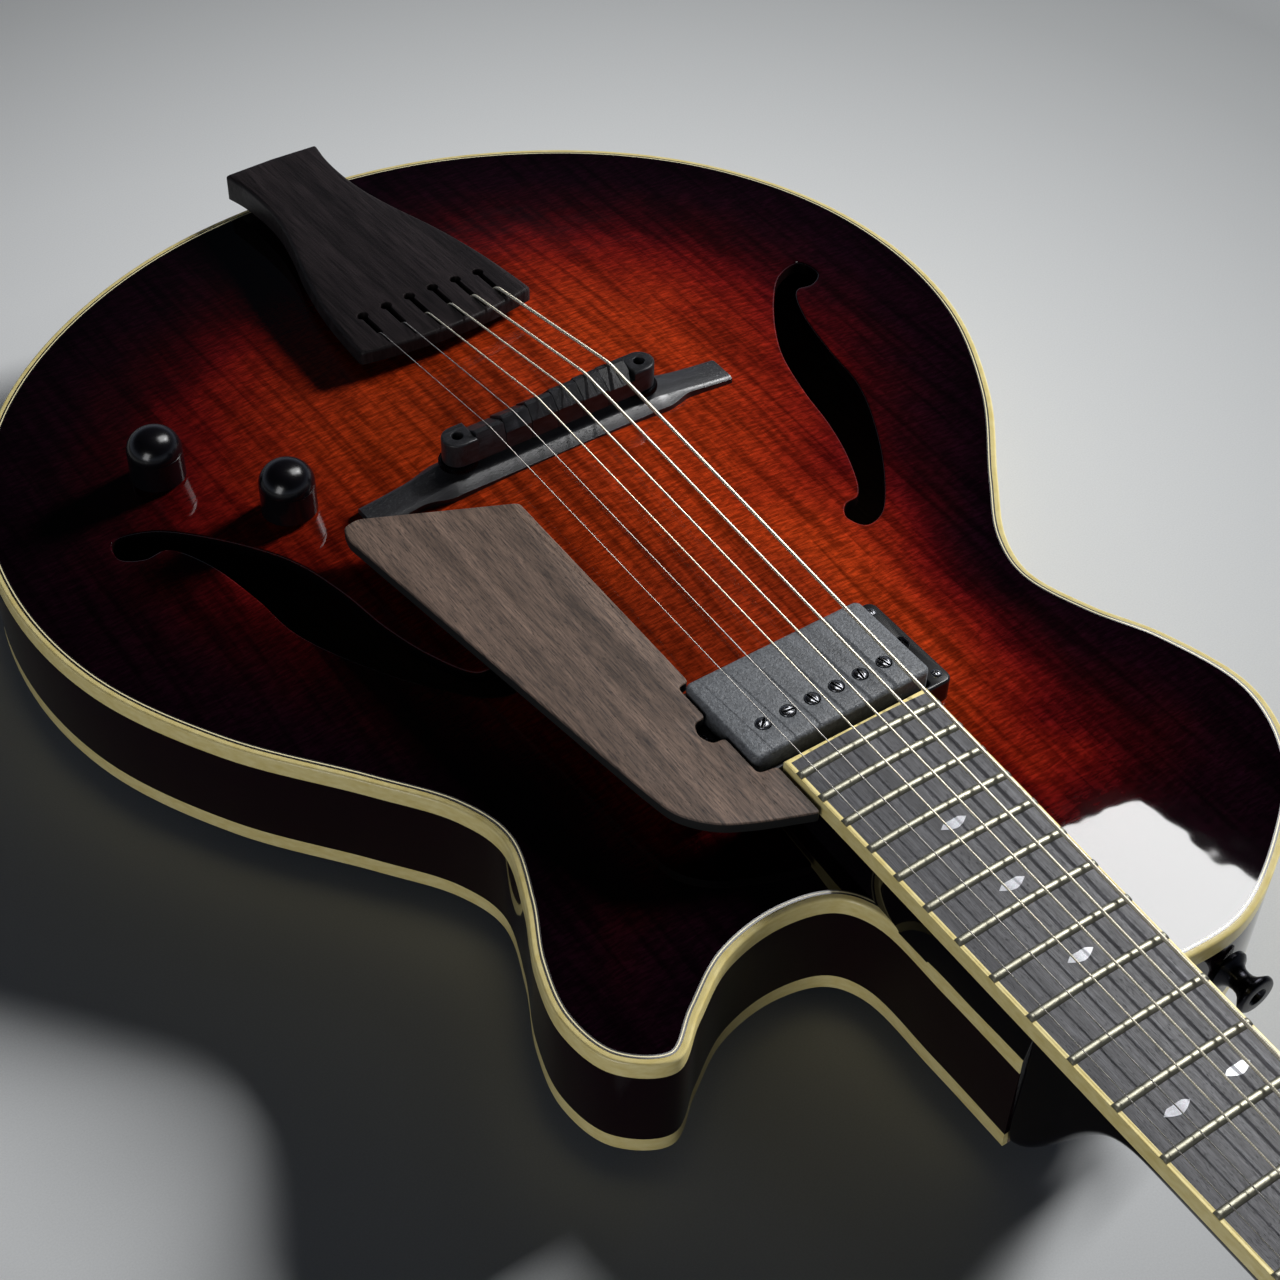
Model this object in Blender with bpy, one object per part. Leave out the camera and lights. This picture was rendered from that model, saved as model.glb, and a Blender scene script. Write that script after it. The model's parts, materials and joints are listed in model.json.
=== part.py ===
"""Semi-hollow electric guitar with an arched top, lying on its back.

Sizes are in millimetres and MM turns them into Blender's metres. +Z is up, +Y runs from the tail
to the headstock and +X is the side of the cutaway and of the thin strings. The origin is the
middle of the flat patch on the arched back, on which the guitar rests.
"""

import math

import bmesh
import bpy
import numpy as np
from mathutils import Matrix, Vector

MM = 0.001

# Clearances
GAP = 0.3
RUNNING_GAP = 0.3
OVERCUT = 5.0

# Body
RIM_HEIGHT = 44.5
RIM_WALL = 3.0
TOP_THICKNESS = 5.0
BACK_THICKNESS = 4.5
TOP_ARCH = 14.0
BACK_RISE = 11.5
FLAT_SHARE = 0.88
BINDING_THICKNESS = 2.1
BINDING_HEIGHT = 6.6
LINING_DEPTH = 6.0
LINING_HEIGHT = 12.0
BARE_LINING = 0.1
BLOCK_HALF = 45.0
NECK_END_Y = 254.5
NECK_CORNER_X = 28.5
TAIL_Y = -233.0

# Half of the lower bout from the waist to the tail, for the bass side; the treble side mirrors it
WAIST = (-107.4, 105.0)
LOWER_BOUT = ((-112.5, 87.0), (-130.0, 62.5), (-160.5, 23.0), (-183.0, -23.0), (-189.6, -70.0),
              (-181.5, -117.0), (-156.5, -162.5), (-117.0, -198.5), (-62.0, -224.5))
BASS_SHOULDER = ((-60.0, 254.2), (-92.0, 239.0), (-121.0, 214.5), (-132.6, 185.5),
                 (-125.5, 152.0), (-114.0, 128.5))
CUTAWAY = ((114.5, 128.5), (124.5, 150.0), (129.2, 171.0), (124.5, 190.0), (109.0, 200.0), (94.0, 190.0),
           (76.0, 179.2), (54.0, 175.6), (36.5, 180.2), (29.6, 191.0), (28.5, 222.0))
STEPS_PER_SPAN = 2
BELLY_STEPS = 6
SUPPORT_STEPS = 4
HEEL_STEPS = 9

# Rings of the plates' surfaces: share of the outline, and how many of its points make one step
RING_SHARES = (1.0, 0.9, 0.75, 0.52, 0.26)
RING_STEPS = (1, 2, 2, 4, 4)

# Sound holes: the bass one, which the treble one mirrors; inner edge, then outer edge
HOLE_INNER = ((-148.5, -79.0), (-137.0, -76.0), (-122.5, -61.5), (-104.5, -33.5),
              (-97.3, -10.0), (-93.5, 11.0), (-87.5, 30.0), (-79.0, 45.0), (-71.5, 47.2))
HOLE_OUTER = ((-67.5, 53.0), (-71.0, 59.0), (-79.5, 57.0), (-91.5, 44.5), (-107.5, 20.0),
              (-118.5, -4.5), (-121.5, -24.5), (-127.5, -50.0), (-135.5, -64.0),
              (-143.5, -64.5), (-150.5, -70.0))

# Neck, in which a station is a distance from the nut towards the bridge
SCALE_LENGTH = 628.65
NECK_ANGLE = math.radians(2.63)
BOARD_OVER_RIM = 19.3
FRET_COUNT = 22
NUT_WIDTH = 43.0
LAST_FRET_WIDTH = 56.1
BOARD_THICKNESS = 6.0
BOARD_RADIUS = 305.0
BOARD_OVERHANG = 7.1
BOARD_BINDING = 1.6
FRET_WIDTH = 2.4
FRET_HEIGHT = 1.0
NECK_DEPTH_NUT = 13.5
NECK_DEPTH_HEEL = 14.0
NECK_SIDE = 1.0
NECK_PROFILE = 1.3
HEEL_LENGTH = 52.0
HEEL_FALL = 4.2
HEEL_SIDE = 38.0
HEEL_PROFILE = 0.28
HEEL_TAPER = 0.04
SUPPORT_SETBACK = 1.0
SUPPORT_SINK = 3.0
SUPPORT_EDGE = 0.6
SUPPORT_PROFILE = 0.3
TENON_HALF = 15.0
TENON_END_Y = 176.0
TENON_DEPTH = 26.0
TENON_OVERLAP = 20.0
ROD_RADIUS = 3.0
ROD_COVERING = 2.0
ROD_END_Y = 205.0
ROD_NUT_STATION = 13.0
ROD_NUT_ROOM = 6.0
NUT_THICKNESS = 5.0
NUT_RISE = 1.6
NUT_LIP = 0.8

# Headstock: half widths against the distance beyond the nut
HEAD_ANGLE = math.radians(7.0)
HEAD_THICKNESS = 14.0
HEAD_EDGE = 2.5
HEAD_PROFILE = 0.45
THROAT = (1.5, 0.6)
THROAT_LENGTH = 8.0
THROAT_STEP = 0.1
VENEER = 2.0
HEAD_PLAN = ((0.0, 21.5), (9.0, 22.4), (19.0, 28.0), (30.0, 31.2), (60.0, 30.2), (95.0, 31.6),
             (122.0, 33.4), (132.0, 31.5), (138.0, 26.0), (141.0, 16.0))
ROD_COVER_PLAN = ((5.5, 3.0), (7.5, 5.0), (7.8, 12.0), (6.0, 22.0), (3.0, 31.0))
ROD_COVER_TIP = 34.0
ROD_COVER_THICKNESS = 1.8
TUNER_FIRST = 38.0
TUNER_SPACING = 37.0
TUNER_X = 19.0
POST_RADIUS = 3.0
SLEEVE_RADIUS = 4.8
POST_HEIGHT = 10.0
POST_CHAMFER = 1.0
WRAP_HEIGHT = 6.4
WASHER_RADIUS = 6.6
WASHER_THICKNESS = 1.4
HOUSING_DEPTH = 9.0
HOUSING_LENGTH = 16.0
HOUSING_OUTER = 10.0
HOUSING_INNER = 7.5
HOUSING_CORNER = 2.5
HOUSING_WALL = 1.6
HOUSING_RELIEF = 0.6
SHAFT_BORE_DEPTH = 5.0
BUTTON_SHAFT = 2.0

# Tuner button: reach from the housing, half thickness, half height
BUTTON_PROFILE = ((-4.6, 2.0, 2.0), (7.0, 2.0, 2.0), (8.0, 2.8, 4.2), (11.5, 3.1, 7.4),
                  (17.5, 3.1, 7.8), (21.0, 1.6, 5.0))

# Strings, from the thin treble one to the thick bass one
STRING_DIAMETERS = (0.33, 0.43, 0.61, 0.81, 1.07, 1.32)
NUT_SPREAD = 7.0
SADDLE_SPREAD = 10.7
TAIL_SPREAD = 10.0
STRING_ANCHOR = (6.0, 4.0)
NUT_BEND = 0.5
WRAP_STEPS = 8

# Bridge
BRIDGE_Y = -32.5
BRIDGE_SETBACK = 3.85
SADDLE_TOP = 33.0
SADDLE_BOTTOM = 21.4
SADDLE_EAR_TOP = 31.0
SADDLE_HALF = 43.5
SADDLE_WIDTH = 11.0
SADDLE_CROWN_HALF = 15.0
CREST_WIDTH = 2.0
CREST_DROP = 3.6
CREST_ROOT = 4.0
CREST_SPACE = 0.4
COMPENSATION = 2.9
BRIDGE_POST_X = 37.8
BRIDGE_POST_RADIUS = 1.9
BRIDGE_POST_FOOT = 14.9
WHEEL_RADIUS = 7.0
WHEEL_THICKNESS = 2.2
SADDLE_TRAVEL = 1.5
BASE_OFFSET = 1.0
BASE_HALF = 75.0
BASE_MIDDLE_HALF = 44.0
BASE_TOP = 17.1
BASE_WIDTH = 19.0
BASE_CHAMFER = (4.0, 2.6)
FOOT_WIDTH = 13.0
FOOT_THICKNESS = 2.6
FOOT_FILLET = 2.0
FOOT_CHAMFER = (1.5, 0.8)
FOOT_SHARES = (0.0, 0.13, 0.39, 0.71, 1.0)

# Tailpiece: half widths against the distance from its tail end
TAILPIECE_TAIL_Y = -240.5
TAILPIECE_PLAN = ((0.0, 20.8), (12.0, 18.9), (27.0, 18.3), (42.0, 19.3), (60.0, 23.0),
                  (80.0, 28.6), (105.0, 33.6), (127.0, 36.0), (138.5, 36.8))
TAILPIECE_ROWS = 8
TAILPIECE_BOW = 7.0
TAILPIECE_TAIL_TOP = 12.4
TAILPIECE_FRONT_TOP = 21.2
TAILPIECE_TAIL_THICKNESS = 11.0
TAILPIECE_FRONT_THICKNESS = 5.8
TAILPIECE_CROWN = 2.0
TAILPIECE_CROWN_SINK = 0.5
KEYHOLE_SETBACK = 19.0
KEYHOLE_RADIUS = 2.2
KEYHOLE_STEPS = 6
SLOT_WIDTH = 2.2
SLOT_LENGTH = 13.0
KERF_WIDTH = 0.8
KERF_START = 14.2

# Tail
PIN_Z = 22.0
PIN_NECK_RADIUS = 6.0
PIN_FLANGE_RADIUS = 8.5
PIN_LENGTH = 15.0
BARREL_RADIUS = 5.6
BARREL_LENGTH = 28.0
PIN_FORM = (1.5, 5.5, 1.0, 0.9)
PLUG_RADIUS = 3.3
PLUG_DEPTH = 24.0
CABLE_RADIUS = 1.5
CABLE_CLEARANCE = 1.0
CABLE_STEPS = 8
CABLE_HOLE_DEPTH = 5.0

# Pickup, ring and their screws
RING_TO_BOARD = 3.0
PICKUP_LENGTH = 70.0
PICKUP_WIDTH = 38.0
PICKUP_TOP = 19.8
COVER_DEPTH = 17.0
COVER_WALL = 1.0
COVER_CORNER = 2.5
LEAST_CORNER = 0.6
COVER_EDGE = ((0.0, 1.8), (0.6, 0.6), (1.8, 0.0))
COVER_ROOF = 1.9
POLE_SPREAD = 9.6
POLE_OFFSET = 8.2
POLE_RADIUS = 2.4
POLE_RISE = 0.8
POLE_CHAMFER = 0.7
POLE_REACH = 6.0
BASEPLATE_THICKNESS = 1.5
RING_END = 8.5
RING_SIDE = 2.2
RING_TOP = 12.8
RING_CORNERS = (3.0, 1.5)
RING_CLEARANCE = 0.5
CAVITY_DEPTH = 26.0
CAVITY_MARGIN = 1.0
HEIGHT_SCREW_OFFSET = 4.0
HEIGHT_SCREW_RADIUS = 1.2
HEIGHT_SCREW_REACH = 4.0
HEIGHT_SCREW_HEAD = ((2.6, 0.0), (2.6, 1.0), (1.4, 1.7))
LEG_HALF = 3.5
LEG_DROP = 8.0
LEG_REACH = 3.0
LEG_THICKNESS = 1.2

# Pickguard: its tail end from the bridge, and its neck end from the end of the fretboard
GUARD_THICKNESS = 4.0
GUARD_TAIL_TOP = 20.0
GUARD_NECK_TOP = 17.3
GUARD_INNER_X = 31.8
GUARD_CLEARANCE = 1.2
GUARD_BOARD_GAP = 1.0
GUARD_EAR = (6.5, 5.0)
GUARD_TAIL = ((32.0, 30.0), (82.0, 7.5), (88.0, 8.5), (89.6, 15.0))
GUARD_NECK = ((69.5, -15.7), (66.5, -2.7), (59.0, 6.8), (50.0, 12.3), (29.5, 20.8))
GUARD_SUPPORT = (62.0, 40.0)
BRACKET_RADIUS = 2.5
BRACKET_FOOT_RADIUS = 6.0
BRACKET_FOOT = (1.8, 2.8)

# Controls
KNOBS = (("volume", 121.5, -98.0), ("tone", 93.2, -53.5))
KNOB_RADIUS = 9.8
KNOB_HEIGHT = 19.6
KNOB_LIFT = 1.4
KNOB_DOME = 8.2
KNOB_FLAT = 1.2
DOME_STEPS = 4
KNOB_BORE = 7.6
KNOB_HOLLOW = 3.6
SHAFT_RADIUS = 3.0
BUSHING_RADIUS = 4.7
BUSHING_HEIGHT = 3.6
POT_RADIUS = 8.5
POT_DEPTH = 8.0
POT_WASHER = 1.4
POT_FLOOR = 1.5

# Strap button
STRAP_X = -57.0
STRAP_DEPTH = 20.0
STRAP_LENGTH = 13.0
STRAP_RADIUS = 7.0
STRAP_PROFILE = ((4.2, 3.8), (3.6, 6.0), (4.6, 9.0))
STRAP_FLANGE = 2.0
STRAP_CHAMFER = 0.8

# Values that follow from the sizes above
RIM_BOTTOM = BACK_RISE
RIM_TOP = RIM_BOTTOM + RIM_HEIGHT
NUT_Y = BRIDGE_Y + BRIDGE_SETBACK + SCALE_LENGTH
LAST_FRET_STATION = SCALE_LENGTH * (1 - 2 ** (-FRET_COUNT / 12))
BOARD_END_Y = NUT_Y - LAST_FRET_STATION - BOARD_OVERHANG
RING_HALF_X = PICKUP_LENGTH / 2 + RING_END
RING_HALF_Y = PICKUP_WIDTH / 2 + RING_SIDE
HEIGHT_SCREW_X = PICKUP_LENGTH / 2 + HEIGHT_SCREW_OFFSET
PICKUP_Y = BOARD_END_Y - RING_TO_BOARD - RING_HALF_Y
COVER_Z = RIM_TOP + PICKUP_TOP
BASEPLATE_Z = COVER_Z - COVER_DEPTH - GAP - BASEPLATE_THICKNESS
WOOD_BACK = -VENEER - HEAD_THICKNESS - HOUSING_RELIEF
CABLE_HALF = PIN_NECK_RADIUS + GAP + CABLE_RADIUS
CABLE_Y = TAIL_Y - PIN_FORM[2] - CABLE_RADIUS
REBATE = BINDING_THICKNESS + GAP


def remove_startup_objects():
    for found in list(bpy.data.objects):
        bpy.data.objects.remove(found, do_unlink=True)


def material(name, colour, roughness, metallic=0.0, coat=0.0):
    made = bpy.data.materials.new(name)
    made.use_nodes = True
    shader = made.node_tree.nodes["Principled BSDF"]
    shader.inputs["Base Color"].default_value = (*colour, 1.0)
    shader.inputs["Roughness"].default_value = roughness
    shader.inputs["Metallic"].default_value = metallic
    shader.inputs["Coat Weight"].default_value = coat
    made.diffuse_color = (*colour, 1.0)
    return made


def solid(name, points, faces, finish, pivot=None, smooth=40.0):
    """An object from points in millimetres, with its faces turned outwards."""
    origin = Vector(pivot or (0.0, 0.0, 0.0))
    mesh = bpy.data.meshes.new(name)
    mesh.from_pydata([(Vector(p) - origin) * MM for p in points], [], faces)
    shape = bmesh.new()
    shape.from_mesh(mesh)
    bmesh.ops.recalc_face_normals(shape, faces=shape.faces)
    if shape.calc_volume(signed=True) < 0:
        bmesh.ops.reverse_faces(shape, faces=shape.faces)
    shape.to_mesh(mesh)
    shape.free()
    mesh.shade_smooth()
    mesh.set_sharp_from_angle(angle=math.radians(smooth))
    made = bpy.data.objects.new(name, mesh)
    made.location = origin * MM
    bpy.context.scene.collection.objects.link(made)
    if finish:
        mesh.materials.append(finish)
    return made


def boolean(target, tool, operation):
    change = target.modifiers.new(operation.lower() + "_" + tool.name, "BOOLEAN")
    change.operation = operation
    change.solver = "EXACT"
    change.object = tool
    tool.hide_render = True
    tool.hide_set(True)
    tool.display_type = "WIRE"
    return target


def loft(sections, closed=False):
    """Points and faces of a skin over loops with the same number of points."""
    count = len(sections[0])
    points = [tuple(p) for section in sections for p in section]
    faces = []
    rows = len(sections)
    for row in range(rows if closed else rows - 1):
        following = (row + 1) % rows
        for i in range(count):
            j = (i + 1) % count
            faces.append((row * count + i, row * count + j, following * count + j,
                          following * count + i))
    if not closed:
        faces.append(tuple(range(count))[::-1])
        faces.append(tuple(range((rows - 1) * count, rows * count)))
    return points, faces


def circle(radius, segments, start=0.0):
    """Pairs round a circle, from the angle start on."""
    angles = [start + 2 * math.pi * k / segments for k in range(segments)]
    return [(radius * math.cos(a), radius * math.sin(a)) for a in angles]


def turned(profile, centre, axis=(0.0, 0.0, 1.0), segments=16, bored=False):
    """Points and faces of a profile of (radius, height) turned about an axis through centre."""
    turn = Vector((0.0, 0.0, 1.0)).rotation_difference(Vector(axis)).to_matrix()
    sections = []
    for radius, height in profile:
        sections.append([turn @ Vector((a, b, height)) + Vector(centre)
                         for a, b in circle(radius, segments)])
    return loft(sections, closed=bored)


def prism(outline, bottom, top):
    """Points and faces of a plan outline that rises from bottom to top."""
    return loft([[(x, y, bottom) for x, y in outline], [(x, y, top) for x, y in outline]])


def rectangle(low, high):
    return [(low[0], low[1]), (high[0], low[1]), (high[0], high[1]), (low[0], high[1])]


def block(low, high):
    return prism(rectangle(low, high), low[2], high[2])


def joined(shapes):
    """Several lists of points and faces as one."""
    points, faces = [], []
    for some_points, some_faces in shapes:
        start = len(points)
        points += some_points
        faces += [tuple(i + start for i in face) for face in some_faces]
    return points, faces


def smooth_path(points, steps, closed=False):
    """Centripetal Catmull-Rom curve through plan points."""
    known = [np.array(p, float) for p in points]
    if closed:
        known = [known[-1]] + known + known[:2]
    else:
        known = [2 * known[0] - known[1]] + known + [2 * known[-1] - known[-2]]
    curve = []
    for a, b, c, d in zip(known, known[1:], known[2:], known[3:]):
        t1 = np.linalg.norm(b - a) ** 0.5
        t2 = t1 + np.linalg.norm(c - b) ** 0.5
        t3 = t2 + np.linalg.norm(d - c) ** 0.5
        for step in range(steps):
            t = t1 + (t2 - t1) * step / steps
            ab = (t1 - t) / t1 * a + t / t1 * b
            bc = (t2 - t) / (t2 - t1) * b + (t - t1) / (t2 - t1) * c
            cd = (t3 - t) / (t3 - t2) * c + (t - t2) / (t3 - t2) * d
            abc = (t2 - t) / t2 * ab + t / t2 * bc
            bcd = (t3 - t) / (t3 - t1) * bc + (t - t1) / (t3 - t1) * cd
            curve.append(tuple((t2 - t) / (t2 - t1) * abc + (t - t1) / (t2 - t1) * bcd))
    if not closed:
        curve.append(tuple(known[-2]))
    return curve


def rounded(corners, radius, steps=3):
    """A closed polygon with each corner replaced by an arc of points."""
    result = []
    count = len(corners)
    for i in range(count):
        before, here, after = (Vector(corners[(i + k) % count]) for k in (-1, 0, 1))
        to_before = (before - here).normalized()
        to_after = (after - here).normalized()
        half = to_before.angle(to_after) / 2
        reach = radius / math.tan(half)
        middle = here + (to_before + to_after).normalized() * radius / math.sin(half)
        start = here + to_before * reach - middle
        end = here + to_after * reach - middle
        for step in range(steps + 1):
            between = start.slerp(end, step / steps, start).normalized()
            result.append(tuple(middle + between * radius))
    return result


def body_path():
    """The rim's outer edge from the bass neck corner round the tail to the treble neck corner."""
    bass = [(-NECK_CORNER_X, NECK_END_Y)] + list(BASS_SHOULDER) + [WAIST] + list(LOWER_BOUT)
    treble = [(-x, y) for x, y in reversed(LOWER_BOUT)] + [(-WAIST[0], WAIST[1])]
    treble += list(CUTAWAY) + [(NECK_CORNER_X, NECK_END_Y)]
    return smooth_path(bass + [(0.0, TAIL_Y)] + treble, STEPS_PER_SPAN)


def inset(path, distance):
    """An open path moved inwards; it runs with the body on its left."""
    moved = []
    last = len(path) - 1
    for i, here in enumerate(path):
        before = np.array(path[max(i - 1, 0)])
        after = np.array(path[min(i + 1, last)])
        along = (after - before) / np.linalg.norm(after - before)
        moved.append((here[0] - along[1] * distance, here[1] + along[0] * distance))
    return moved


PATH = body_path()


class Arch:
    """Height of a skin stretched over the body's outline, 1 at its peak and 0 at the rim."""

    STEP = 6.0
    ROUNDS = 1500

    def __init__(self, outline):
        edge = np.array(outline)
        self.low = edge.min(axis=0) - 2 * self.STEP
        size = ((edge.max(axis=0) - self.low) / self.STEP).astype(int) + 3
        xs = self.low[0] + self.STEP * np.arange(size[0])
        ys = self.low[1] + self.STEP * np.arange(size[1])
        grid_x, grid_y = np.meshgrid(xs, ys, indexing="ij")
        inside = np.zeros(grid_x.shape, bool)
        for (ax, ay), (bx, by) in zip(edge, np.roll(edge, -1, axis=0)):
            crossing = (ay > grid_y) != (by > grid_y)
            span = by - ay if by != ay else 1.0
            inside ^= crossing & (grid_x < (bx - ax) * (grid_y - ay) / span + ax)
        skin = inside * 1.0
        for _ in range(self.ROUNDS):
            middle = skin[:-2, 1:-1] + skin[2:, 1:-1] + skin[1:-1, :-2] + skin[1:-1, 2:]
            skin[1:-1, 1:-1] = inside[1:-1, 1:-1] * (middle / 4 + 1.0)
        self.skin = skin / skin.max()

    def __call__(self, x, y):
        u = (x - self.low[0]) / self.STEP
        v = (y - self.low[1]) / self.STEP
        i = min(max(int(u), 0), self.skin.shape[0] - 2)
        j = min(max(int(v), 0), self.skin.shape[1] - 2)
        u = min(max(u - i, 0.0), 1.0)
        v = min(max(v - j, 0.0), 1.0)
        skin = self.skin
        height = ((skin[i, j] * (1 - u) + skin[i + 1, j] * u) * (1 - v)
                  + (skin[i, j + 1] * (1 - u) + skin[i + 1, j + 1] * u) * v)
        return height * height


ARCH = Arch(PATH)


def top_surface(x, y):
    return RIM_TOP + TOP_ARCH * ARCH(x, y)


def back_surface(x, y):
    return RIM_BOTTOM - BACK_RISE * min(ARCH(x, y) / FLAT_SHARE, 1.0)


def plate_rings(margin):
    """Rings of plan points that shrink towards the middle, with fewer points further in."""
    edge = inset(PATH, margin)
    first, last = edge[0], edge[-1]
    end_steps = 5 - len(edge) % 4
    for step in range(1, end_steps):
        share = step / end_steps
        edge.append((last[0] + (first[0] - last[0]) * share,
                     last[1] + (first[1] - last[1]) * share))
    return [[(x * share, y * share) for x, y in edge[::stride]]
            for share, stride in zip(RING_SHARES, RING_STEPS)]


def shell(margin, upper, lower, apron=()):
    """A closed plate between two height functions, over rings of plan points."""
    rings = list(apron) + plate_rings(margin)
    points, faces, starts = [], [], []
    for surface in (upper, lower):
        layer = []
        for ring in rings:
            layer.append(len(points))
            points += [(x, y, surface(x, y)) for x, y in ring]
        layer.append(len(points))
        points.append((0.0, 0.0, surface(0.0, 0.0)))
        starts.append(layer)
    for layer in starts:
        for k in range(len(rings) - 1):
            outer, inner = len(rings[k]), len(rings[k + 1])
            stride = outer // inner
            for i in range(inner):
                here, following = layer[k + 1] + i, layer[k + 1] + (i + 1) % inner
                rim = [layer[k] + (i * stride + n) % outer for n in range(stride + 1)]
                faces += [(a, b, here) for a, b in zip(rim, rim[1:])]
                faces.append((rim[-1], following, here))
        count = len(rings[-1])
        for i in range(count):
            faces.append((layer[-2] + i, layer[-2] + (i + 1) % count, layer[-1]))
    count = len(rings[0])
    for i in range(count):
        j = (i + 1) % count
        faces.append((starts[0][0] + j, starts[0][0] + i, starts[1][0] + i, starts[1][0] + j))
    return points, faces


def swept(section_at):
    """A solid along the rim's path; section_at gives a station's (inset, height) corners."""
    insets = {}
    sections = []
    for i in range(len(PATH)):
        section = []
        for distance, height in section_at(i):
            key = round(distance, 4)
            if key not in insets:
                insets[key] = inset(PATH, distance)
            x, y = insets[key][i]
            section.append((x, y, height))
        sections.append(section)
    return sections


def board_half(y):
    station = NUT_Y - y
    return (NUT_WIDTH + (LAST_FRET_WIDTH - NUT_WIDTH) * station / LAST_FRET_STATION) / 2


def board_edge(y):
    """Height of the fretboard's edges."""
    last_fret_y = NUT_Y - LAST_FRET_STATION
    return RIM_TOP + BOARD_OVER_RIM + (last_fret_y - y) * math.tan(NECK_ANGLE)


def glue_plane(y):
    return board_edge(y) - BOARD_THICKNESS


def crown(x, half):
    return math.sqrt(BOARD_RADIUS ** 2 - x * x) - math.sqrt(BOARD_RADIUS ** 2 - half * half)


HEAD_START_Y = NUT_Y + NUT_THICKNESS + GAP
HEAD_FACE_Z = glue_plane(HEAD_START_Y)
HEAD_TILT = NECK_ANGLE + HEAD_ANGLE
ROD_NUT_Y = HEAD_START_Y + ROD_NUT_STATION
HEAD_FRAME = (Matrix.Translation((0.0, HEAD_START_Y, HEAD_FACE_Z))
              @ Matrix.Rotation(-HEAD_TILT, 4, "X"))


def head_face(y):
    """Height of the headstock's front face, veneer included."""
    return HEAD_FACE_Z - (y - HEAD_START_Y) * math.tan(HEAD_TILT)


def head_point(x, along, up):
    """World place of a point given on the headstock: sideways, beyond the nut, off the face."""
    return HEAD_FRAME @ Vector((x, along, up))


def in_head(shape):
    points, faces = shape
    return [HEAD_FRAME @ Vector(p) for p in points], faces


def make_plates(lacquer, back_lacquer):
    top = solid("top_plate",
                *shell(REBATE, top_surface, lambda x, y: top_surface(x, y) - TOP_THICKNESS),
                lacquer)
    back = solid("back_plate",
                 *shell(REBATE, lambda x, y: back_surface(x, y) + BACK_THICKNESS, back_surface),
                 back_lacquer)
    low, high = RIM_TOP - TOP_THICKNESS - OVERCUT, RIM_TOP + TOP_ARCH + OVERCUT
    bass_hole = smooth_path(HOLE_INNER + HOLE_OUTER, 2, closed=True)
    cuts = [prism(bass_hole, low, high),
            prism([(-x, y) for x, y in bass_hole], low, high),
            pickup_cavity(low, high),
            block((-TENON_HALF - GAP, TENON_END_Y - GAP, low),
                  (TENON_HALF + GAP, NECK_END_Y + OVERCUT, high))]
    for _, x, y in KNOBS:
        cuts.append(turned(((BUSHING_RADIUS + GAP, low), (BUSHING_RADIUS + GAP, high)),
                           (x, y, 0.0), segments=12))
    boolean(top, solid("top_cuts", *joined(cuts), None), "DIFFERENCE")
    return top, back


def pickup_cavity(low, high):
    """Room for the pickup, with an ear at each end for its leg and height screw."""
    x, y = PICKUP_LENGTH / 2 + CAVITY_MARGIN, PICKUP_WIDTH / 2 + CAVITY_MARGIN
    ear_x, ear_y = HEIGHT_SCREW_X + LEG_REACH + CAVITY_MARGIN, LEG_HALF + CAVITY_MARGIN
    quarter = [(ear_x, ear_y), (x, ear_y), (x, y)]
    plan = quarter + [(-a, b) for a, b in reversed(quarter)]
    plan += [(-a, -b) for a, b in quarter] + [(a, -b) for a, b in reversed(quarter)]
    return prism([(a, PICKUP_Y + b) for a, b in plan], low, high)


def make_sides(lacquer):
    """Two bent sides with their glued linings, rebated for both bindings."""
    high_lining = RIM_TOP - TOP_THICKNESS - GAP
    low_lining = RIM_BOTTOM + BACK_THICKNESS + GAP
    wall_top = RIM_TOP - BINDING_HEIGHT - GAP
    wall_bottom = RIM_BOTTOM + BINDING_HEIGHT + GAP

    def section(i):
        nearest = min(abs(x) for x, _ in PATH[max(i - 1, 0):i + 2])
        beside_block = nearest < BLOCK_HALF + LINING_DEPTH
        inner = RIM_WALL + (BARE_LINING if beside_block else LINING_DEPTH)
        return ((0.0, wall_top), (0.0, wall_bottom), (REBATE, wall_bottom),
                (REBATE, low_lining), (inner, low_lining),
                (RIM_WALL, low_lining + LINING_HEIGHT), (RIM_WALL, high_lining - LINING_HEIGHT),
                (inner, high_lining), (REBATE, high_lining), (REBATE, wall_top))

    sections = swept(section)
    middle = min(range(len(PATH)), key=lambda i: math.dist(PATH[i], (0.0, TAIL_Y)))
    seam = [Vector(p) for p in sections[middle]]
    bass_seam = [p - Vector((GAP / 2, 0.0, 0.0)) for p in seam]
    treble_seam = [p + Vector((GAP / 2, 0.0, 0.0)) for p in seam]
    solid("bass_side", *loft(sections[:middle] + [bass_seam]), lacquer)
    solid("treble_side", *loft([treble_seam] + sections[middle + 1:]), lacquer)


def make_bindings(cream):
    for name, low, high in (("top_binding", RIM_TOP - BINDING_HEIGHT, RIM_TOP),
                            ("back_binding", RIM_BOTTOM, RIM_BOTTOM + BINDING_HEIGHT)):
        corners = ((0.0, low), (BINDING_THICKNESS, low), (BINDING_THICKNESS, high), (0.0, high))
        solid(name, *loft(swept(lambda i, c=corners: c)), cream)


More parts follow.
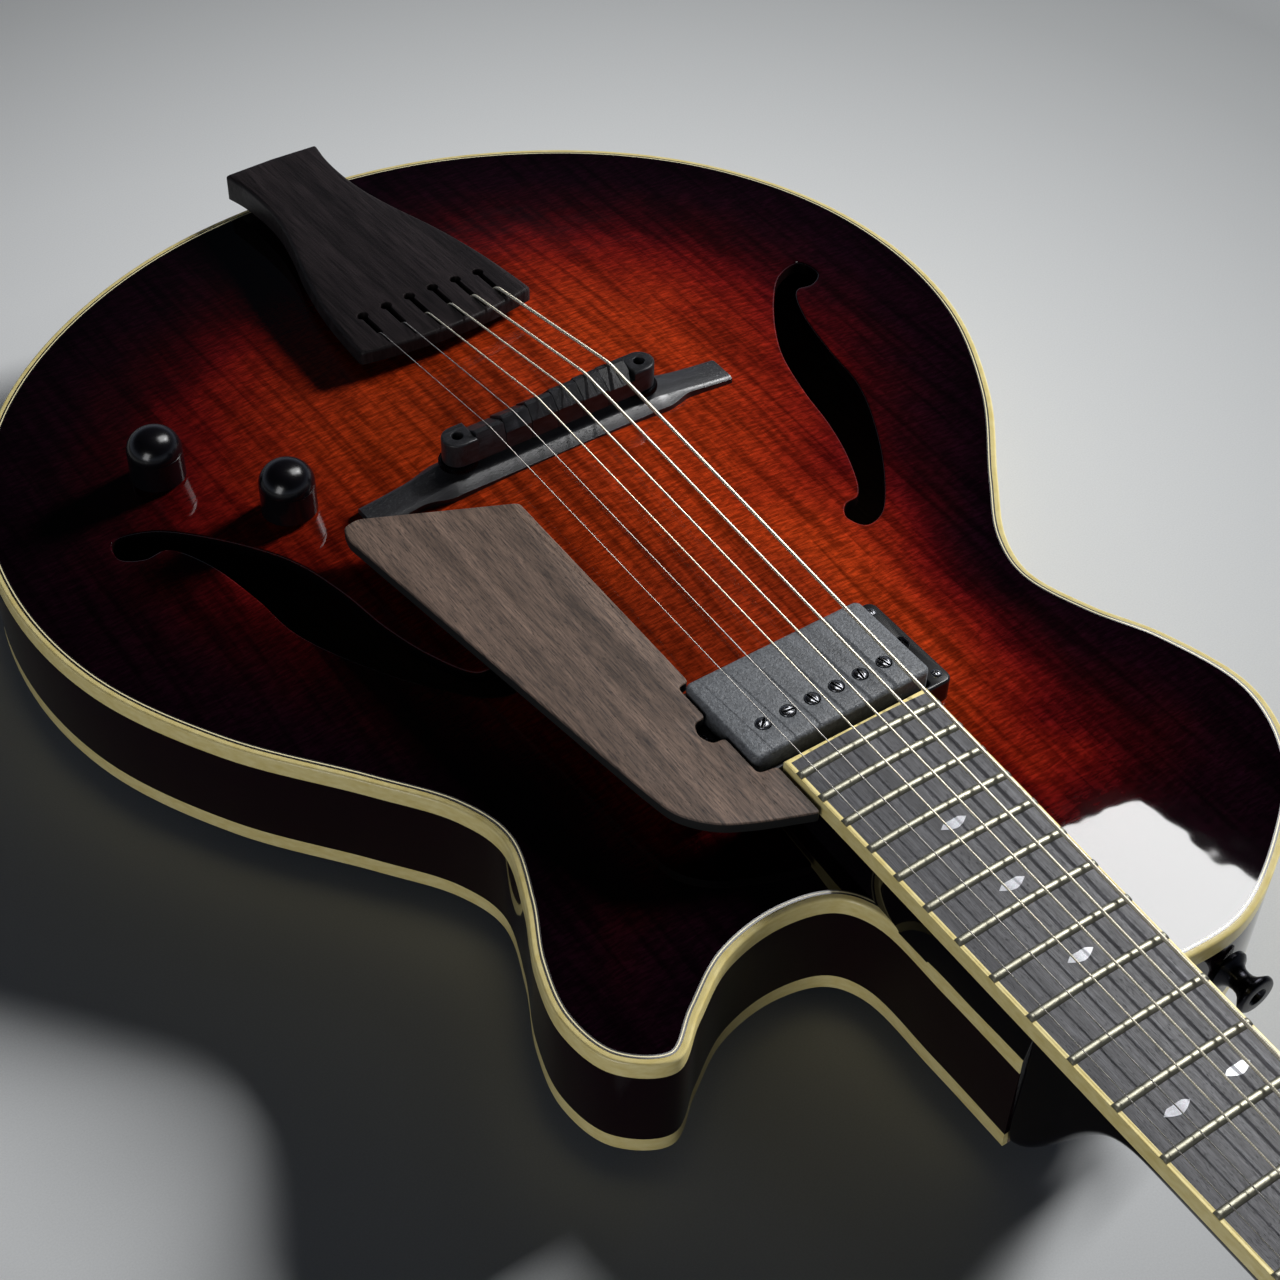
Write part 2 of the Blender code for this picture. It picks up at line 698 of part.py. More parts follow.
def make_centre_block(wood):
    """The block from tail to neck, cut to the hollow between the plates and the sides."""
    made = solid("centre_block",
                 *block((-BLOCK_HALF, TAIL_Y - OVERCUT, 0.0),
                        (BLOCK_HALF, NECK_END_Y - GAP, RIM_TOP + TOP_ARCH)), wood)
    between_plates = solid("between_plates",
                           *shell(REBATE,
                                  lambda x, y: top_surface(x, y) - TOP_THICKNESS - GAP,
                                  lambda x, y: back_surface(x, y) + BACK_THICKNESS + GAP), None)
    boolean(made, between_plates, "INTERSECT")
    inside_rim = solid("inside_rim",
                       *prism(inset(PATH, RIM_WALL + BARE_LINING + GAP), -OVERCUT,
                              RIM_TOP + TOP_ARCH + OVERCUT), None)
    boolean(made, inside_rim, "INTERSECT")
    cuts = [pickup_cavity(RIM_TOP - CAVITY_DEPTH, RIM_TOP + TOP_ARCH),
            block((-TENON_HALF - GAP, TENON_END_Y - GAP, RIM_TOP - TENON_DEPTH - GAP),
                  (TENON_HALF + GAP, NECK_END_Y + OVERCUT, RIM_TOP + TOP_ARCH))]
    boolean(made, solid("block_cuts", *joined(cuts), None), "DIFFERENCE")
    return made


def neck_section(y, half, top, depth, side, profile, taper=0.0):
    """A level top, straight sides and a belly; profile is 0 for a box and 1 for an ellipse."""
    section = []
    last = BELLY_STEPS
    for i in range(last + 1):
        across, down = math.cos(math.pi * i / last), math.sin(math.pi * i / last)
        drop = side + (depth - side) * max(down, 0.0) ** profile
        x = -half * math.copysign(abs(across) ** profile, across) * (1 - taper * drop / depth)
        section.append((x, y, top - drop))
    return section + [(half, y, top), (-half, y, top)]


def board_support():
    """Sections of the wood under the fretboard where it reaches over the top."""
    sections = []
    for y in np.linspace(BOARD_END_Y + SUPPORT_SETBACK, NECK_END_Y, SUPPORT_STEPS + 1):
        depth = glue_plane(y) - RIM_TOP + SUPPORT_SINK
        sections.append(neck_section(y, board_half(y), glue_plane(y), depth,
                                     depth - SUPPORT_EDGE, SUPPORT_PROFILE))
    return sections


def heel_and_grip():
    """Sections from the heel's face on the rim to the plain neck, and on to the nut."""
    sections = []
    heel_depth = glue_plane(NECK_END_Y) - RIM_BOTTOM
    for step in range(HEEL_STEPS + 1):
        y = NECK_END_Y + GAP + HEEL_LENGTH * step / HEEL_STEPS
        fall = math.cos(step / HEEL_STEPS * math.pi / 2) ** HEEL_FALL
        depth = NECK_DEPTH_HEEL + (heel_depth - NECK_DEPTH_HEEL) * fall
        profile = NECK_PROFILE + (HEEL_PROFILE - NECK_PROFILE) * fall
        sections.append(neck_section(y, board_half(y), glue_plane(y), depth,
                                     NECK_SIDE + HEEL_SIDE * fall, profile, HEEL_TAPER * fall))
    heel_end_y = NECK_END_Y + GAP + HEEL_LENGTH
    for share in (0.5, 1.0):
        y = heel_end_y + (NUT_Y - THROAT_LENGTH - heel_end_y) * share
        depth = NECK_DEPTH_HEEL + (NECK_DEPTH_NUT - NECK_DEPTH_HEEL) * share
        sections.append(neck_section(y, board_half(y), glue_plane(y), depth, NECK_SIDE,
                                     NECK_PROFILE))
    return sections


def headstock():
    """Sections from the throat below the nut to the tip, with flat front and rounded back."""
    side, profile = THROAT
    y = HEAD_START_Y - THROAT_STEP
    sections = [neck_section(y, NUT_WIDTH / 2, glue_plane(y), HEAD_THICKNESS + side, side, profile)]
    for along, half in HEAD_PLAN:
        y = HEAD_START_Y + along
        sections.append(neck_section(y, half, head_face(y) - VENEER,
                                     HEAD_THICKNESS / math.cos(HEAD_TILT),
                                     HEAD_THICKNESS - HEAD_EDGE, HEAD_PROFILE))
    return sections


def make_neck(wood):
    """Neck, heel, board support and headstock in one piece of wood."""
    made = solid("neck", *loft(board_support() + heel_and_grip() + headstock()), wood)
    under = solid("under_top",
                  *shell(REBATE, lambda x, y: top_surface(x, y) + GAP,
                         lambda x, y: RIM_TOP - BINDING_HEIGHT, plate_rings(-GAP)[:1]), None)
    boolean(made, under, "DIFFERENCE")
    tenon_top = glue_plane(NECK_END_Y) - ROD_COVERING
    tenon = solid("tenon",
                  *block((-TENON_HALF, TENON_END_Y, RIM_TOP - TENON_DEPTH),
                         (TENON_HALF, NECK_END_Y + TENON_OVERLAP, tenon_top)), None)
    boolean(made, tenon, "UNION")
    cuts = [rod_channel(GAP)] + tuner_holes(-HEAD_THICKNESS - VENEER - OVERCUT)
    boolean(made, solid("neck_cuts", *joined(cuts), None), "DIFFERENCE")
    return made


def tuner_places():
    """Side and distance beyond the nut of each tuner, in the order of the strings."""
    alongs = [TUNER_FIRST + TUNER_SPACING * k for k in range(3)]
    return [(1, a) for a in alongs] + [(-1, a) for a in reversed(alongs)]


def tuner_holes(low):
    """Cutters for the tuners' sleeves, from low to just over the headstock's face."""
    wide = SLEEVE_RADIUS + GAP
    return [in_head(turned(((wide, low), (wide, OVERCUT)), (side * TUNER_X, along, 0.0), segments=10))
            for side, along in tuner_places()]


def rod_channel(margin):
    """The routed channel for the truss rod, which opens under the cover on the headstock."""
    half = ROD_RADIUS + margin
    sections = []
    for y in (ROD_END_Y - margin, HEAD_START_Y, ROD_NUT_Y + ROD_NUT_ROOM):
        low = glue_plane(y) - 2 * ROD_RADIUS - ROD_COVERING - margin
        high = glue_plane(y) + OVERCUT
        sections.append([(-half, y, low), (half, y, low), (half, y, high), (-half, y, high)])
    return loft(sections)


def make_truss_rod(steel):
    sections = []
    for y in (ROD_END_Y, NUT_Y, ROD_NUT_Y):
        middle = glue_plane(y) - ROD_RADIUS - ROD_COVERING
        sections.append([(x, y, middle + z) for x, z in circle(ROD_RADIUS, 8, math.pi / 8)])
    solid("truss_rod", *loft(sections), steel)


def make_truss_rod_cover(black):
    """Pointed plate over the truss rod's nut."""
    outline = list(ROD_COVER_PLAN) + [(0.0, ROD_COVER_TIP)]
    outline += [(-x, y) for x, y in reversed(ROD_COVER_PLAN)]
    solid("truss_rod_cover", *in_head(prism(outline, GAP, GAP + ROD_COVER_THICKNESS)), black)


def make_veneer(wood_black):
    """Thin black face of the headstock, bored for the tuners and cut for the truss rod."""
    sections = []
    for along, half in HEAD_PLAN:
        y = HEAD_START_Y + along
        top, low = head_face(y), head_face(y) - VENEER + GAP
        sections.append([(-half, y, low), (half, y, low), (half, y, top), (-half, y, top)])
    made = solid("headstock_veneer", *loft(sections), wood_black)
    cuts = [rod_channel(GAP)] + tuner_holes(-VENEER - OVERCUT)
    boolean(made, solid("veneer_cuts", *joined(cuts), None), "DIFFERENCE")


def make_fretboard(ebony, cream):
    """Fretboard with its frets, then the binding round its two sides and its end."""
    stations = [(BOARD_END_Y + BOARD_BINDING + GAP, 0.0)]
    for fret in range(FRET_COUNT, 0, -1):
        y = NUT_Y - SCALE_LENGTH * (1 - 2 ** (-fret / 12))
        for shift, lift in ((-0.5, 0.0), (-0.25, FRET_HEIGHT), (0.25, FRET_HEIGHT), (0.5, 0.0)):
            stations.append((y + shift * FRET_WIDTH, lift))
    stations.append((NUT_Y - GAP, 0.0))
    sections = []
    for y, lift in stations:
        half = board_half(y) - BOARD_BINDING - GAP
        low = glue_plane(y) + GAP
        section = [(-half, y, low), (half, y, low)]
        for share in (1.0, 0.0, -1.0):
            x = share * half
            section.append((x, y, board_edge(y) + crown(x, half) + lift))
        sections.append(section)
    solid("fretboard", *loft(sections), ebony, smooth=25.0)
    sections = []
    for y, side in ((NUT_Y - GAP, -1), (BOARD_END_Y, -1), (BOARD_END_Y, 1), (NUT_Y - GAP, 1)):
        outer = side * board_half(y)
        inner = side * (board_half(y) - BOARD_BINDING)
        inner_y = y + BOARD_BINDING if y == BOARD_END_Y else y
        low, high = glue_plane(y) + GAP, board_edge(y)
        sections.append([(outer, y, low), (inner, inner_y, low), (inner, inner_y, high),
                         (outer, y, high)])
    solid("fretboard_binding", *loft(sections), cream)


def string_x(number, spread):
    """Place of a string, counted from the treble side."""
    return ((len(STRING_DIAMETERS) - 1) / 2 - number) * spread


def nut_height(x):
    """Height of a string's middle in the nut."""
    return board_edge(NUT_Y) + crown(x, NUT_WIDTH / 2) + NUT_RISE


def make_nut(bone):
    """Nut with a slot for each string."""
    half = NUT_WIDTH / 2
    low, edge = glue_plane(NUT_Y) + GAP, board_edge(NUT_Y) + NUT_LIP
    outline = [(-half, low), (half, low), (half, edge)]
    for number, diameter in enumerate(STRING_DIAMETERS):
        x = string_x(number, NUT_SPREAD)
        wide = diameter / 2 + GAP
        floor = nut_height(x) - diameter / 2 - GAP
        rim = nut_height(x) + NUT_LIP
        outline += [(x + wide, rim), (x + wide, floor), (x - wide, floor), (x - wide, rim)]
    outline.append((-half, edge))
    drop = glue_plane(NUT_Y) - glue_plane(NUT_Y + NUT_THICKNESS)
    solid("nut", *loft([[(x, NUT_Y, z) for x, z in outline],
                        [(x, NUT_Y + NUT_THICKNESS, z - drop) for x, z in outline]]), bone)


def saddle_height(x):
    return RIM_TOP + SADDLE_TOP + crown(x, SADDLE_CROWN_HALF)


def saddle_shift(number):
    """How far a string's rest on the saddle lies towards the tail."""
    middle = (len(STRING_DIAMETERS) - 1) / 2
    return COMPENSATION * (number - middle) / middle


def wire(name, points, radius, roundness, finish):
    """A round wire through points."""
    curve = bpy.data.curves.new(name, "CURVE")
    curve.dimensions = "3D"
    curve.bevel_depth = radius * MM
    curve.bevel_resolution = roundness
    curve.use_fill_caps = True
    line = curve.splines.new("POLY")
    line.points.add(len(points) - 1)
    for point, place in zip(line.points, points):
        point.co = (place[0] * MM, place[1] * MM, place[2] * MM, 1.0)
    bpy.context.scene.collection.objects.link(bpy.data.objects.new(name, curve))
    curve.materials.append(finish)


def make_strings(steel, bronze):
    """Each string from its slot in the tailpiece over saddle and nut to its tuner's post."""
    for number, diameter in enumerate(STRING_DIAMETERS):
        radius = diameter / 2
        x_tail = string_x(number, TAIL_SPREAD)
        x_saddle = string_x(number, SADDLE_SPREAD)
        x_nut = string_x(number, NUT_SPREAD)
        exit_y = keyhole_y() + SLOT_LENGTH
        lip = tailpiece_top(x_tail, exit_y)
        saddle_y = BRIDGE_Y - saddle_shift(number)
        anchor_y, anchor_z = STRING_ANCHOR
        points = [(x_tail, exit_y - anchor_y, lip - anchor_z),
                  (x_tail, exit_y + diameter + GAP, lip + radius + GAP),
                  (x_saddle, saddle_y, saddle_height(x_saddle) + radius + GAP),
                  (x_nut, NUT_Y - NUT_BEND, nut_height(x_nut)),
                  (x_nut, NUT_Y + NUT_THICKNESS + NUT_BEND, nut_height(x_nut) - NUT_BEND)]
        side, along = tuner_places()[number]
        wrap = POST_RADIUS + GAP + radius
        start = math.pi if side > 0 else 0.0
        for step in range(WRAP_STEPS + 1):
            angle = start - side * 2 * math.pi * step / WRAP_STEPS
            up = WRAP_HEIGHT - (2 * radius + GAP) * step / WRAP_STEPS
            points.append(head_point(side * TUNER_X + wrap * math.cos(angle),
                                     along + wrap * math.sin(angle), up))
        wire("string_%d" % (number + 1), points, radius, 1, steel if number < 2 else bronze)


def tailpiece_top(x, y):
    share = (y - TAILPIECE_TAIL_Y) / TAILPIECE_PLAN[-1][0]
    middle = TAILPIECE_TAIL_TOP + (TAILPIECE_FRONT_TOP - TAILPIECE_TAIL_TOP) * share
    rise = TAILPIECE_CROWN * (1 - (x / TAILPIECE_PLAN[-1][1]) ** 2)
    return RIM_TOP + middle + rise - TAILPIECE_CROWN_SINK


def tailpiece_half(along):
    curve = smooth_path(TAILPIECE_PLAN, 4)
    return float(np.interp(along, [p[0] for p in curve], [p[1] for p in curve]))


def keyhole_y():
    return TAILPIECE_TAIL_Y + TAILPIECE_PLAN[-1][0] - KEYHOLE_SETBACK


def make_tailpiece(rosewood):
    """Flared tailpiece, bowed at the front, with a keyhole and a fine kerf for each string."""
    length = TAILPIECE_PLAN[-1][0]
    sections = []
    for share in np.linspace(0.0, 1.0, TAILPIECE_ROWS):
        section = []
        for side in (-1.0, -0.55, 0.0, 0.55, 1.0):
            bow = TAILPIECE_BOW * (1 - side * side) * share ** 4
            y = TAILPIECE_TAIL_Y + length * share + bow
            x = side * tailpiece_half(length * share)
            section.append((x, y, tailpiece_top(x, y)))
        thickness = TAILPIECE_TAIL_THICKNESS
        thickness += (TAILPIECE_FRONT_THICKNESS - TAILPIECE_TAIL_THICKNESS) * share
        under = [(x, y, z - thickness) for x, y, z in reversed(section)]
        sections.append(section + under)
    made = solid("tailpiece", *loft(sections), rosewood)
    cuts = [keyhole(string_x(number, TAIL_SPREAD)) for number in range(len(STRING_DIAMETERS))]
    wide = CABLE_RADIUS + GAP
    for side in (-1, 1):
        cuts.append(turned(((wide, -OVERCUT), (wide, CABLE_HOLE_DEPTH)),
                           (side * CABLE_HALF, CABLE_Y, tailpiece_under()), segments=8))
    boolean(made, solid("tailpiece_cuts", *joined(cuts), None), "DIFFERENCE")


def keyhole(x):
    """Cutter for a round hole that takes a string's ball, its slot, and the kerf ahead of it."""
    y = keyhole_y()
    half, fine = SLOT_WIDTH / 2, KERF_WIDTH / 2
    opening = math.asin(half / KEYHOLE_RADIUS)
    outline = []
    for step in range(KEYHOLE_STEPS + 1):
        angle = math.pi / 2 + opening + 2 * (math.pi - opening) * step / KEYHOLE_STEPS
        outline.append((x + KEYHOLE_RADIUS * math.cos(angle), y + KEYHOLE_RADIUS * math.sin(angle)))
    slot_y, kerf_y, front_y = y + SLOT_LENGTH, y + KERF_START, y + KEYHOLE_SETBACK * 2
    outline += [(x + half, slot_y), (x + fine, kerf_y), (x + fine, front_y),
                (x - fine, front_y), (x - fine, kerf_y), (x - half, slot_y)]
    return prism(outline, RIM_TOP, RIM_TOP + TAILPIECE_FRONT_TOP + TAILPIECE_CROWN + OVERCUT)


def tailpiece_under():
    return tailpiece_top(CABLE_HALF, TAILPIECE_TAIL_Y) - TAILPIECE_TAIL_THICKNESS


def make_tail_cable(black):
    """Cable that hooks under the end pin and holds the tailpiece against the strings' pull."""
    pin_z = RIM_BOTTOM + PIN_Z
    high, low = tailpiece_under() + CABLE_HOLE_DEPTH - CABLE_CLEARANCE, tailpiece_under() - OVERCUT
    points = [(CABLE_HALF, CABLE_Y, high), (CABLE_HALF, CABLE_Y, low)]
    for step in range(CABLE_STEPS + 1):
        angle = -math.pi * step / CABLE_STEPS
        points.append((CABLE_HALF * math.cos(angle), CABLE_Y, pin_z + CABLE_HALF * math.sin(angle)))
    points += [(-CABLE_HALF, CABLE_Y, low), (-CABLE_HALF, CABLE_Y, high)]
    wire("tail_cable", points, CABLE_RADIUS, 2, black)


def make_end_pin(black, side_names):
    """End-pin jack: a barrel through the side and into the block, with a plug bore."""
    flange, neck = PIN_FLANGE_RADIUS, PIN_NECK_RADIUS
    lip, waist_end, waist_start, foot = PIN_FORM
    profile = ((PLUG_RADIUS, -PLUG_DEPTH), (PLUG_RADIUS, PIN_LENGTH), (flange - lip, PIN_LENGTH),
               (flange, PIN_LENGTH - 2 * lip), (flange, waist_end + lip), (neck, waist_end),
               (neck, waist_start), (flange, foot), (flange, GAP), (BARREL_RADIUS, GAP),
               (BARREL_RADIUS, -BARREL_LENGTH))
    centre = (0.0, TAIL_Y, RIM_BOTTOM + PIN_Z)
    solid("end_pin_jack", *turned(profile, centre, (0.0, -1.0, 0.0), 12), black)
    bore = BARREL_RADIUS + GAP
    hole = solid("pin_hole", *turned(((bore, -BARREL_LENGTH - OVERCUT), (bore, OVERCUT)), centre,
                                     (0.0, -1.0, 0.0)), None)
    for name in side_names:
        boolean(bpy.data.objects[name], hole, "DIFFERENCE")


def make_strap_button(black):
    """Strap button by the heel, screwed into the bass shoulder."""
    edge = max(y for x, y in PATH if abs(x - STRAP_X) < 2 * STRAP_RADIUS)
    profile = ((STRAP_RADIUS, -OVERCUT), (STRAP_RADIUS, 1.6)) + STRAP_PROFILE
    profile += ((STRAP_RADIUS, STRAP_LENGTH - STRAP_FLANGE), (STRAP_RADIUS, STRAP_LENGTH - STRAP_CHAMFER),
                (STRAP_RADIUS - STRAP_CHAMFER, STRAP_LENGTH))
    button = solid("strap_button",
                   *turned(profile, (STRAP_X, edge, RIM_TOP - STRAP_DEPTH), (0.0, 1.0, 0.0), 12), black)
    rim = solid("rim", *prism(inset(PATH, -GAP), RIM_BOTTOM, RIM_TOP), None)
    boolean(button, rim, "DIFFERENCE")


def make_bridge_base(ebony):
    """Raised middle that carries the posts, and a long low foot at each end fitted to the arch."""
    wing = BASE_HALF - BASE_MIDDLE_HALF
    right = [BASE_MIDDLE_HALF + wing * share for share in FOOT_SHARES]
    y = BRIDGE_Y + BASE_OFFSET
    sections = []
    for x in [-x for x in reversed(right)] + right:
        out = (abs(x) - BASE_MIDDLE_HALF) / wing
        half = (BASE_WIDTH + (FOOT_WIDTH - BASE_WIDTH) * min(1.0, 2 * out)) / 2
        foot_top = top_surface(x, y) - RIM_TOP + FOOT_THICKNESS + FOOT_FILLET * (1 - out) ** 2
        high, (inward, down) = BASE_TOP, BASE_CHAMFER
        if out > 0:
            high, (inward, down) = min(BASE_TOP, foot_top), FOOT_CHAMFER
        profile = ((-half, SUPPORT_SINK), (half, SUPPORT_SINK), (half, high - down),
                   (half - inward, high), (inward - half, high), (-half, high - down))
        sections.append([(x, y + across, RIM_TOP + up) for across, up in profile])
    base = solid("bridge_base", *loft(sections), ebony)
    boolean(base, bpy.data.objects["under_top"], "DIFFERENCE")
    wide = BRIDGE_POST_RADIUS + GAP
    holes = [turned(((wide, BRIDGE_POST_FOOT - GAP), (wide, SADDLE_TOP)),
                    (side * BRIDGE_POST_X, BRIDGE_Y, RIM_TOP), segments=10) for side in (-1, 1)]
    boolean(base, solid("base_cuts", *joined(holes), None), "DIFFERENCE")


def make_posts_and_wheels(steel, saddle):
    """Threaded posts in the base, a thumbwheel on each, and the bores they run in."""
    bore = BRIDGE_POST_RADIUS + RUNNING_GAP
    post_top = SADDLE_EAR_TOP - SADDLE_TRAVEL - 1.0
    wheel_z = RIM_TOP + SADDLE_BOTTOM - GAP - WHEEL_THICKNESS
    wheel = ((bore, 0.0), (WHEEL_RADIUS, 0.0), (WHEEL_RADIUS, WHEEL_THICKNESS), (bore, WHEEL_THICKNESS))
    bores = []
    for side, name in ((-1, "bass"), (1, "treble")):
        x = side * BRIDGE_POST_X
        post = ((BRIDGE_POST_RADIUS, BRIDGE_POST_FOOT), (BRIDGE_POST_RADIUS, post_top))
        solid("bridge_post_" + name, *turned(post, (x, BRIDGE_Y, RIM_TOP), segments=10), steel)
        place = (x, BRIDGE_Y, wheel_z)
        solid("thumbwheel_" + name, *turned(wheel, place, segments=14, bored=True), steel, pivot=place)
        bores.append(turned(((bore, 0.0), (bore, SADDLE_TOP + TOP_ARCH)), (x, BRIDGE_Y, RIM_TOP),
                            segments=10))
    boolean(saddle, solid("saddle_bores", *joined(bores), None), "DIFFERENCE")


def make_saddle(ebony):
    """Round-ended bar whose crest steps back for each string."""
    half = SADDLE_WIDTH / 2
    ends = SADDLE_HALF - half
    plan = []
    for side in (1, -1):
        for step in range(7):
            angle = side * math.pi * (step / 6 - 0.5)
            plan.append((side * (ends + half * math.cos(angle)), BRIDGE_Y + half * math.sin(angle)))
    saddle = solid("bridge_saddle",
                   *prism(plan, RIM_TOP + SADDLE_BOTTOM, RIM_TOP + SADDLE_EAR_TOP), ebony,
                   pivot=(0.0, BRIDGE_Y, RIM_TOP + SADDLE_BOTTOM))
    back, front = BRIDGE_Y - half + GAP, BRIDGE_Y + half - GAP
    low = RIM_TOP + SADDLE_EAR_TOP - CREST_ROOT
    sections = []
    for number in range(len(STRING_DIAMETERS) - 1, -1, -1):
        middle = string_x(number, SADDLE_SPREAD)
        y = BRIDGE_Y - saddle_shift(number)
        top = saddle_height(middle)
        for side in (-1, 1):
            x = middle + side * (SADDLE_SPREAD - CREST_SPACE) / 2
            sections.append([(x, back, low), (x, front, low), (x, front, top - CREST_DROP),
                             (x, y + CREST_WIDTH / 2, top), (x, y - CREST_WIDTH / 2, top),
                             (x, back, top - CREST_DROP)])
    boolean(saddle, solid("crest", *loft(sections), None), "UNION")
    return saddle


def guard_plan():
    """The pickguard's free edge, from beside the bridge to beside the fretboard."""
    return ([(x, BRIDGE_Y + y) for x, y in GUARD_TAIL]
            + [(x, BOARD_END_Y + y) for x, y in GUARD_NECK])


def guard_top(y):
    tail_y, neck_y = guard_plan()[0][1], guard_plan()[-1][1]
    share = (y - tail_y) / (neck_y - tail_y)
    return RIM_TOP + GUARD_TAIL_TOP + (GUARD_NECK_TOP - GUARD_TAIL_TOP) * share


def make_pickguard(rosewood):
    """Floating pickguard with a notch round the pickup and its screw."""
    back = PICKUP_Y - PICKUP_WIDTH / 2 - GUARD_CLEARANCE
    front = BOARD_END_Y - GUARD_BOARD_GAP
    notch = PICKUP_LENGTH / 2 + GUARD_CLEARANCE
    reach, half = GUARD_EAR
    corner = reach - GUARD_CLEARANCE
    outline = guard_plan()
    outline += [(outline[-1][0], front), (notch, front - GUARD_BOARD_GAP), (notch, PICKUP_Y + half),
                (notch + corner, PICKUP_Y + half), (notch + reach, PICKUP_Y),
                (notch + corner, PICKUP_Y - half), (notch, PICKUP_Y - half), (notch, back),
                (GUARD_INNER_X, back)]
    sections = [[(x, y, guard_top(y) - drop) for x, y in outline] for drop in (GUARD_THICKNESS, 0.0)]
    solid("pickguard", *loft(sections), rosewood)


def make_pickguard_bracket(black):
    """Post on a round foot that holds the pickguard up off the top."""
    x, y = GUARD_SUPPORT
    foot = top_surface(x, y)
    edge, shoulder = BRACKET_FOOT
    profile = ((BRACKET_FOOT_RADIUS, foot - SUPPORT_SINK), (BRACKET_FOOT_RADIUS, foot + edge),
               (BRACKET_RADIUS, foot + shoulder),
               (BRACKET_RADIUS, guard_top(y) - GUARD_THICKNESS - GAP))
    bracket = solid("pickguard_bracket", *turned(profile, (x, y, 0.0), segments=12), black)
    boolean(bracket, bpy.data.objects["under_top"], "DIFFERENCE")


def make_ring(black):
    """Frame round the pickup, fitted to the arch below, with a hole for each height screw."""
    def loop(half_x, half_y, radius):
        return rounded(rectangle((-half_x, -half_y), (half_x, half_y)), radius, 2)

    outer = loop(RING_HALF_X, RING_HALF_Y, RING_CORNERS[0])
    inner = loop(PICKUP_LENGTH / 2 + RING_CLEARANCE, PICKUP_WIDTH / 2 + RING_CLEARANCE, RING_CORNERS[1])
    high = RIM_TOP + RING_TOP
    sections = []
    for (ox, oy), (ix, iy) in zip(outer, inner):
        sections.append([(ox, PICKUP_Y + oy, RIM_TOP), (ox, PICKUP_Y + oy, high),
                         (ix, PICKUP_Y + iy, high), (ix, PICKUP_Y + iy, RIM_TOP)])
    ring = solid("pickup_ring", *loft(sections, closed=True), black)
    boolean(ring, bpy.data.objects["under_top"], "DIFFERENCE")
    boolean(ring, screw_holes("ring_holes"), "DIFFERENCE")


def make_baseplate(steel):
    """Plate that closes the cover, with a bent leg at each end for a height screw."""
    half_x, half_y = PICKUP_LENGTH / 2, PICKUP_WIDTH / 2
    plate = solid("pickup_baseplate",
                  *block((-half_x, PICKUP_Y - half_y, BASEPLATE_Z),
                         (half_x, PICKUP_Y + half_y, BASEPLATE_Z + BASEPLATE_THICKNESS)), steel,
                  pivot=(0.0, PICKUP_Y, BASEPLATE_Z))
    low, root = BASEPLATE_Z - LEG_DROP, BASEPLATE_Z + BASEPLATE_THICKNESS / 2
    end = HEIGHT_SCREW_X + LEG_REACH
    profile = ((half_x, root), (half_x, low + LEG_THICKNESS), (end, low + LEG_THICKNESS), (end, low),
               (half_x - LEG_THICKNESS, low), (half_x - LEG_THICKNESS, root))
    legs = [loft([[(side * x, PICKUP_Y + y, z) for x, z in profile] for y in (-LEG_HALF, LEG_HALF)])
            for side in (-1, 1)]
    boolean(plate, solid("legs", *joined(legs), None), "UNION")
    boolean(plate, screw_holes("leg_holes"), "DIFFERENCE")


def make_height_screws(black):
    low = BASEPLATE_Z - LEG_DROP - HEIGHT_SCREW_REACH
    high = RIM_TOP + RING_TOP + GAP
    profile = ((HEIGHT_SCREW_RADIUS, low - high), (HEIGHT_SCREW_RADIUS, 0.0)) + HEIGHT_SCREW_HEAD
    for side, name in ((-1, "bass"), (1, "treble")):
        place = (side * HEIGHT_SCREW_X, PICKUP_Y, high)
        solid("pickup_height_screw_" + name, *turned(profile, place, segments=10), black, pivot=place)


def screw_holes(name):
    """Cutter for the holes of both height screws."""
    wide = HEIGHT_SCREW_RADIUS + GAP
    holes = [turned(((wide, -CAVITY_DEPTH), (wide, RING_TOP + OVERCUT)),
                    (side * HEIGHT_SCREW_X, PICKUP_Y, RIM_TOP), segments=8) for side in (-1, 1)]
    return solid(name, *joined(holes), None)


def pickup_plan(inward):
    """The pickup's rounded outline, moved inwards."""
    x, y = PICKUP_LENGTH / 2 - inward, PICKUP_WIDTH / 2 - inward
    plan = rounded(rectangle((-x, -y), (x, y)), max(COVER_CORNER - inward, LEAST_CORNER), 2)
    return [(a, PICKUP_Y + b) for a, b in plan]


def pole_shapes(profile):
    """One turned shape for each pole, under its string."""
    return [turned(profile, (string_x(n, POLE_SPREAD), PICKUP_Y + POLE_OFFSET, COVER_Z), segments=8)
            for n in range(len(STRING_DIAMETERS))]


def make_cover(finish):
    """Drawn cover, open below, with rounded edges and a hole for each pole."""
    def loop(inward, down):
        return [(x, y, COVER_Z - down) for x, y in pickup_plan(inward)]

    outside = [loop(0.0, COVER_DEPTH)] + [loop(inward, down) for inward, down in COVER_EDGE]
    inside = [loop(COVER_WALL, COVER_DEPTH), loop(COVER_WALL, COVER_ROOF)]
    count = len(outside[0])
    points, faces = loft(outside)
    faces = faces[:-2] + [faces[-1]]
    start = len(points)
    more, more_faces = loft(inside)
    points += more
    faces += [tuple(i + start for i in face) for face in more_faces[:-2] + [more_faces[-1]]]
    for i in range(count):
        j = (i + 1) % count
        faces.append((i, j, start + j, start + i))
    cover = solid("pickup_cover", points, faces, finish, pivot=(0.0, PICKUP_Y, COVER_Z))
    wide = POLE_RADIUS + GAP
    holes = pole_shapes(((wide, -POLE_REACH), (wide, POLE_REACH)))
    boolean(cover, solid("pole_holes", *joined(holes), None), "DIFFERENCE")


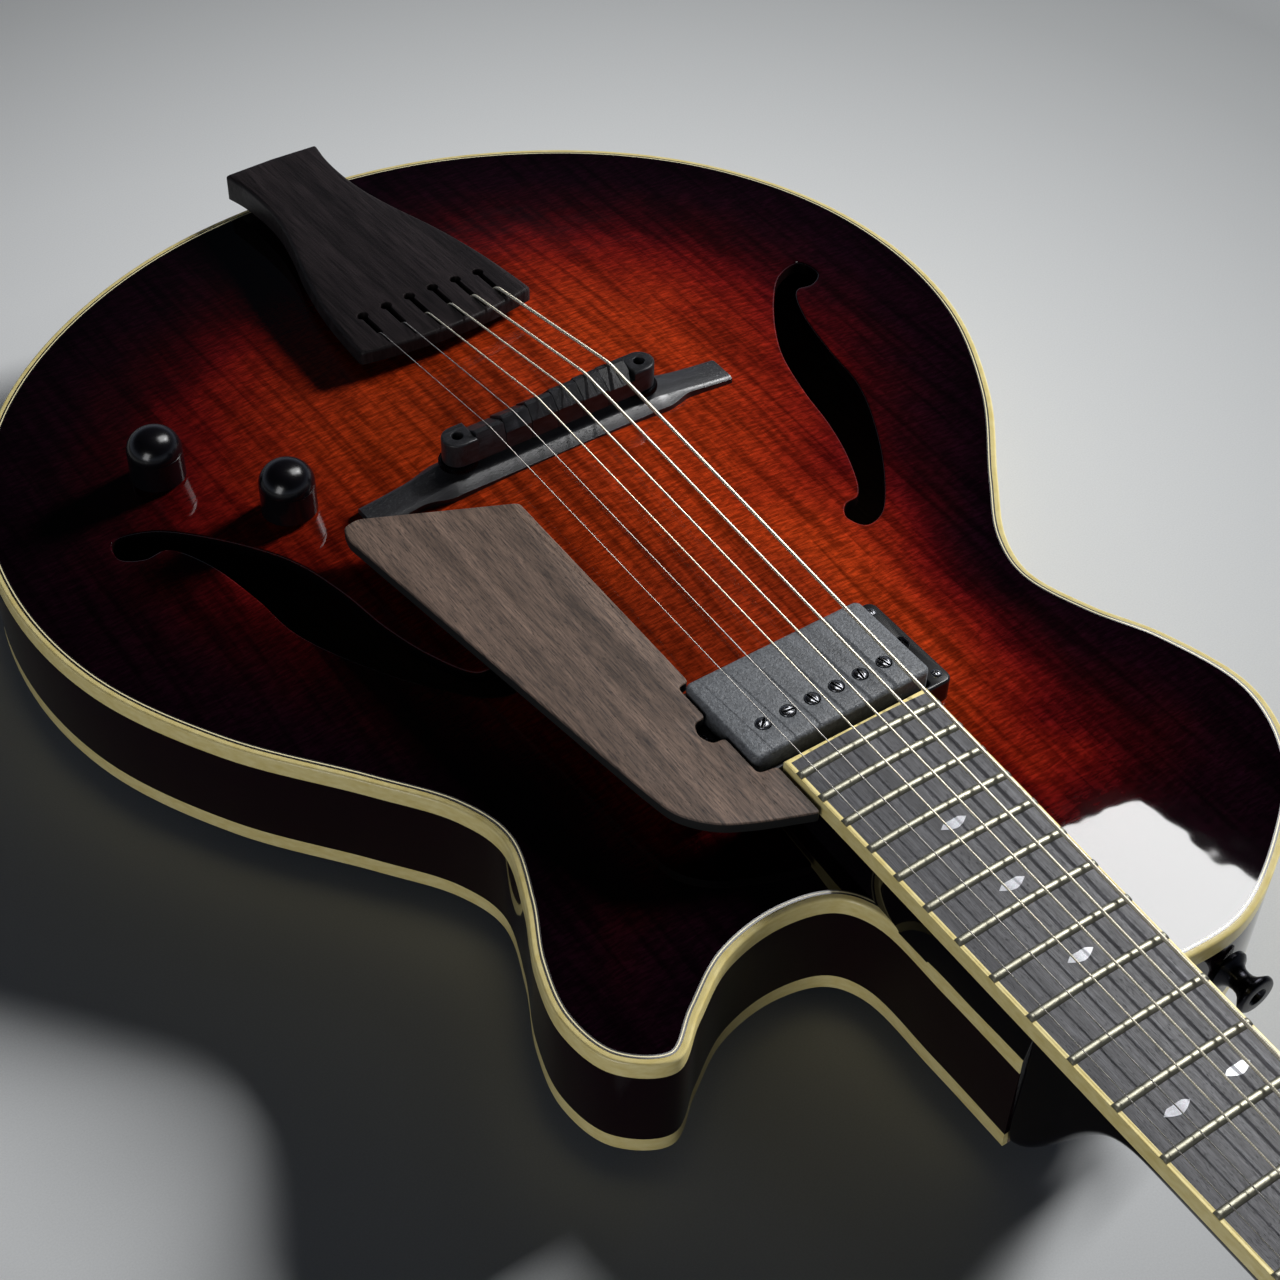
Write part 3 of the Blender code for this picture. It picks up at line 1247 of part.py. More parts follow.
def make_bobbins(finish):
    """Both bobbins on one block, with pole screws that stand in the cover's holes."""
    made = solid("pickup_bobbins",
                 *prism(pickup_plan(COVER_WALL + GAP), COVER_Z - COVER_DEPTH,
                        COVER_Z - COVER_ROOF - GAP), finish, pivot=(0.0, PICKUP_Y, COVER_Z))
    poles = pole_shapes(((POLE_RADIUS, -POLE_REACH), (POLE_RADIUS, POLE_RISE - POLE_CHAMFER),
                         (POLE_RADIUS - POLE_CHAMFER, POLE_RISE)))
    boolean(made, solid("poles", *joined(poles), None), "UNION")


def make_knob(name, place, black):
    """Domed knob, hollow below, with its shaft."""
    dome_low = KNOB_LIFT + KNOB_HEIGHT - KNOB_DOME
    profile = [(SHAFT_RADIUS, -TOP_THICKNESS - KNOB_HOLLOW), (SHAFT_RADIUS, BUSHING_HEIGHT + KNOB_LIFT),
               (KNOB_BORE, BUSHING_HEIGHT + KNOB_LIFT), (KNOB_BORE, KNOB_LIFT), (KNOB_RADIUS, KNOB_LIFT)]
    for step in range(DOME_STEPS):
        angle = math.pi / 2 * step / DOME_STEPS
        profile.append((KNOB_RADIUS * math.cos(angle), dome_low + KNOB_DOME * math.sin(angle)))
    profile.append((KNOB_FLAT, dome_low + KNOB_DOME))
    solid(name, *turned(profile, place, segments=16), black, pivot=place)


def make_pot(name, place, steel):
    """Potentiometer under the top, whose bushing comes up through it round the knob's shaft."""
    bore = SHAFT_RADIUS + RUNNING_GAP
    high = -TOP_THICKNESS - POT_WASHER
    profile = ((bore, high - POT_DEPTH + POT_FLOOR), (bore, BUSHING_HEIGHT),
               (BUSHING_RADIUS, BUSHING_HEIGHT), (BUSHING_RADIUS, high), (POT_RADIUS, high),
               (POT_RADIUS, high - POT_DEPTH))
    solid(name, *turned(profile, place, segments=12), steel)


def make_housing(label, side, along, black):
    """Geared case behind the headstock, with its sleeve, the post's bore and the shaft's bore."""
    x = side * TUNER_X
    low = WOOD_BACK - HOUSING_DEPTH
    sleeve = ((SLEEVE_RADIUS, low + HOUSING_WALL / 2), (SLEEVE_RADIUS, GAP), (WASHER_RADIUS, GAP),
              (WASHER_RADIUS, WASHER_THICKNESS), (SLEEVE_RADIUS, WASHER_THICKNESS + GAP))
    housing = solid("tuner_housing_" + label, *in_head(turned(sleeve, (x, along, 0.0), segments=10)),
                    black)
    low_x, high_x = sorted((side * (TUNER_X + HOUSING_OUTER), side * (TUNER_X - HOUSING_INNER)))
    half = HOUSING_LENGTH / 2
    plan = rounded(rectangle((low_x, along - half), (high_x, along + half)), HOUSING_CORNER, 1)
    boolean(housing, solid("case_" + label, *in_head(prism(plan, low, WOOD_BACK)), None), "UNION")
    post_bore, shaft_bore = POST_RADIUS + RUNNING_GAP, BUTTON_SHAFT + RUNNING_GAP
    bores = [turned(((post_bore, low + HOUSING_WALL), (post_bore, OVERCUT)), (x, along, 0.0), segments=10),
             turned(((shaft_bore, -SHAFT_BORE_DEPTH), (shaft_bore, OVERCUT)), button_place(side, along),
                    (side, 0.0, 0.0), segments=8)]
    boolean(housing, solid("housing_bores_" + label, *in_head(joined(bores)), None), "DIFFERENCE")


def button_place(side, along):
    """Where a button's shaft enters its housing, on the headstock."""
    return side * (TUNER_X + HOUSING_OUTER), along, WOOD_BACK - HOUSING_DEPTH / 2


def make_post(label, side, along, black):
    """String post, with a chamfered tip."""
    low = WOOD_BACK - HOUSING_DEPTH + HOUSING_WALL + RUNNING_GAP
    profile = ((POST_RADIUS, low), (POST_RADIUS, POST_HEIGHT - POST_CHAMFER),
               (POST_RADIUS - POST_CHAMFER, POST_HEIGHT))
    place = (side * TUNER_X, along, 0.0)
    solid("tuner_post_" + label, *in_head(turned(profile, place, segments=10)), black,
          pivot=head_point(*place))


def make_button(label, side, along, black):
    """Oval button on its worm shaft."""
    x, y, z = button_place(side, along)
    sections = []
    for reach, thick, tall in BUTTON_PROFILE:
        sections.append([head_point(x + side * reach, y + tall * a, z + thick * b)
                         for a, b in circle(1.0, 8)])
    solid("tuner_button_" + label, *loft(sections), black, pivot=head_point(x, y, z))


def build():
    remove_startup_objects()
    burst = material("sunburst_lacquer", (0.30, 0.03, 0.012), 0.12, coat=1.0)
    dark = material("dark_lacquer", (0.035, 0.006, 0.005), 0.15, coat=1.0)
    neck_black = material("neck_lacquer", (0.008, 0.007, 0.008), 0.18, coat=1.0)
    cream = material("cream_binding", (0.72, 0.62, 0.36), 0.35)
    maple = material("raw_maple", (0.62, 0.47, 0.30), 0.7)
    ebony = material("ebony", (0.022, 0.021, 0.022), 0.5)
    rosewood = material("dark_rosewood", (0.06, 0.045, 0.038), 0.55)
    bone = material("bone", (0.8, 0.76, 0.66), 0.4)
    black_metal = material("black_metal", (0.012, 0.012, 0.013), 0.25, metallic=0.6)
    black_plastic = material("black_plastic", (0.012, 0.012, 0.012), 0.3)
    textured = material("textured_cover", (0.10, 0.11, 0.11), 0.6)
    steel = material("nickel_steel", (0.62, 0.62, 0.6), 0.3, metallic=1.0)
    bronze = material("wound_string", (0.75, 0.70, 0.58), 0.35, metallic=1.0)
    make_plates(burst, dark)
    make_sides(dark)
    make_bindings(cream)
    make_centre_block(maple)
    make_neck(neck_black)
    make_truss_rod(steel)
    make_truss_rod_cover(ebony)
    make_veneer(ebony)
    make_fretboard(ebony, cream)
    make_nut(bone)
    make_strings(steel, bronze)
    make_tailpiece(rosewood)
    make_tail_cable(black_metal)
    make_end_pin(black_metal, ("bass_side", "treble_side", "centre_block"))
    make_strap_button(black_metal)
    make_bridge_base(ebony)
    make_posts_and_wheels(black_metal, make_saddle(ebony))
    make_pickguard(rosewood)
    make_pickguard_bracket(black_metal)
    make_ring(black_plastic)
    make_cover(textured)
    make_bobbins(black_plastic)
    make_baseplate(steel)
    make_height_screws(black_metal)
    for name, x, y in KNOBS:
        make_knob(name + "_knob", (x, y, top_surface(x, y)), black_plastic)
        make_pot(name + "_pot", (x, y, top_surface(x, y)), steel)
    for number, (side, along) in enumerate(tuner_places(), start=1):
        make_housing(str(number), side, along, black_metal)
        make_post(str(number), side, along, black_metal)
        make_button(str(number), side, along, black_metal)


build()
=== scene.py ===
# %% [markdown]
# # A semi-hollow electric guitar, finished
# The guitar already exists as sixty plain solids at their real size, each on the body that it moves
# with. This script dresses them. It builds the arched plates, the neck, the strings and the fittings
# again as fine meshes in the same place, and gives every surface a material made of nodes.
# The solids are loaded first, as a frame that never moves: every new piece is set against it.

# %% Load the frame
import json
import math

import bmesh
import bpy
import numpy as np
from mathutils import Matrix, Vector
from mathutils.geometry import delaunay_2d_cdt

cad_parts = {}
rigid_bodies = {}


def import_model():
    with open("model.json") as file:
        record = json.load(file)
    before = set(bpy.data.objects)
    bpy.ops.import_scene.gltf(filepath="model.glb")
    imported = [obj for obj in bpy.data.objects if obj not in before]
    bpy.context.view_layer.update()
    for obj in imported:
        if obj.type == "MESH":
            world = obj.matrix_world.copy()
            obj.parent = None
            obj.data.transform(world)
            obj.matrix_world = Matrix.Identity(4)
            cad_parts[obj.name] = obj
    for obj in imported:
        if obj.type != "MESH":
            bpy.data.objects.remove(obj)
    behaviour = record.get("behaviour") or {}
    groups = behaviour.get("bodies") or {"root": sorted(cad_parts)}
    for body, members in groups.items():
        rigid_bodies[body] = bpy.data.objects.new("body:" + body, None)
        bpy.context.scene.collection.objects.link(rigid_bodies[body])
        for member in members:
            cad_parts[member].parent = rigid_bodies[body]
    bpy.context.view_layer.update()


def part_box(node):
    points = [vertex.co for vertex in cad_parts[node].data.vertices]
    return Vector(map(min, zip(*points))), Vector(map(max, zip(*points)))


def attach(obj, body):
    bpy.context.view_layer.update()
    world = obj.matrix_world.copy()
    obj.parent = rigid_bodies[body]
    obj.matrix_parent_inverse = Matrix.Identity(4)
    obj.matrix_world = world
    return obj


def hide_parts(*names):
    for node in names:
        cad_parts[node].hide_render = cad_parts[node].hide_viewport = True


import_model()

# %% [markdown]
# ## Millimetres
# A guitar maker thinks in millimetres and Blender in metres. All sizes below are in millimetres, and
# one factor turns them into metres when a mesh is made. `corners` reads a solid's place from the
# frame, so that a dressed piece sits where its solid is.

# %% Units and the main heights
MM = 0.001


def corners(node):
    """Lowest and highest corner of a solid, in millimetres."""
    low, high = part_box(node)
    return low / MM, high / MM


RIM_TOP = corners("top_binding")[1].z
RIM_BOTTOM = corners("back_binding")[0].z
print("the rim runs from %.1f to %.1f mm above the floor" % (RIM_BOTTOM, RIM_TOP))

# %% [markdown]
# ## The camera
# The photograph looks down over the neck towards the tail. Its view was found by matching known
# points of the guitar, such as frets and screws, so the camera has a measured place, three measured
# directions and a focal length in pixels. Blender's lens length follows from the sensor's width.

# %% The camera
IMAGE_WIDTH = 1280
FOCAL_PIXELS = 2260.07
SENSOR_WIDTH = 36.0
CAMERA_PLACE = Vector((334.44, 484.79, 588.97))
CAMERA_RIGHT = Vector((-0.82155, 0.56967, 0.02316))
CAMERA_DOWN = Vector((0.39152, 0.59324, -0.70340))

camera_data = bpy.data.cameras.new("camera")
camera_data.sensor_width = SENSOR_WIDTH
camera_data.lens = FOCAL_PIXELS * SENSOR_WIDTH / IMAGE_WIDTH
camera = bpy.data.objects.new("camera", camera_data)
forward = CAMERA_RIGHT.cross(CAMERA_DOWN)
turn = Matrix((CAMERA_RIGHT, -CAMERA_DOWN, -forward)).transposed()
camera.matrix_world = Matrix.LocRotScale(CAMERA_PLACE * MM, turn.to_quaternion(), None)
bpy.context.scene.collection.objects.link(camera)
bpy.context.scene.camera = camera
print("lens: %.1f mm" % camera_data.lens)

# %% [markdown]
# ## Materials are small node trees
# Every finish starts from a Principled shader. `finish` makes one with the values that are the same
# all over the surface, `add` puts one more node in front of it, and `feed` sets or links the inputs
# of a node. Colours are written as the hex values that a painter would pick on the screen, and
# `linear` turns them into the linear light that the renderer works with.

# %% Colours, nodes and finishes
def linear(code):
    """A hex colour as linear red, green, blue and alpha."""
    parts = [int(code[k:k + 2], 16) / 255 for k in (1, 3, 5)]
    return [c / 12.92 if c <= 0.04045 else ((c + 0.055) / 1.055) ** 2.4 for c in parts] + [1.0]


def feed(node, inputs):
    """Sets inputs; each is a value, a socket to link, or a node whose first socket is linked."""
    for key, value in inputs.items():
        source = value.outputs[0] if isinstance(value, bpy.types.Node) else value
        if isinstance(source, bpy.types.NodeSocket):
            node.id_data.links.new(source, node.inputs[key])
        else:
            node.inputs[key].default_value = source


def add(tree, kind, inputs=None, stops=(), **settings):
    """A new node with its settings, its inputs and the colour stops of a ramp."""
    made = tree.nodes.new(kind)
    for key, value in settings.items():
        setattr(made, key, value)
    feed(made, inputs or {})
    for number, (place, code) in enumerate(stops):
        elements = made.color_ramp.elements
        element = elements[number] if number < 2 else elements.new(place)
        element.position = place
        element.color = linear(code)
    return made


def finish(name, colour, roughness, **others):
    """A material with one Principled shader; others are its sockets, written with underscores."""
    made = bpy.data.materials.new(name)
    made.use_nodes = True
    shader = made.node_tree.nodes["Principled BSDF"]
    feed(shader, {"Base Color": linear(colour), "Roughness": roughness})
    feed(shader, {key.replace("_", " "): value for key, value in others.items()})
    made.diffuse_color = linear(colour)
    return made, made.node_tree, shader


print("middle grey on the screen is %.2f in linear light" % linear("#808080")[0])

# %% [markdown]
# ## Patterns in real millimetres
# A noise texture has five cells in each unit of its coordinates, so `stretched` allows for that, and
# every pattern below is written as the millimetres that it measures on the guitar. Real grain and
# polish are often finer than a pixel; such a pattern is drawn a little coarser, as a fifth of a
# millimetre or so. Two habits of real surfaces come back in most finishes: `mottled` lets the colour
# wander, and `uneven_gloss` lets the shine and the relief wander together.

# %% Patterns that many finishes share
CELLS_PER_UNIT = 5.0


def stretched(tree, size):
    """The piece's own coordinates, in which a noise's cells have this size in millimetres."""
    place = add(tree, "ShaderNodeTexCoord")
    scale = [1 / (s * MM * CELLS_PER_UNIT) for s in size]
    return add(tree, "ShaderNodeMapping", {"Vector": place.outputs["Object"], "Scale": scale})


def mottled(tree, shader, size, stops, detail=4.0, distortion=0.0):
    """Colours a surface by a noise through a ramp, and returns the noise."""
    cells = add(tree, "ShaderNodeTexNoise", {"Vector": stretched(tree, size), "Detail": detail,
            "Distortion": distortion})
    colour = add(tree, "ShaderNodeValToRGB", {"Fac": cells}, stops=stops)
    feed(shader, {"Base Color": colour})
    return cells


def uneven_gloss(made, tree, shader, roughness, size, spread, depth):
    """Lets a fine noise change the roughness by the spread and raise a relief of this depth."""
    marks = add(tree, "ShaderNodeTexNoise", {"Vector": stretched(tree, size), "Detail": 4.0})
    shine = add(tree, "ShaderNodeMapRange", {"Value": marks, "To Min": roughness + spread[0],
            "To Max": roughness + spread[1]})
    bump = add(tree, "ShaderNodeBump", {"Height": marks, "Distance": depth * MM})
    feed(shader, {"Roughness": shine, "Normal": bump})
    return made


print("one unit of noise coordinates holds", int(CELLS_PER_UNIT), "cells")

# %% [markdown]
# ## The floor
# The guitar lies on a pale floor. Its colour is painted lighter near a point beside the body and
# darker with the distance from it: a painted pool of light. A fine noise keeps the matt paint from
# looking flat.

# %% Painted floor
FLOOR_RADIUS = 6000.0
FLOOR_SEGMENTS = 96
PAINTED_LIGHT_MIDDLE = (80.0, -50.0, 0.0)
PAINTED_LIGHT_REACH = 900.0
PAINT_GRAIN = (0.6, 0.6, 0.6)

floor_colour_with_painted_light, tree, shader = finish("matt_floor_paint", "#c5c7c8", 0.75)
place = add(tree, "ShaderNodeTexCoord")
from_painted_light = add(tree, "ShaderNodeVectorMath",
                {0: place.outputs["Object"], 1: [c * MM for c in PAINTED_LIGHT_MIDDLE]}, operation="DISTANCE")
share = add(tree, "ShaderNodeMath", {0: from_painted_light.outputs["Value"], 1: PAINTED_LIGHT_REACH * MM},
            operation="DIVIDE")
# Painted pool of light: the floor's colour darkens with the distance from its middle.
tone = add(tree, "ShaderNodeValToRGB", {"Fac": share},
           stops=((0.27, "#e4e6e7"), (0.34, "#dadcdd"), (0.4, "#cdcfd0"), (0.46, "#bfc1c2"),
                  (0.52, "#b0b2b3"), (0.6, "#9c9e9f"), (0.68, "#8a8c8d")))
grain = add(tree, "ShaderNodeTexNoise", {"Vector": stretched(tree, PAINT_GRAIN), "Detail": 4.0})
speck = add(tree, "ShaderNodeMapRange", {"Value": grain, "From Min": 0.3, "From Max": 0.7,
        "To Min": 0.96, "To Max": 1.04})
toned = add(tree, "ShaderNodeVectorMath", {0: tone, "Scale": speck}, operation="SCALE")
feed(shader, {"Base Color": toned})
floor_mesh = bpy.data.meshes.new("floor")
angles = [2 * math.pi * k / FLOOR_SEGMENTS for k in range(FLOOR_SEGMENTS)]
reach = FLOOR_RADIUS * MM
floor_mesh.from_pydata([(reach * math.cos(a), reach * math.sin(a), 0.0) for a in angles], [],
                       [list(range(FLOOR_SEGMENTS))])
floor_mesh.materials.append(floor_colour_with_painted_light)
floor = bpy.data.objects.new("floor", floor_mesh)
bpy.context.scene.collection.objects.link(floor)
print("floor: %.0f m wide" % (2 * FLOOR_RADIUS * MM))

# %% [markdown]
# ## The lamps
# The key light is a soft box low on the bass side: its shadow of the body falls a hand's width past
# the treble side, and the deep lacquer keeps its colour. Gloss lacquer also mirrors whatever is
# above it, so a small box high over the bass shoulder gives the white patch beside the neck; the key
# itself is left out of the reflections, or the black edge of the burst would turn grey. A large low
# box on the treble side, towards the neck, lights the upright edges, the cream binding above all.

# %% Three soft boxes
def soft_box(name, target, direction, distance, size, power):
    """A rectangular lamp that looks at target from a direction; all in millimetres and watts."""
    lamp = bpy.data.lights.new(name, "AREA")
    lamp.shape = "RECTANGLE"
    lamp.size, lamp.size_y = size[0] * MM, size[1] * MM
    lamp.energy = power
    made = bpy.data.objects.new(name, lamp)
    away = Vector(direction).normalized()
    side = away.cross(Vector((0.0, 1.0, 0.0))).normalized()
    made.matrix_world = Matrix.LocRotScale(
        (Vector(target) + away * distance) * MM,
        Matrix((-side, away.cross(-side), away)).transposed().to_quaternion(), None)
    bpy.context.scene.collection.objects.link(made)
    return made


key = soft_box("key_box", target=(0.0, 60.0, RIM_TOP), direction=(-2.0, -0.12, 1.0), distance=2600.0,
               size=(560.0, 560.0), power=104.0)
key.visible_glossy = False
mirror = soft_box("mirror_box", target=(-60.0, 215.0, RIM_TOP), direction=(-0.545, -0.305, 0.78),
                  distance=1350.0, size=(150.0, 150.0), power=1.15)
mirror.visible_diffuse = False
fill = soft_box("fill_box", target=(60.0, 60.0, RIM_TOP), direction=(0.8, 0.45, 0.3), distance=2400.0,
                size=(1400.0, 900.0), power=17.0)

# %% [markdown]
# ## The room
# What the lacquer mirrors away from the lamps is the room: pale and cool at the height of the floor
# and dark overhead, so that only edges and steep flanks catch it. The ramp follows the height of the
# ray, and it is a little weaker in reflections and shadows than where the camera sees it.

# %% Dim room
room = bpy.data.worlds.new("room")
room.use_nodes = True
bpy.context.scene.world = room
tree = room.node_tree
ray = add(tree, "ShaderNodeTexCoord")
parts = add(tree, "ShaderNodeSeparateXYZ", {"Vector": ray.outputs["Generated"]})
walls = add(tree, "ShaderNodeValToRGB", {"Fac": parts.outputs["Z"]},
            stops=((0.0, "#acb4c3"), (0.16, "#8e96a6"), (0.4, "#22262d"), (0.7, "#0e0f11")))
seen = add(tree, "ShaderNodeLightPath")
level_of_room = add(tree, "ShaderNodeMapRange",
                    {"Value": seen.outputs["Is Camera Ray"], "To Min": 0.75, "To Max": 1.0})
feed(tree.nodes["Background"], {"Color": walls, "Strength": level_of_room})
bpy.context.scene.view_settings.view_transform = "Standard"
print("room:", len(tree.nodes), "nodes")

# %% [markdown]
# ## The body's outline
# A luthier draws the outline with a few marked points and a bent spline. The same marks are kept
# here, and a Catmull-Rom curve stands for the spline: it passes through every mark, so a mark can be
# moved without upsetting the rest. Both bouts share the lower half, and the cutaway makes the
# treble side different above the waist.

# %% Outline marks, in millimetres from the middle of the back
NECK_CORNER = (28.5, 254.5)
WAIST = (107.4, 105.0)
LOWER_BOUT = ((112.5, 87.0), (130.0, 62.5), (160.5, 23.0), (183.0, -23.0), (189.6, -70.0),
              (181.5, -117.0), (156.5, -162.5), (117.0, -198.5), (62.0, -224.5))
TAIL_Y = -233.0
BASS_SHOULDER = ((60.0, 254.2), (92.0, 239.0), (121.0, 214.5), (132.6, 185.5), (125.5, 152.0),
                 (114.0, 128.5))
CUTAWAY = ((114.5, 128.5), (124.5, 150.0), (129.2, 171.0), (124.5, 190.0), (109.0, 200.0),
           (94.0, 190.0), (76.0, 179.2), (54.0, 175.6), (36.5, 180.2), (29.6, 191.0), (28.5, 222.0))
OUTLINE_STEPS = 10


def smooth_path(points, steps, closed=False):
    """Centripetal Catmull-Rom curve through points of any dimension."""
    known = [np.array(p, float) for p in points]
    if closed:
        known = [known[-1]] + known + known[:2]
    else:
        known = [2 * known[0] - known[1]] + known + [2 * known[-1] - known[-2]]
    curve = []
    for a, b, c, d in zip(known, known[1:], known[2:], known[3:]):
        t1 = np.linalg.norm(b - a) ** 0.5
        t2 = t1 + np.linalg.norm(c - b) ** 0.5
        t3 = t2 + np.linalg.norm(d - c) ** 0.5
        for step in range(steps):
            t = t1 + (t2 - t1) * step / steps
            ab = (t1 - t) / t1 * a + t / t1 * b
            bc = (t2 - t) / (t2 - t1) * b + (t - t1) / (t2 - t1) * c
            cd = (t3 - t) / (t3 - t2) * c + (t - t2) / (t3 - t2) * d
            abc = (t2 - t) / t2 * ab + t / t2 * bc
            bcd = (t3 - t) / (t3 - t1) * bc + (t - t1) / (t3 - t1) * cd
            curve.append((t2 - t) / (t2 - t1) * abc + (t - t1) / (t2 - t1) * bcd)
    if not closed:
        curve.append(known[-2])
    return np.array(curve)


bass_marks = [(-x, y) for x, y in (NECK_CORNER,) + BASS_SHOULDER + (WAIST,) + LOWER_BOUT]
treble_marks = list(LOWER_BOUT[::-1]) + [WAIST] + list(CUTAWAY) + [NECK_CORNER]
RIM = smooth_path(bass_marks + [(0.0, TAIL_Y)] + treble_marks, OUTLINE_STEPS)
HALF_WIDTH = corners("top_binding")[1].x
RIM[:, 0] = np.clip(RIM[:, 0], -HALF_WIDTH, HALF_WIDTH)
print("outline:", len(RIM), "points, width %.1f mm" % np.ptp(RIM[:, 0]))

# %% [markdown]
# ## The arch
# The arch of a carved top falls from a broad middle to a nearly flat edge. A skin that is stretched
# over the outline and blown up gives just such a form: its height is found by relaxing a grid of
# points, each to the mean of its neighbours plus a little lift. The square of that height flattens
# the edge. A cubic blend between the grid points keeps the gloss free of ripples.

# %% Points inside a line, and the blown-up skin
def inside(points, loop):
    """Which plan points lie within a closed loop."""
    found = np.zeros(len(points), bool)
    x, y = points[:, 0], points[:, 1]
    for (ax, ay), (bx, by) in zip(loop, np.roll(loop, -1, axis=0)):
        if ay != by:
            found ^= ((ay > y) != (by > y)) & (x < (bx - ax) * (y - ay) / (by - ay) + ax)
    return found


class Arch:
    """Height of a skin blown up over the outline: 1 at its peak and 0 at the rim."""

    STEP = 6.0
    ROUNDS = 1500

    def __init__(self, outline):
        self.low = outline.min(axis=0) - 3 * self.STEP
        size = ((outline.max(axis=0) - self.low) / self.STEP).astype(int) + 5
        xs = self.low[0] + self.STEP * np.arange(size[0])
        ys = self.low[1] + self.STEP * np.arange(size[1])
        grid = np.stack(np.meshgrid(xs, ys, indexing="ij"), axis=-1)
        within = inside(grid.reshape(-1, 2), outline).reshape(grid.shape[:2])
        skin = within * 1.0
        for _ in range(self.ROUNDS):
            middle = skin[:-2, 1:-1] + skin[2:, 1:-1] + skin[1:-1, :-2] + skin[1:-1, 2:]
            skin[1:-1, 1:-1] = within[1:-1, 1:-1] * (middle / 4 + 1.0)
        self.skin = skin / skin.max()

    def __call__(self, x, y):
        """Cubic B-spline blend of the four by four grid points round each place."""
        place = (np.stack([x, y], axis=-1) - self.low) / self.STEP
        cell = np.clip(np.floor(place).astype(int), 1, np.array(self.skin.shape) - 3)
        share = np.clip(place - cell, 0.0, 1.0)
        cubes = [(1 - share) ** 3, 3 * share ** 3 - 6 * share ** 2 + 4,
                 -3 * share ** 3 + 3 * share ** 2 + 3 * share + 1, share ** 3]
        height = 0.0
        for i in range(4):
            for j in range(4):
                known = self.skin[cell[..., 0] + i - 1, cell[..., 1] + j - 1]
                height = height + known * cubes[i][..., 0] * cubes[j][..., 1] / 36
        return height ** 2


ARCH = Arch(RIM)
print("skin:", " by ".join(str(n) for n in ARCH.skin.shape), "points")

# %% [markdown]
# The top takes its full height from that skin. The back is the same skin turned over, but its peak
# is cut level at the height of the floor, which gives the guitar a patch to lie on.

# %% Arch of the top and of the back
TOP_ARCH = 14.0
BACK_RISE = RIM_BOTTOM
FLAT_SHARE = 0.88


def top_surface(x, y):
    return RIM_TOP + TOP_ARCH * ARCH(x, y)


def back_surface(x, y):
    return RIM_BOTTOM - BACK_RISE * np.minimum(ARCH(x, y) / FLAT_SHARE, 1.0)


bridge_low, bridge_high = corners("bridge_base")
under_bridge = float(top_surface(0.0, (bridge_low.y + bridge_high.y) / 2))
print("top under the bridge: %.1f mm" % under_bridge)

# %% [markdown]
# ## Tools for plan lines
# Seen from above, every part is a line: a circle, or an outline and its copies moved inwards.

# %% Circles, distances and moved lines
MITRE_LIMIT = 0.5


def circle(centre, radius, segments=24):
    """A round plan line, counter-clockwise."""
    return np.array([(centre[0] + radius * math.cos(a), centre[1] + radius * math.sin(a))
                     for a in np.linspace(0.0, 2 * math.pi, segments, endpoint=False)])


def distance_to(points, line):
    """Shortest distance from each plan point to a closed line."""
    nearest = np.full(len(points), np.inf)
    for a, b in zip(line, np.roll(line, -1, axis=0)):
        along = b - a
        share = np.clip((points - a) @ along / max(along @ along, 1e-9), 0.0, 1.0)
        nearest = np.minimum(nearest, np.linalg.norm(points - a - share[:, None] * along, axis=1))
    return nearest


def offset(line, distance, closed=True):
    """A line of plan points moved to its left, with mitred corners."""
    points = np.array(line, float)
    after = np.roll(points, -1, axis=0) - points
    before = points - np.roll(points, 1, axis=0)
    if not closed:
        after[-1] = before[-1]
        before[0] = after[0]
    left = []
    for along in (before, after):
        along = along / np.maximum(np.linalg.norm(along, axis=1, keepdims=True), 1e-9)
        left.append(np.stack([-along[:, 1], along[:, 0]], axis=1))
    middle = left[0] + left[1]
    middle /= np.linalg.norm(middle, axis=1, keepdims=True)
    reach = np.clip(np.sum(middle * left[0], axis=1), MITRE_LIMIT, 1.0)
    return points + middle * (distance / reach)[:, None]


print("1 mm inside the rim the guitar is %.1f mm wide" % np.ptp(offset(RIM, 1.0, closed=False)[:, 0]))

# %% [markdown]
# ## Plates with holes
# A plate is a flat drawing with thickness. Blender's constrained triangulation fills the drawing:
# it is given the outline, the edges of the holes and a grid of points between them, and each point
# is then lifted onto the arch. The edge of a hole is not sharp on a real guitar, so each edge gets a
# few rings that fall away in a quarter circle, and the lacquer catches the light there.

# %% Plates
EDGE_STEPS = 4
GRID_CLEARANCE = 0.45


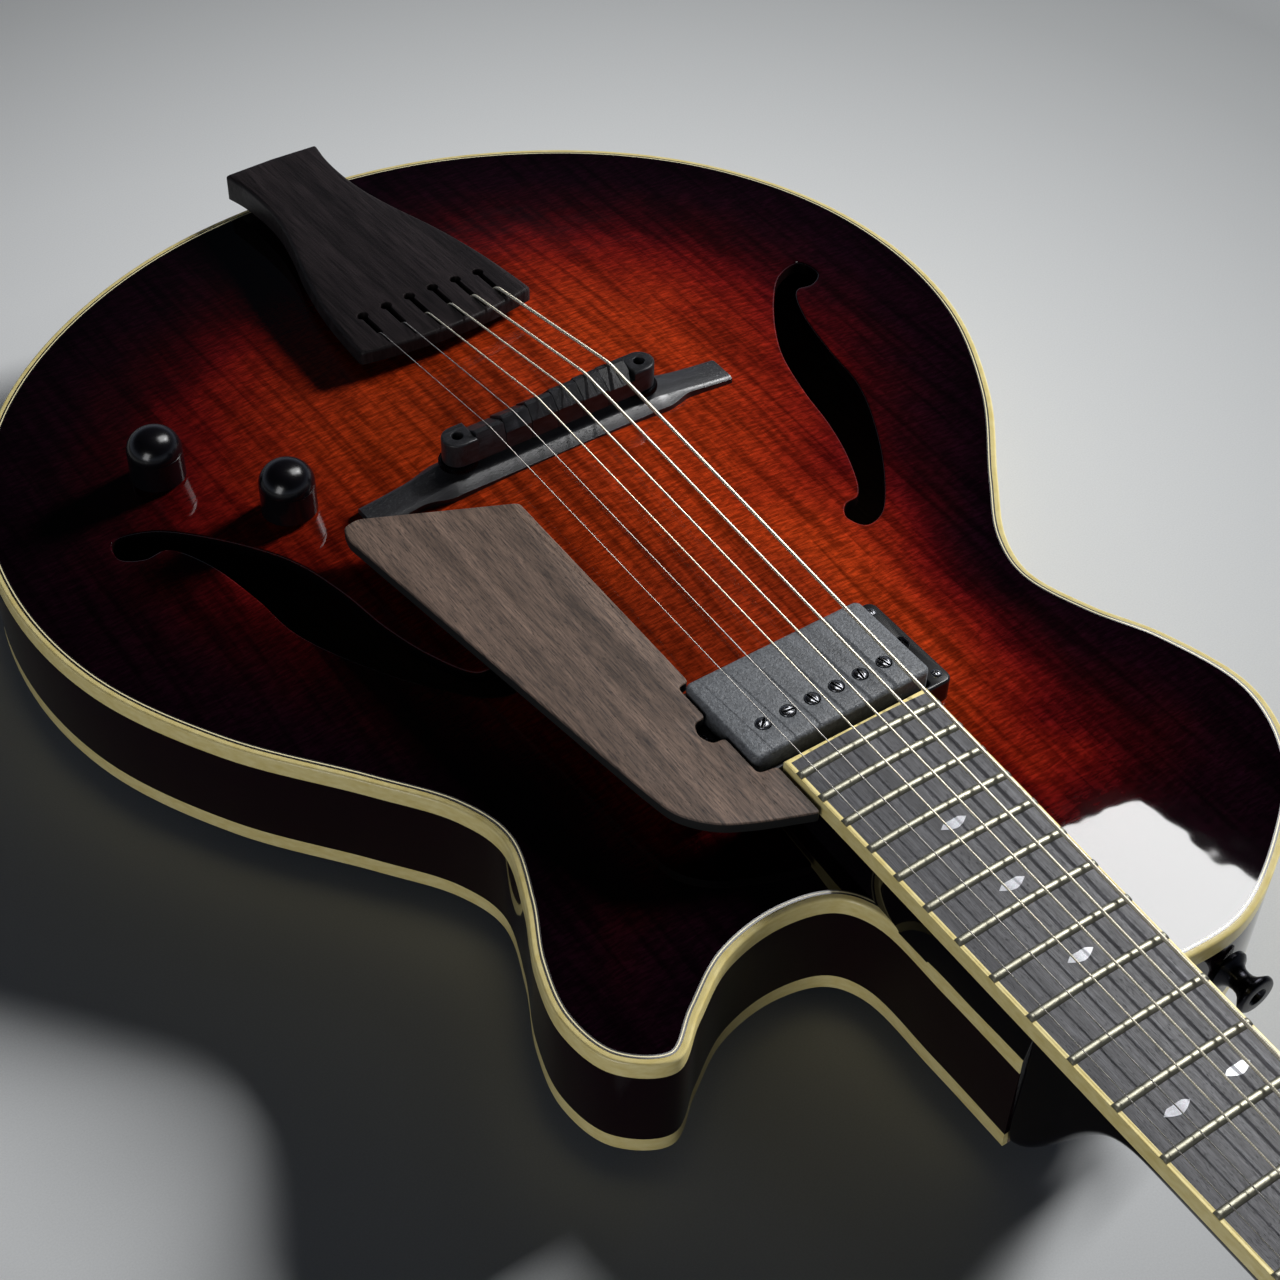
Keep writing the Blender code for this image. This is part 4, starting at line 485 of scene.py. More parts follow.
def plate(loops, top, bottom, cell):
    """Points, faces and kinds (0 top, 1 wall, 2 bottom) of a plate between two height functions.

    loops holds pairs of a closed line and its edge radius: the outline, counter-clockwise, and
    then the holes, clockwise.
    """
    plan, drops, edges, walls = [], [], [], []
    for loop, radius in loops:
        for step in range(EDGE_STEPS + 1 if radius else 1):
            angle = math.pi / 2 * step / EDGE_STEPS
            ring = offset(loop, radius * (1 - math.cos(angle)))
            start, count = len(plan), len(ring)
            plan += [tuple(p) for p in ring]
            drops += [radius * (1 - math.sin(angle))] * count
            edges += [(start + k, start + (k + 1) % count) for k in range(count)]
            if step == 0:
                walls.append((start, count))
    low, high = np.min(loops[0][0], axis=0), np.max(loops[0][0], axis=0)
    xs, ys = (np.arange(low[k] + cell / 2, high[k], cell) for k in (0, 1))
    grid = np.stack(np.meshgrid(xs, ys), axis=-1).reshape(-1, 2)
    grid = grid[in_plate(grid, loops)]
    for loop, radius in loops:
        grid = grid[distance_to(grid, np.array(loop)) > radius + cell * GRID_CLEARANCE]
    plan += [tuple(p) for p in grid]
    drops += [0.0] * len(grid)
    flat, _, triangles, origins, _, _ = delaunay_2d_cdt([Vector(p) for p in plan], edges, [], 1, 1e-5)
    flat = np.array([tuple(p) for p in flat])
    centres = np.array([flat[list(t)].mean(axis=0) for t in triangles])
    triangles = [t for t, kept in zip(triangles, in_plate(centres, loops)) if kept]
    drop = np.array([drops[found[0]] if found else 0.0 for found in origins])
    place = {old: new for new, found in enumerate(origins) for old in found}
    upper = np.column_stack([flat, top(flat[:, 0], flat[:, 1]) - drop])
    lower = np.column_stack([flat, bottom(flat[:, 0], flat[:, 1])])
    count = len(flat)
    faces = [tuple(t) for t in triangles]
    faces += [tuple(i + count for i in reversed(t)) for t in triangles]
    kinds = [0] * len(triangles) + [2] * len(triangles)
    for start, length in walls:
        for k in range(length):
            a, b = place[start + k], place[start + (k + 1) % length]
            faces.append((b, a, a + count, b + count))
            kinds.append(1)
    return np.vstack([upper, lower]), faces, kinds


def in_plate(points, loops):
    """Which plan points lie within the outline and outside the holes."""
    kept = inside(points, np.array(loops[0][0]))
    for hole, _ in loops[1:]:
        kept &= ~inside(points, np.array(hole))
    return kept


button = circle((0.0, 0.0), 1.0)
flat_disc = plate([(button, 0.2)], lambda x, y: 0 * x + 1.0, lambda x, y: 0 * x, 0.5)
print("a round plate of 2 mm takes", len(flat_disc[1]), "faces")

# %% [markdown]
# ## Lofts and pieces
# The other basic shape is the loft, a skin over a row of sections, as a boat's planks lie over its
# ribs. `piece` turns either shape into an object: it scales the millimetres, turns all faces
# outwards, keeps sharp edges sharp, and tells the frame which body the piece rides on and which
# solid it takes the place of.

# %% Loft and piece
def loft(sections, closed=False):
    """Points and faces of a skin over loops with the same number of points."""
    count, rows = len(sections[0]), len(sections)
    points = np.array([p for section in sections for p in section], float)
    faces = []
    for row in range(rows if closed else rows - 1):
        following = (row + 1) % rows
        for i in range(count):
            j = (i + 1) % count
            faces.append((row * count + i, row * count + j, following * count + j, following * count + i))
    if not closed:
        faces.append(tuple(range(count))[::-1])
        faces.append(tuple(range((rows - 1) * count, rows * count)))
    return points, faces


def piece(name, shape, finishes, body="guitar", replaces=(), sharp=38.0):
    """An object from a shape in millimetres, turned outwards, riding on its body."""
    points, faces = shape[0], shape[1]
    mesh = bpy.data.meshes.new(name)
    mesh.from_pydata([tuple(p) for p in np.array(points, float) * MM], [], faces)
    for material in finishes:
        mesh.materials.append(material)
    if len(shape) > 2:
        mesh.polygons.foreach_set("material_index", shape[2])
    work = bmesh.new()
    work.from_mesh(mesh)
    bmesh.ops.recalc_face_normals(work, faces=work.faces)
    if work.calc_volume(signed=True) < 0:
        bmesh.ops.reverse_faces(work, faces=work.faces)
    work.to_mesh(mesh)
    work.free()
    mesh.shade_smooth()
    mesh.set_sharp_from_angle(angle=math.radians(sharp))
    made = bpy.data.objects.new(name, mesh)
    bpy.context.scene.collection.objects.link(made)
    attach(made, body)
    if replaces:
        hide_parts(*replaces)
    return made


square = ((0.0, 0.0), (1.0, 0.0), (1.0, 1.0), (0.0, 1.0))
print("a loft over two squares has", len(loft([[(*p, z) for p in square] for z in (0, 1)])[1]), "faces")

# %% [markdown]
# ## Sunburst lacquer over figured wood
# A sunburst is sprayed in clear and coloured coats: almost black at the edge, then wine red, then an
# orange red where the wood shows. How dark it is depends on the distance from the edge, so that
# distance is stored on every point of the mesh and a colour ramp reads it. The wood below has long
# grain and short bright flecks across it, where the fibres wave. Many polished coats lie on top: a
# clear coat with a very low roughness, and the faintest ripple that a hand-polished top keeps.

# %% Lacquered figured wood
BURST_REACH = 200.0
STRAIGHT_GRAIN = ((0.22, 14.0, 8.0), {"Detail": 4.0, "Roughness": 0.65}, (0.3, 0.7), (-0.2, 0.2))
DARK_BANDS = ((4.2, 84.0, 60.0), {"Detail": 3.0, "Distortion": 0.3}, (0.36, 0.56), (-0.5, 0.0))
BRIGHT_FLECKS = ((5.0, 1.0, 6.0), {"Detail": 5.0, "Roughness": 0.6, "Distortion": 0.6},
                 (0.42, 0.74), (-0.25, 1.2))
# The last stop, in the middle of the top under the strings, turns darker again: partly painted shade of
# the strings and partly darker figure.
SUNBURST = ((0.0, "#0a0207"), (25.0, "#12030a"), (42.0, "#1f0408"), (55.0, "#2c0407"), (65.0, "#46080a"),
            (76.0, "#620f0c"), (92.0, "#75190c"), (112.0, "#8f270f"), (140.0, "#a13410"),
            (178.0, "#8a2b10"))
DARK_BURST = ((0.0, "#060105"), (25.0, "#0c0105"), (60.0, "#1d0306"), (120.0, "#330608"))
CLOUD_SIZE = (14.0, 22.0, 14.0)
CLOUD_SHIFT = 0.11
RIPPLE_SIZE = (15.0, 15.0, 15.0)
RIPPLE_DEPTH = 0.07


def polished_coat(tree, shader):
    """The faint ripple of a clear coat that was levelled and buffed by hand."""
    ripple = add(tree, "ShaderNodeTexNoise", {"Vector": stretched(tree, RIPPLE_SIZE), "Detail": 1.0})
    bump = add(tree, "ShaderNodeBump", {"Height": ripple, "Distance": RIPPLE_DEPTH * MM})
    feed(shader, {"Coat Normal": bump})


def burst_lacquer(name, stops, figure):
    """Glassy lacquer whose colour follows the distance from the rim; stops are in millimetres."""
    made, tree, shader = finish(name, stops[-1][1], 0.42, Specular_IOR_Level=0.0, Coat_Weight=1.0,
            Coat_Roughness=0.025, Coat_IOR=1.52)
    distance = add(tree, "ShaderNodeAttribute", attribute_name="rim_distance")
    cloud = add(tree, "ShaderNodeTexNoise", {"Vector": stretched(tree, CLOUD_SIZE), "Detail": 2.0})
    shifted = add(tree, "ShaderNodeMath", {0: cloud, 1: CLOUD_SHIFT, 2: -CLOUD_SHIFT / 2},
                  operation="MULTIPLY_ADD")
    total = add(tree, "ShaderNodeMath", {0: distance.outputs["Fac"], 1: shifted})
    colour = add(tree, "ShaderNodeValToRGB", {"Fac": total},
                 stops=[(place / BURST_REACH, code) for place, code in stops])
    colour.color_ramp.interpolation = "B_SPLINE"
    shaded = colour
    for size, pattern, (low, high), (less, more) in (STRAIGHT_GRAIN, DARK_BANDS, BRIGHT_FLECKS):
        cells = add(tree, "ShaderNodeTexNoise", {"Vector": stretched(tree, size), **pattern})
        factor = add(tree, "ShaderNodeMapRange", {"Value": cells, "From Min": low, "From Max": high,
                "To Min": 1 + less * figure, "To Max": 1 + more * figure})
        shaded = add(tree, "ShaderNodeVectorMath", {0: shaded, "Scale": factor}, operation="SCALE")
    feed(shader, {"Base Color": shaded})
    polished_coat(tree, shader)
    return made


TOP_LACQUER = burst_lacquer("sunburst_lacquer_on_figured_maple", SUNBURST, 1.0)
BACK_LACQUER = burst_lacquer("dark_burst_lacquer", DARK_BURST, 0.6)
print("burst lacquer:", len(TOP_LACQUER.node_tree.nodes), "nodes")

# %% [markdown]
# The bent sides are stained nearly black, with only a hint of red and a faint grain that runs round
# the body. The edges of the sound holes are painted black. The inside of the body is bare maple,
# and its colour is painted dark: the painted shade inside the closed body.

# %% Side lacquer, hole edges and bare wood
def side_lacquer():
    """Near-black stain under a clear coat: a deep gloss with a hint of red grain."""
    made, tree, shader = finish("side_lacquer", "#14060b", 0.4, Specular_IOR_Level=0.0, Coat_Weight=1.0,
            Coat_Roughness=0.04, Coat_IOR=1.52)
    mottled(tree, shader, (12.0, 12.0, 0.32), ((0.3, "#0a0205"), (0.75, "#18040a")))
    polished_coat(tree, shader)
    return made


def hole_paint():
    """Black paint brushed on a sawn edge: dull, and worn browner here and there."""
    made, tree, shader = finish("brushed_hole_edge_paint", "#090506", 0.35, IOR=1.5)
    mottled(tree, shader, (1.8, 1.8, 0.4), ((0.35, "#060304"), (0.8, "#1a0c0a")), detail=3.0)
    return made


def bare_maple():
    """Planed maple without any finish: matt and finely streaked, its pale colour painted dark as shade."""
    made, tree, shader = finish("bare_maple", "#705c4c", 0.75, IOR=1.45)
    grain = mottled(tree, shader, (0.32, 12.0, 1.2), ((0.3, "#6b5850"), (0.7, "#94806f")))
    bump = add(tree, "ShaderNodeBump", {"Height": grain, "Distance": 0.05 * MM})
    feed(shader, {"Normal": bump})
    return made


SIDE_LACQUER, HOLE_PAINT, INSIDE_MAPLE_SHADED = side_lacquer(), hole_paint(), bare_maple()
print("on and in the body:", SIDE_LACQUER.name, HOLE_PAINT.name, INSIDE_MAPLE_SHADED.name)

# %% [markdown]
# ## The sound holes and the openings
# The two sickle-shaped holes are drawn like the outline, by a few marks and a smooth curve; the
# treble hole mirrors the bass one. The pickup's opening and the holes for the two controls take
# their places from the solids that they make room for.

# %% Holes of the top
HOLE_INNER = ((-148.5, -79.0), (-137.0, -76.0), (-122.5, -61.5), (-104.5, -33.5), (-97.3, -10.0),
              (-93.5, 11.0), (-87.5, 30.0), (-79.0, 45.0), (-71.5, 47.2))
HOLE_OUTER = ((-67.5, 53.0), (-71.0, 59.0), (-79.5, 57.0), (-91.5, 44.5), (-107.5, 20.0),
              (-118.5, -4.5), (-121.5, -24.5), (-127.5, -50.0), (-135.5, -64.0),
              (-143.5, -64.5), (-150.5, -70.0))
HOLE_STEPS = 7
HOLE_EDGE = 0.7
CAVITY_MARGIN = 1.0
BUSHING_RADIUS = 5.0


def clockwise(loop):
    """The loop in the order that has the material on its left, for a hole."""
    area = np.sum(loop[:, 0] * np.roll(loop[:, 1], -1) - np.roll(loop[:, 0], -1) * loop[:, 1])
    return loop if area < 0 else loop[::-1]


bass_hole = smooth_path(HOLE_INNER + HOLE_OUTER, HOLE_STEPS, closed=True)
treble_hole = (bass_hole * (-1, 1))[::-1]
low, high = corners("pickup_cover")
cavity = offset([(low.x, low.y), (low.x, high.y), (high.x, high.y), (high.x, low.y)], CAVITY_MARGIN)
holes = [(clockwise(bass_hole), HOLE_EDGE), (clockwise(treble_hole), HOLE_EDGE),
         (clockwise(cavity), 0.0)]
for knob in ("volume_knob", "tone_knob"):
    low, high = corners(knob)
    holes.append((clockwise(circle((low + high) / 2, BUSHING_RADIUS)), 0.0))
print("holes in the top:", len(holes))

# %% [markdown]
# ## The top plate
# The plate ends just inside the binding. The black band of the burst is sprayed narrow at the waist
# and wide round both bouts, so the stored distance is stretched by an amount that depends on the
# place along the body.

# %% Top plate
BINDING_THICKNESS = 2.1
PLATE_MARGIN = 2.4
TOP_THICKNESS = 5.0
PLATE_CELL = 4.0
BURST_STRETCH = ((-60.0, 1.0), (30.0, 1.3), (70.0, 2.3), (115.0, 2.3), (160.0, 1.2), (230.0, 0.85))


def with_rim_distance(made):
    """Stores each point's stretched distance from the rim, as a share of the burst's reach."""
    count = len(made.data.vertices)
    place = np.zeros(count * 3)
    made.data.vertices.foreach_get("co", place)
    plan = place.reshape(-1, 3)[:, :2] / MM
    stretch = np.interp(plan[:, 1], [y for y, _ in BURST_STRETCH], [s for _, s in BURST_STRETCH])
    values = distance_to(plan, RIM) * stretch / BURST_REACH
    made.data.attributes.new("rim_distance", "FLOAT", "POINT").data.foreach_set("value", values)
    return made


plate_edge = offset(RIM, PLATE_MARGIN, closed=False)
shape = plate([(plate_edge, 0.0)] + holes, top_surface,
              lambda x, y: top_surface(x, y) - TOP_THICKNESS, PLATE_CELL)
# The plate's underside takes the maple whose colour is painted dark as shade inside the body.
top_plate = with_rim_distance(piece("arched_top", shape, (TOP_LACQUER, HOLE_PAINT, INSIDE_MAPLE_SHADED),
        replaces=("top_plate",)))
print("arched top:", len(top_plate.data.polygons), "faces")

# %% [markdown]
# ## The back plate and the sides
# The back is made as the top is, without holes and with its lacquer below. The sides are two strips
# of wood bent round the outline. Inside, a strip of lining glues each plate to the side.

# %% Back plate and sides
BACK_THICKNESS = 4.5
SIDE_WALL = 3.0
LINING = 9.0
LINING_HEIGHT = 12.0
BINDING_HEIGHT = 6.6

shape = plate([(plate_edge, 0.0)], lambda x, y: back_surface(x, y) + BACK_THICKNESS, back_surface,
              PLATE_CELL)
shape = (shape[0], shape[1], [(2, 1, 0)[kind] for kind in shape[2]])
with_rim_distance(piece("arched_back", shape, (BACK_LACQUER, INSIDE_MAPLE_SHADED, INSIDE_MAPLE_SHADED),
        replaces=("back_plate",)))


def round_rim(profile, line=RIM):
    """Sections of a strip that follows the rim; profile holds pairs of inset and height."""
    insets = {distance: offset(line, distance, closed=False) for distance, _ in profile}
    return [[(*insets[distance][k], height) for distance, height in profile] for k in range(len(line))]


wall_low, wall_high = RIM_BOTTOM + BINDING_HEIGHT, RIM_TOP - BINDING_HEIGHT
under_top, over_back = RIM_TOP - TOP_THICKNESS, RIM_BOTTOM + BACK_THICKNESS
side_profile = ((0.0, wall_high), (0.0, wall_low), (PLATE_MARGIN, wall_low), (PLATE_MARGIN, over_back),
                (LINING, over_back), (SIDE_WALL, over_back + LINING_HEIGHT),
                (SIDE_WALL, under_top - LINING_HEIGHT), (LINING, under_top), (PLATE_MARGIN, under_top),
                (PLATE_MARGIN, wall_high))
middle = int(np.argmin(np.linalg.norm(RIM - (0.0, TAIL_Y), axis=1)))
for name, line in (("bass", RIM[:middle + 1]), ("treble", RIM[middle:])):
    side = piece(name + "_bent_side", loft(round_rim(side_profile, line)), (SIDE_LACQUER,),
                 replaces=(name + "_side",))
    print(side.name, len(side.data.polygons), "faces")

# %% [markdown]
# ## Binding and purfling
# A strip of cream celluloid is glued round the edge to guard the end grain. It is scraped flush and
# its outer corner is rounded by hand. Along its inner edge runs purfling, thin black and white
# lines let into the lacquer, and a black line parts the binding from the side. All of them follow
# the rim, so one helper sweeps a small profile round it.

# %% Cream celluloid and its lines
def celluloid():
    """Aged cream celluloid: satin, slightly cloudy, a touch yellower in places."""
    made, tree, shader = finish("cream_celluloid", "#e2d193", 0.34, IOR=1.5, Coat_Weight=0.25,
            Coat_Roughness=0.12)
    mottled(tree, shader, (4.4, 4.4, 1.8), ((0.3, "#d9c67f"), (0.7, "#e8d99c")))
    return made


def fibre(name, colour):
    """Dyed wood fibre under lacquer: an even colour with the faintest thread in its gloss."""
    made, tree, shader = finish(name, colour, 0.4, IOR=1.5, Coat_Weight=0.6, Coat_Roughness=0.06)
    thread = add(tree, "ShaderNodeTexNoise", {"Vector": stretched(tree, (0.6, 0.6, 0.6)), "Detail": 2.0})
    bump = add(tree, "ShaderNodeBump", {"Height": thread, "Distance": 0.01 * MM})
    feed(shader, {"Normal": bump})
    return made


CREAM = celluloid()
BLACK_LINE = fibre("black_fibre", "#0b0809")
WHITE_LINE = fibre("white_fibre", "#cfc69e")
print("edge finishes:", CREAM.name, BLACK_LINE.name, WHITE_LINE.name)

# %% [markdown]
# The binding's profile is a small upright oblong with one rounded corner. Each purfling line lies on
# the arched top, so its four corners are taken from the top's height at their own places.

# %% Bindings and purfling lines
BINDING_ROUND = 0.9
ARC_STEPS = 5
LINE_DEPTH = 0.8
LINE_PROUD = 0.05
SIDE_LINE_HALF = 0.25
SIDE_LINE_INSET = 0.02
TOP_LINES = ((2.1, 2.65, BLACK_LINE), (2.65, 3.05, WHITE_LINE), (3.05, 3.5, BLACK_LINE))


def arc(centre, radius, start, end, steps=ARC_STEPS):
    """Points on an arc, from the angle start to the angle end in degrees."""
    sweep = np.radians(np.linspace(start, end, steps + 1))
    return [(centre[0] + radius * math.cos(a), centre[1] + radius * math.sin(a)) for a in sweep]


for name, edge, lift in (("top", RIM_TOP, 1), ("back", RIM_BOTTOM, -1)):
    flank = edge - lift * BINDING_HEIGHT
    rounded_edge = arc((BINDING_ROUND, edge - lift * BINDING_ROUND), BINDING_ROUND, 180, 180 - lift * 90)
    profile = [(0.0, flank)] + rounded_edge + [(BINDING_THICKNESS, edge), (BINDING_THICKNESS, flank)]
    piece(name + "_celluloid_binding", loft(round_rim(profile)), (CREAM,),
          replaces=(name + "_binding",))
    groove = [(inset, flank + up) for inset, up in
              ((SIDE_LINE_INSET, SIDE_LINE_HALF), (SIDE_LINE_INSET, -SIDE_LINE_HALF),
               (SIDE_WALL, -SIDE_LINE_HALF), (SIDE_WALL, SIDE_LINE_HALF))]
    piece(name + "_side_line", loft(round_rim(groove)), (BLACK_LINE,))
for number, (near, far, material) in enumerate(TOP_LINES):
    sections = []
    inner, outer = (offset(RIM, d, closed=False) for d in (far, near))
    for (ix, iy), (ox, oy) in zip(inner, outer):
        high_in, high_out = (top_surface(x, y) + LINE_PROUD for x, y in ((ix, iy), (ox, oy)))
        sections.append([(ox, oy, high_out - LINE_DEPTH), (ox, oy, high_out),
                         (ix, iy, high_in), (ix, iy, high_in - LINE_DEPTH)])
    piece("top_purfling_%d" % (number + 1), loft(sections), (material,))
print("purfling lines:", len(TOP_LINES))

# %% [markdown]
# ## The neck
# The neck is one piece of wood from the heel to the tip of the headstock. Its section changes all
# the way: almost a box at the heel, a soft oval along the grip, and flat in front with a rounded
# back at the headstock. A loft joins many sections, and each section comes from one formula, a
# half circle whose sine and cosine are raised to a power: a small power squares the corners.

# %% Sizes of the neck
SCALE_LENGTH = 628.65
NUT_Y = corners("nut")[0].y
BOARD_END_Y = corners("fretboard_binding")[0].y
NECK_ANGLE = math.radians(2.63)
BOARD_OVER_RIM = 19.3
FRET_COUNT = 22
LAST_FRET_STATION = SCALE_LENGTH * (1 - 2 ** (-FRET_COUNT / 12))
NUT_WIDTH = 43.0
LAST_FRET_WIDTH = 56.1
BOARD_THICKNESS = 6.0
BOARD_RADIUS = 305.0
BELLY_STEPS = 28


def board_half(y):
    """Half the width of the fretboard."""
    return (NUT_WIDTH + (LAST_FRET_WIDTH - NUT_WIDTH) * (NUT_Y - y) / LAST_FRET_STATION) / 2


def board_edge(y):
    """Height of the fretboard's two edges."""
    return RIM_TOP + BOARD_OVER_RIM + (NUT_Y - LAST_FRET_STATION - y) * math.tan(NECK_ANGLE)


def glue_plane(y):
    """Height of the face of the neck that the fretboard is glued on."""
    return board_edge(y) - BOARD_THICKNESS


def crown(x, half):
    """Rise of the crowned board over its edges."""
    return np.sqrt(BOARD_RADIUS ** 2 - x * x) - np.sqrt(BOARD_RADIUS ** 2 - half * half)


def neck_section(y, half, top, depth, side, profile, taper=0.0):
    """A level top, straight sides and a belly."""
    turn = np.linspace(0.0, math.pi, BELLY_STEPS + 1)
    across, down = np.cos(turn), np.maximum(np.sin(turn), 0.0)
    drop = side + (depth - side) * down ** profile
    x = -half * np.sign(across) * np.abs(across) ** profile * (1 - taper * drop / depth)
    belly = np.column_stack([x, np.full(len(x), y), top - drop])
    return [tuple(p) for p in belly] + [(half, y, top), (-half, y, top)]


print("fretboard: %.1f mm wide at the nut, %.1f at its end" % (NUT_WIDTH, 2 * board_half(BOARD_END_Y)))

# %% [markdown]
# The headstock leans back by a further seven degrees behind the nut, which presses the strings into
# their slots. Its outline is another short list of half widths, smoothed by the same curve.

# %% The headstock's plane and outline
HEAD_ANGLE = math.radians(7.0)
NUT_THICKNESS = 5.0
SEAT_GAP = 0.3
HEAD_THICKNESS = 14.0
HEAD_EDGE = 2.5
HEAD_PROFILE = 0.45
VENEER = 2.0
HEAD_PLAN = ((0.0, 21.5), (9.0, 22.4), (19.0, 28.0), (30.0, 31.2), (60.0, 30.2), (95.0, 31.6),
             (122.0, 33.4), (132.0, 31.5), (138.0, 26.0), (141.0, 16.0))
HEAD_STEPS = 6
HEAD_START_Y = NUT_Y + NUT_THICKNESS + SEAT_GAP
HEAD_FACE_Z = glue_plane(HEAD_START_Y)
HEAD_TILT = NECK_ANGLE + HEAD_ANGLE
HEAD_FRAME = (Matrix.Translation((0.0, HEAD_START_Y, HEAD_FACE_Z))
              @ Matrix.Rotation(-HEAD_TILT, 4, "X"))
head_plan = smooth_path(HEAD_PLAN, HEAD_STEPS)


def head_face(y):
    """Height of the headstock's front face, veneer included."""
    return HEAD_FACE_Z - (y - HEAD_START_Y) * math.tan(HEAD_TILT)


def in_head(shape):
    """Moves a shape given on the headstock (sideways, beyond the nut, off the face) to its place."""
    return ([tuple(HEAD_FRAME @ Vector(p)) for p in shape[0]],) + tuple(shape[1:])


print("headstock: %.0f mm long" % HEAD_PLAN[-1][0])

# %% [markdown]
# ## The loft of the neck
# The sections run in four stretches: a support that carries the fretboard over the top, the heel,
# the grip, and the throat that leads into the headstock. Each stretch eases its depth and its
# profile from one end to the other. Where the neck meets the body its foot flares into a skirt. The
# whole neck is sprayed solid black, which hides the grain.

# %% Neck lacquer and the skirt
NECK_END_Y = NECK_CORNER[1]
NECK_TONGUE = 1.0
NECK_DEPTH_NUT = 13.5
NECK_DEPTH_HEEL = 14.0
NECK_SIDE = 1.0
NECK_PROFILE = 1.3
HEEL_LENGTH = 52.3
HEEL_FALL = 4.2
HEEL_SIDE = 38.0
HEEL_PROFILE = 0.28
HEEL_TAPER = 0.04
HEEL_STEPS = 26
SUPPORT_SINK = 1.5
SUPPORT_SECTIONS = 30
SUPPORT_BELLY = 0.5
SUPPORT_PROFILE = 0.12
SKIRT_HALF = NECK_CORNER[0] - 0.1
SKIRT_START = (174.0, 200.0)
SKIRT_END = 16.0
SKIRT_POWER = 1.5
GRIP_STEPS = 12
THROAT_LENGTH = 8.0
THROAT_STEPS = 5
THROAT_SIDE = 6.0


def neck_lacquer():
    """Solid black lacquer, polished: only the clear coat and a faint ripple show."""
    made, tree, shader = finish("black_neck_lacquer", "#070508", 0.4, Specular_IOR_Level=0.0,
            Coat_Weight=1.0, Coat_Roughness=0.05, Coat_IOR=1.52)
    mottled(tree, shader, (0.6, 10.0, 0.6), ((0.35, "#050406"), (0.75, "#0d090c")), detail=3.0)
    polished_coat(tree, shader)
    return made


def widened(section, wide, top):
    """Flares a section from the board's width at its top to a half width at the rim's height."""
    flared = []
    for x, y, z in section:
        share = min(1.0, max(0.0, (top - z) / (top - RIM_TOP))) ** SKIRT_POWER
        flared.append((x * (1 + (wide / board_half(y) - 1) * share), y, z))
    return flared


print("height at the heel: %.1f mm" % (glue_plane(NECK_END_Y) - RIM_BOTTOM))

# %% [markdown]
# Each loop below adds the sections of one stretch, from the board's end to the tip of the headstock.

# %% Sections of the neck, from its end to its tip
NECK_LACQUER = neck_lacquer()
sections = []
for y in np.linspace(BOARD_END_Y + NECK_TONGUE, NECK_END_Y, SUPPORT_SECTIONS):
    depth = glue_plane(y) - RIM_TOP + SUPPORT_SINK
    section = neck_section(y, board_half(y), glue_plane(y), depth, depth - SUPPORT_BELLY, SUPPORT_PROFILE)
    wide = np.interp(y, SKIRT_START, (board_half(y), SKIRT_HALF))
    sections.append(widened(section, wide, glue_plane(y)))
heel_depth = glue_plane(NECK_END_Y) - RIM_BOTTOM
for step in range(HEEL_STEPS + 1):
    y = NECK_END_Y + SEAT_GAP + (HEEL_LENGTH - SEAT_GAP) * step / HEEL_STEPS
    fall = math.cos(step / HEEL_STEPS * math.pi / 2) ** HEEL_FALL
    depth = NECK_DEPTH_HEEL + (heel_depth - NECK_DEPTH_HEEL) * fall
    profile = NECK_PROFILE + (HEEL_PROFILE - NECK_PROFILE) * fall
    section = neck_section(y, board_half(y), glue_plane(y), depth, NECK_SIDE + HEEL_SIDE * fall, profile,
            HEEL_TAPER * fall)
    wide = np.interp(y, (NECK_END_Y, NECK_END_Y + SKIRT_END), (SKIRT_HALF, board_half(y)))
    sections.append(widened(section, wide, glue_plane(y)))
grip_start, grip_end = NECK_END_Y + HEEL_LENGTH, NUT_Y - THROAT_LENGTH
for share in np.linspace(0.0, 1.0, GRIP_STEPS + 1)[1:]:
    y = grip_start + (grip_end - grip_start) * share
    depth = NECK_DEPTH_HEEL + (NECK_DEPTH_NUT - NECK_DEPTH_HEEL) * share
    sections.append(neck_section(y, board_half(y), glue_plane(y), depth, NECK_SIDE, NECK_PROFILE))
for share in np.linspace(0.0, 1.0, THROAT_STEPS + 2)[1:-1]:
    y = grip_end + (HEAD_START_Y - grip_end) * share
    ease = share * share * (3 - 2 * share)
    depth = NECK_DEPTH_NUT + (HEAD_THICKNESS + VENEER - NECK_DEPTH_NUT) * ease
    profile = NECK_PROFILE + (HEAD_PROFILE - NECK_PROFILE) * ease
    sections.append(neck_section(y, NUT_WIDTH / 2, glue_plane(min(y, NUT_Y)), depth,
            NECK_SIDE + THROAT_SIDE * ease, profile))
for along, half in head_plan:
    y = HEAD_START_Y + along
    sections.append(neck_section(y, half, head_face(y) - VENEER, HEAD_THICKNESS / math.cos(HEAD_TILT),
            HEAD_THICKNESS - HEAD_EDGE, HEAD_PROFILE))
piece("lacquered_neck", loft(sections), (NECK_LACQUER,), replaces=("neck",))
print("neck sections:", len(sections))

# %% [markdown]
# ## The fretboard
# Ebony is so dense that it is left bare and oiled. It has fine streaks and open pores along the
# grain, and its colour is painted a dark grey, lighter than the wood: a painted sheen. The board is
# crowned to a radius of 305 mm, and its edges and its end are bound in the same cream celluloid as
# the body.

# %% Ebony, and the board with its binding
BOARD_BINDING = 1.6
BOARD_SECTIONS = 24
BOARD_STEPS = 16
EDGE_ROUND = 0.35
VEIL_TIMES = 14
PORE_DEPTH = 0.06


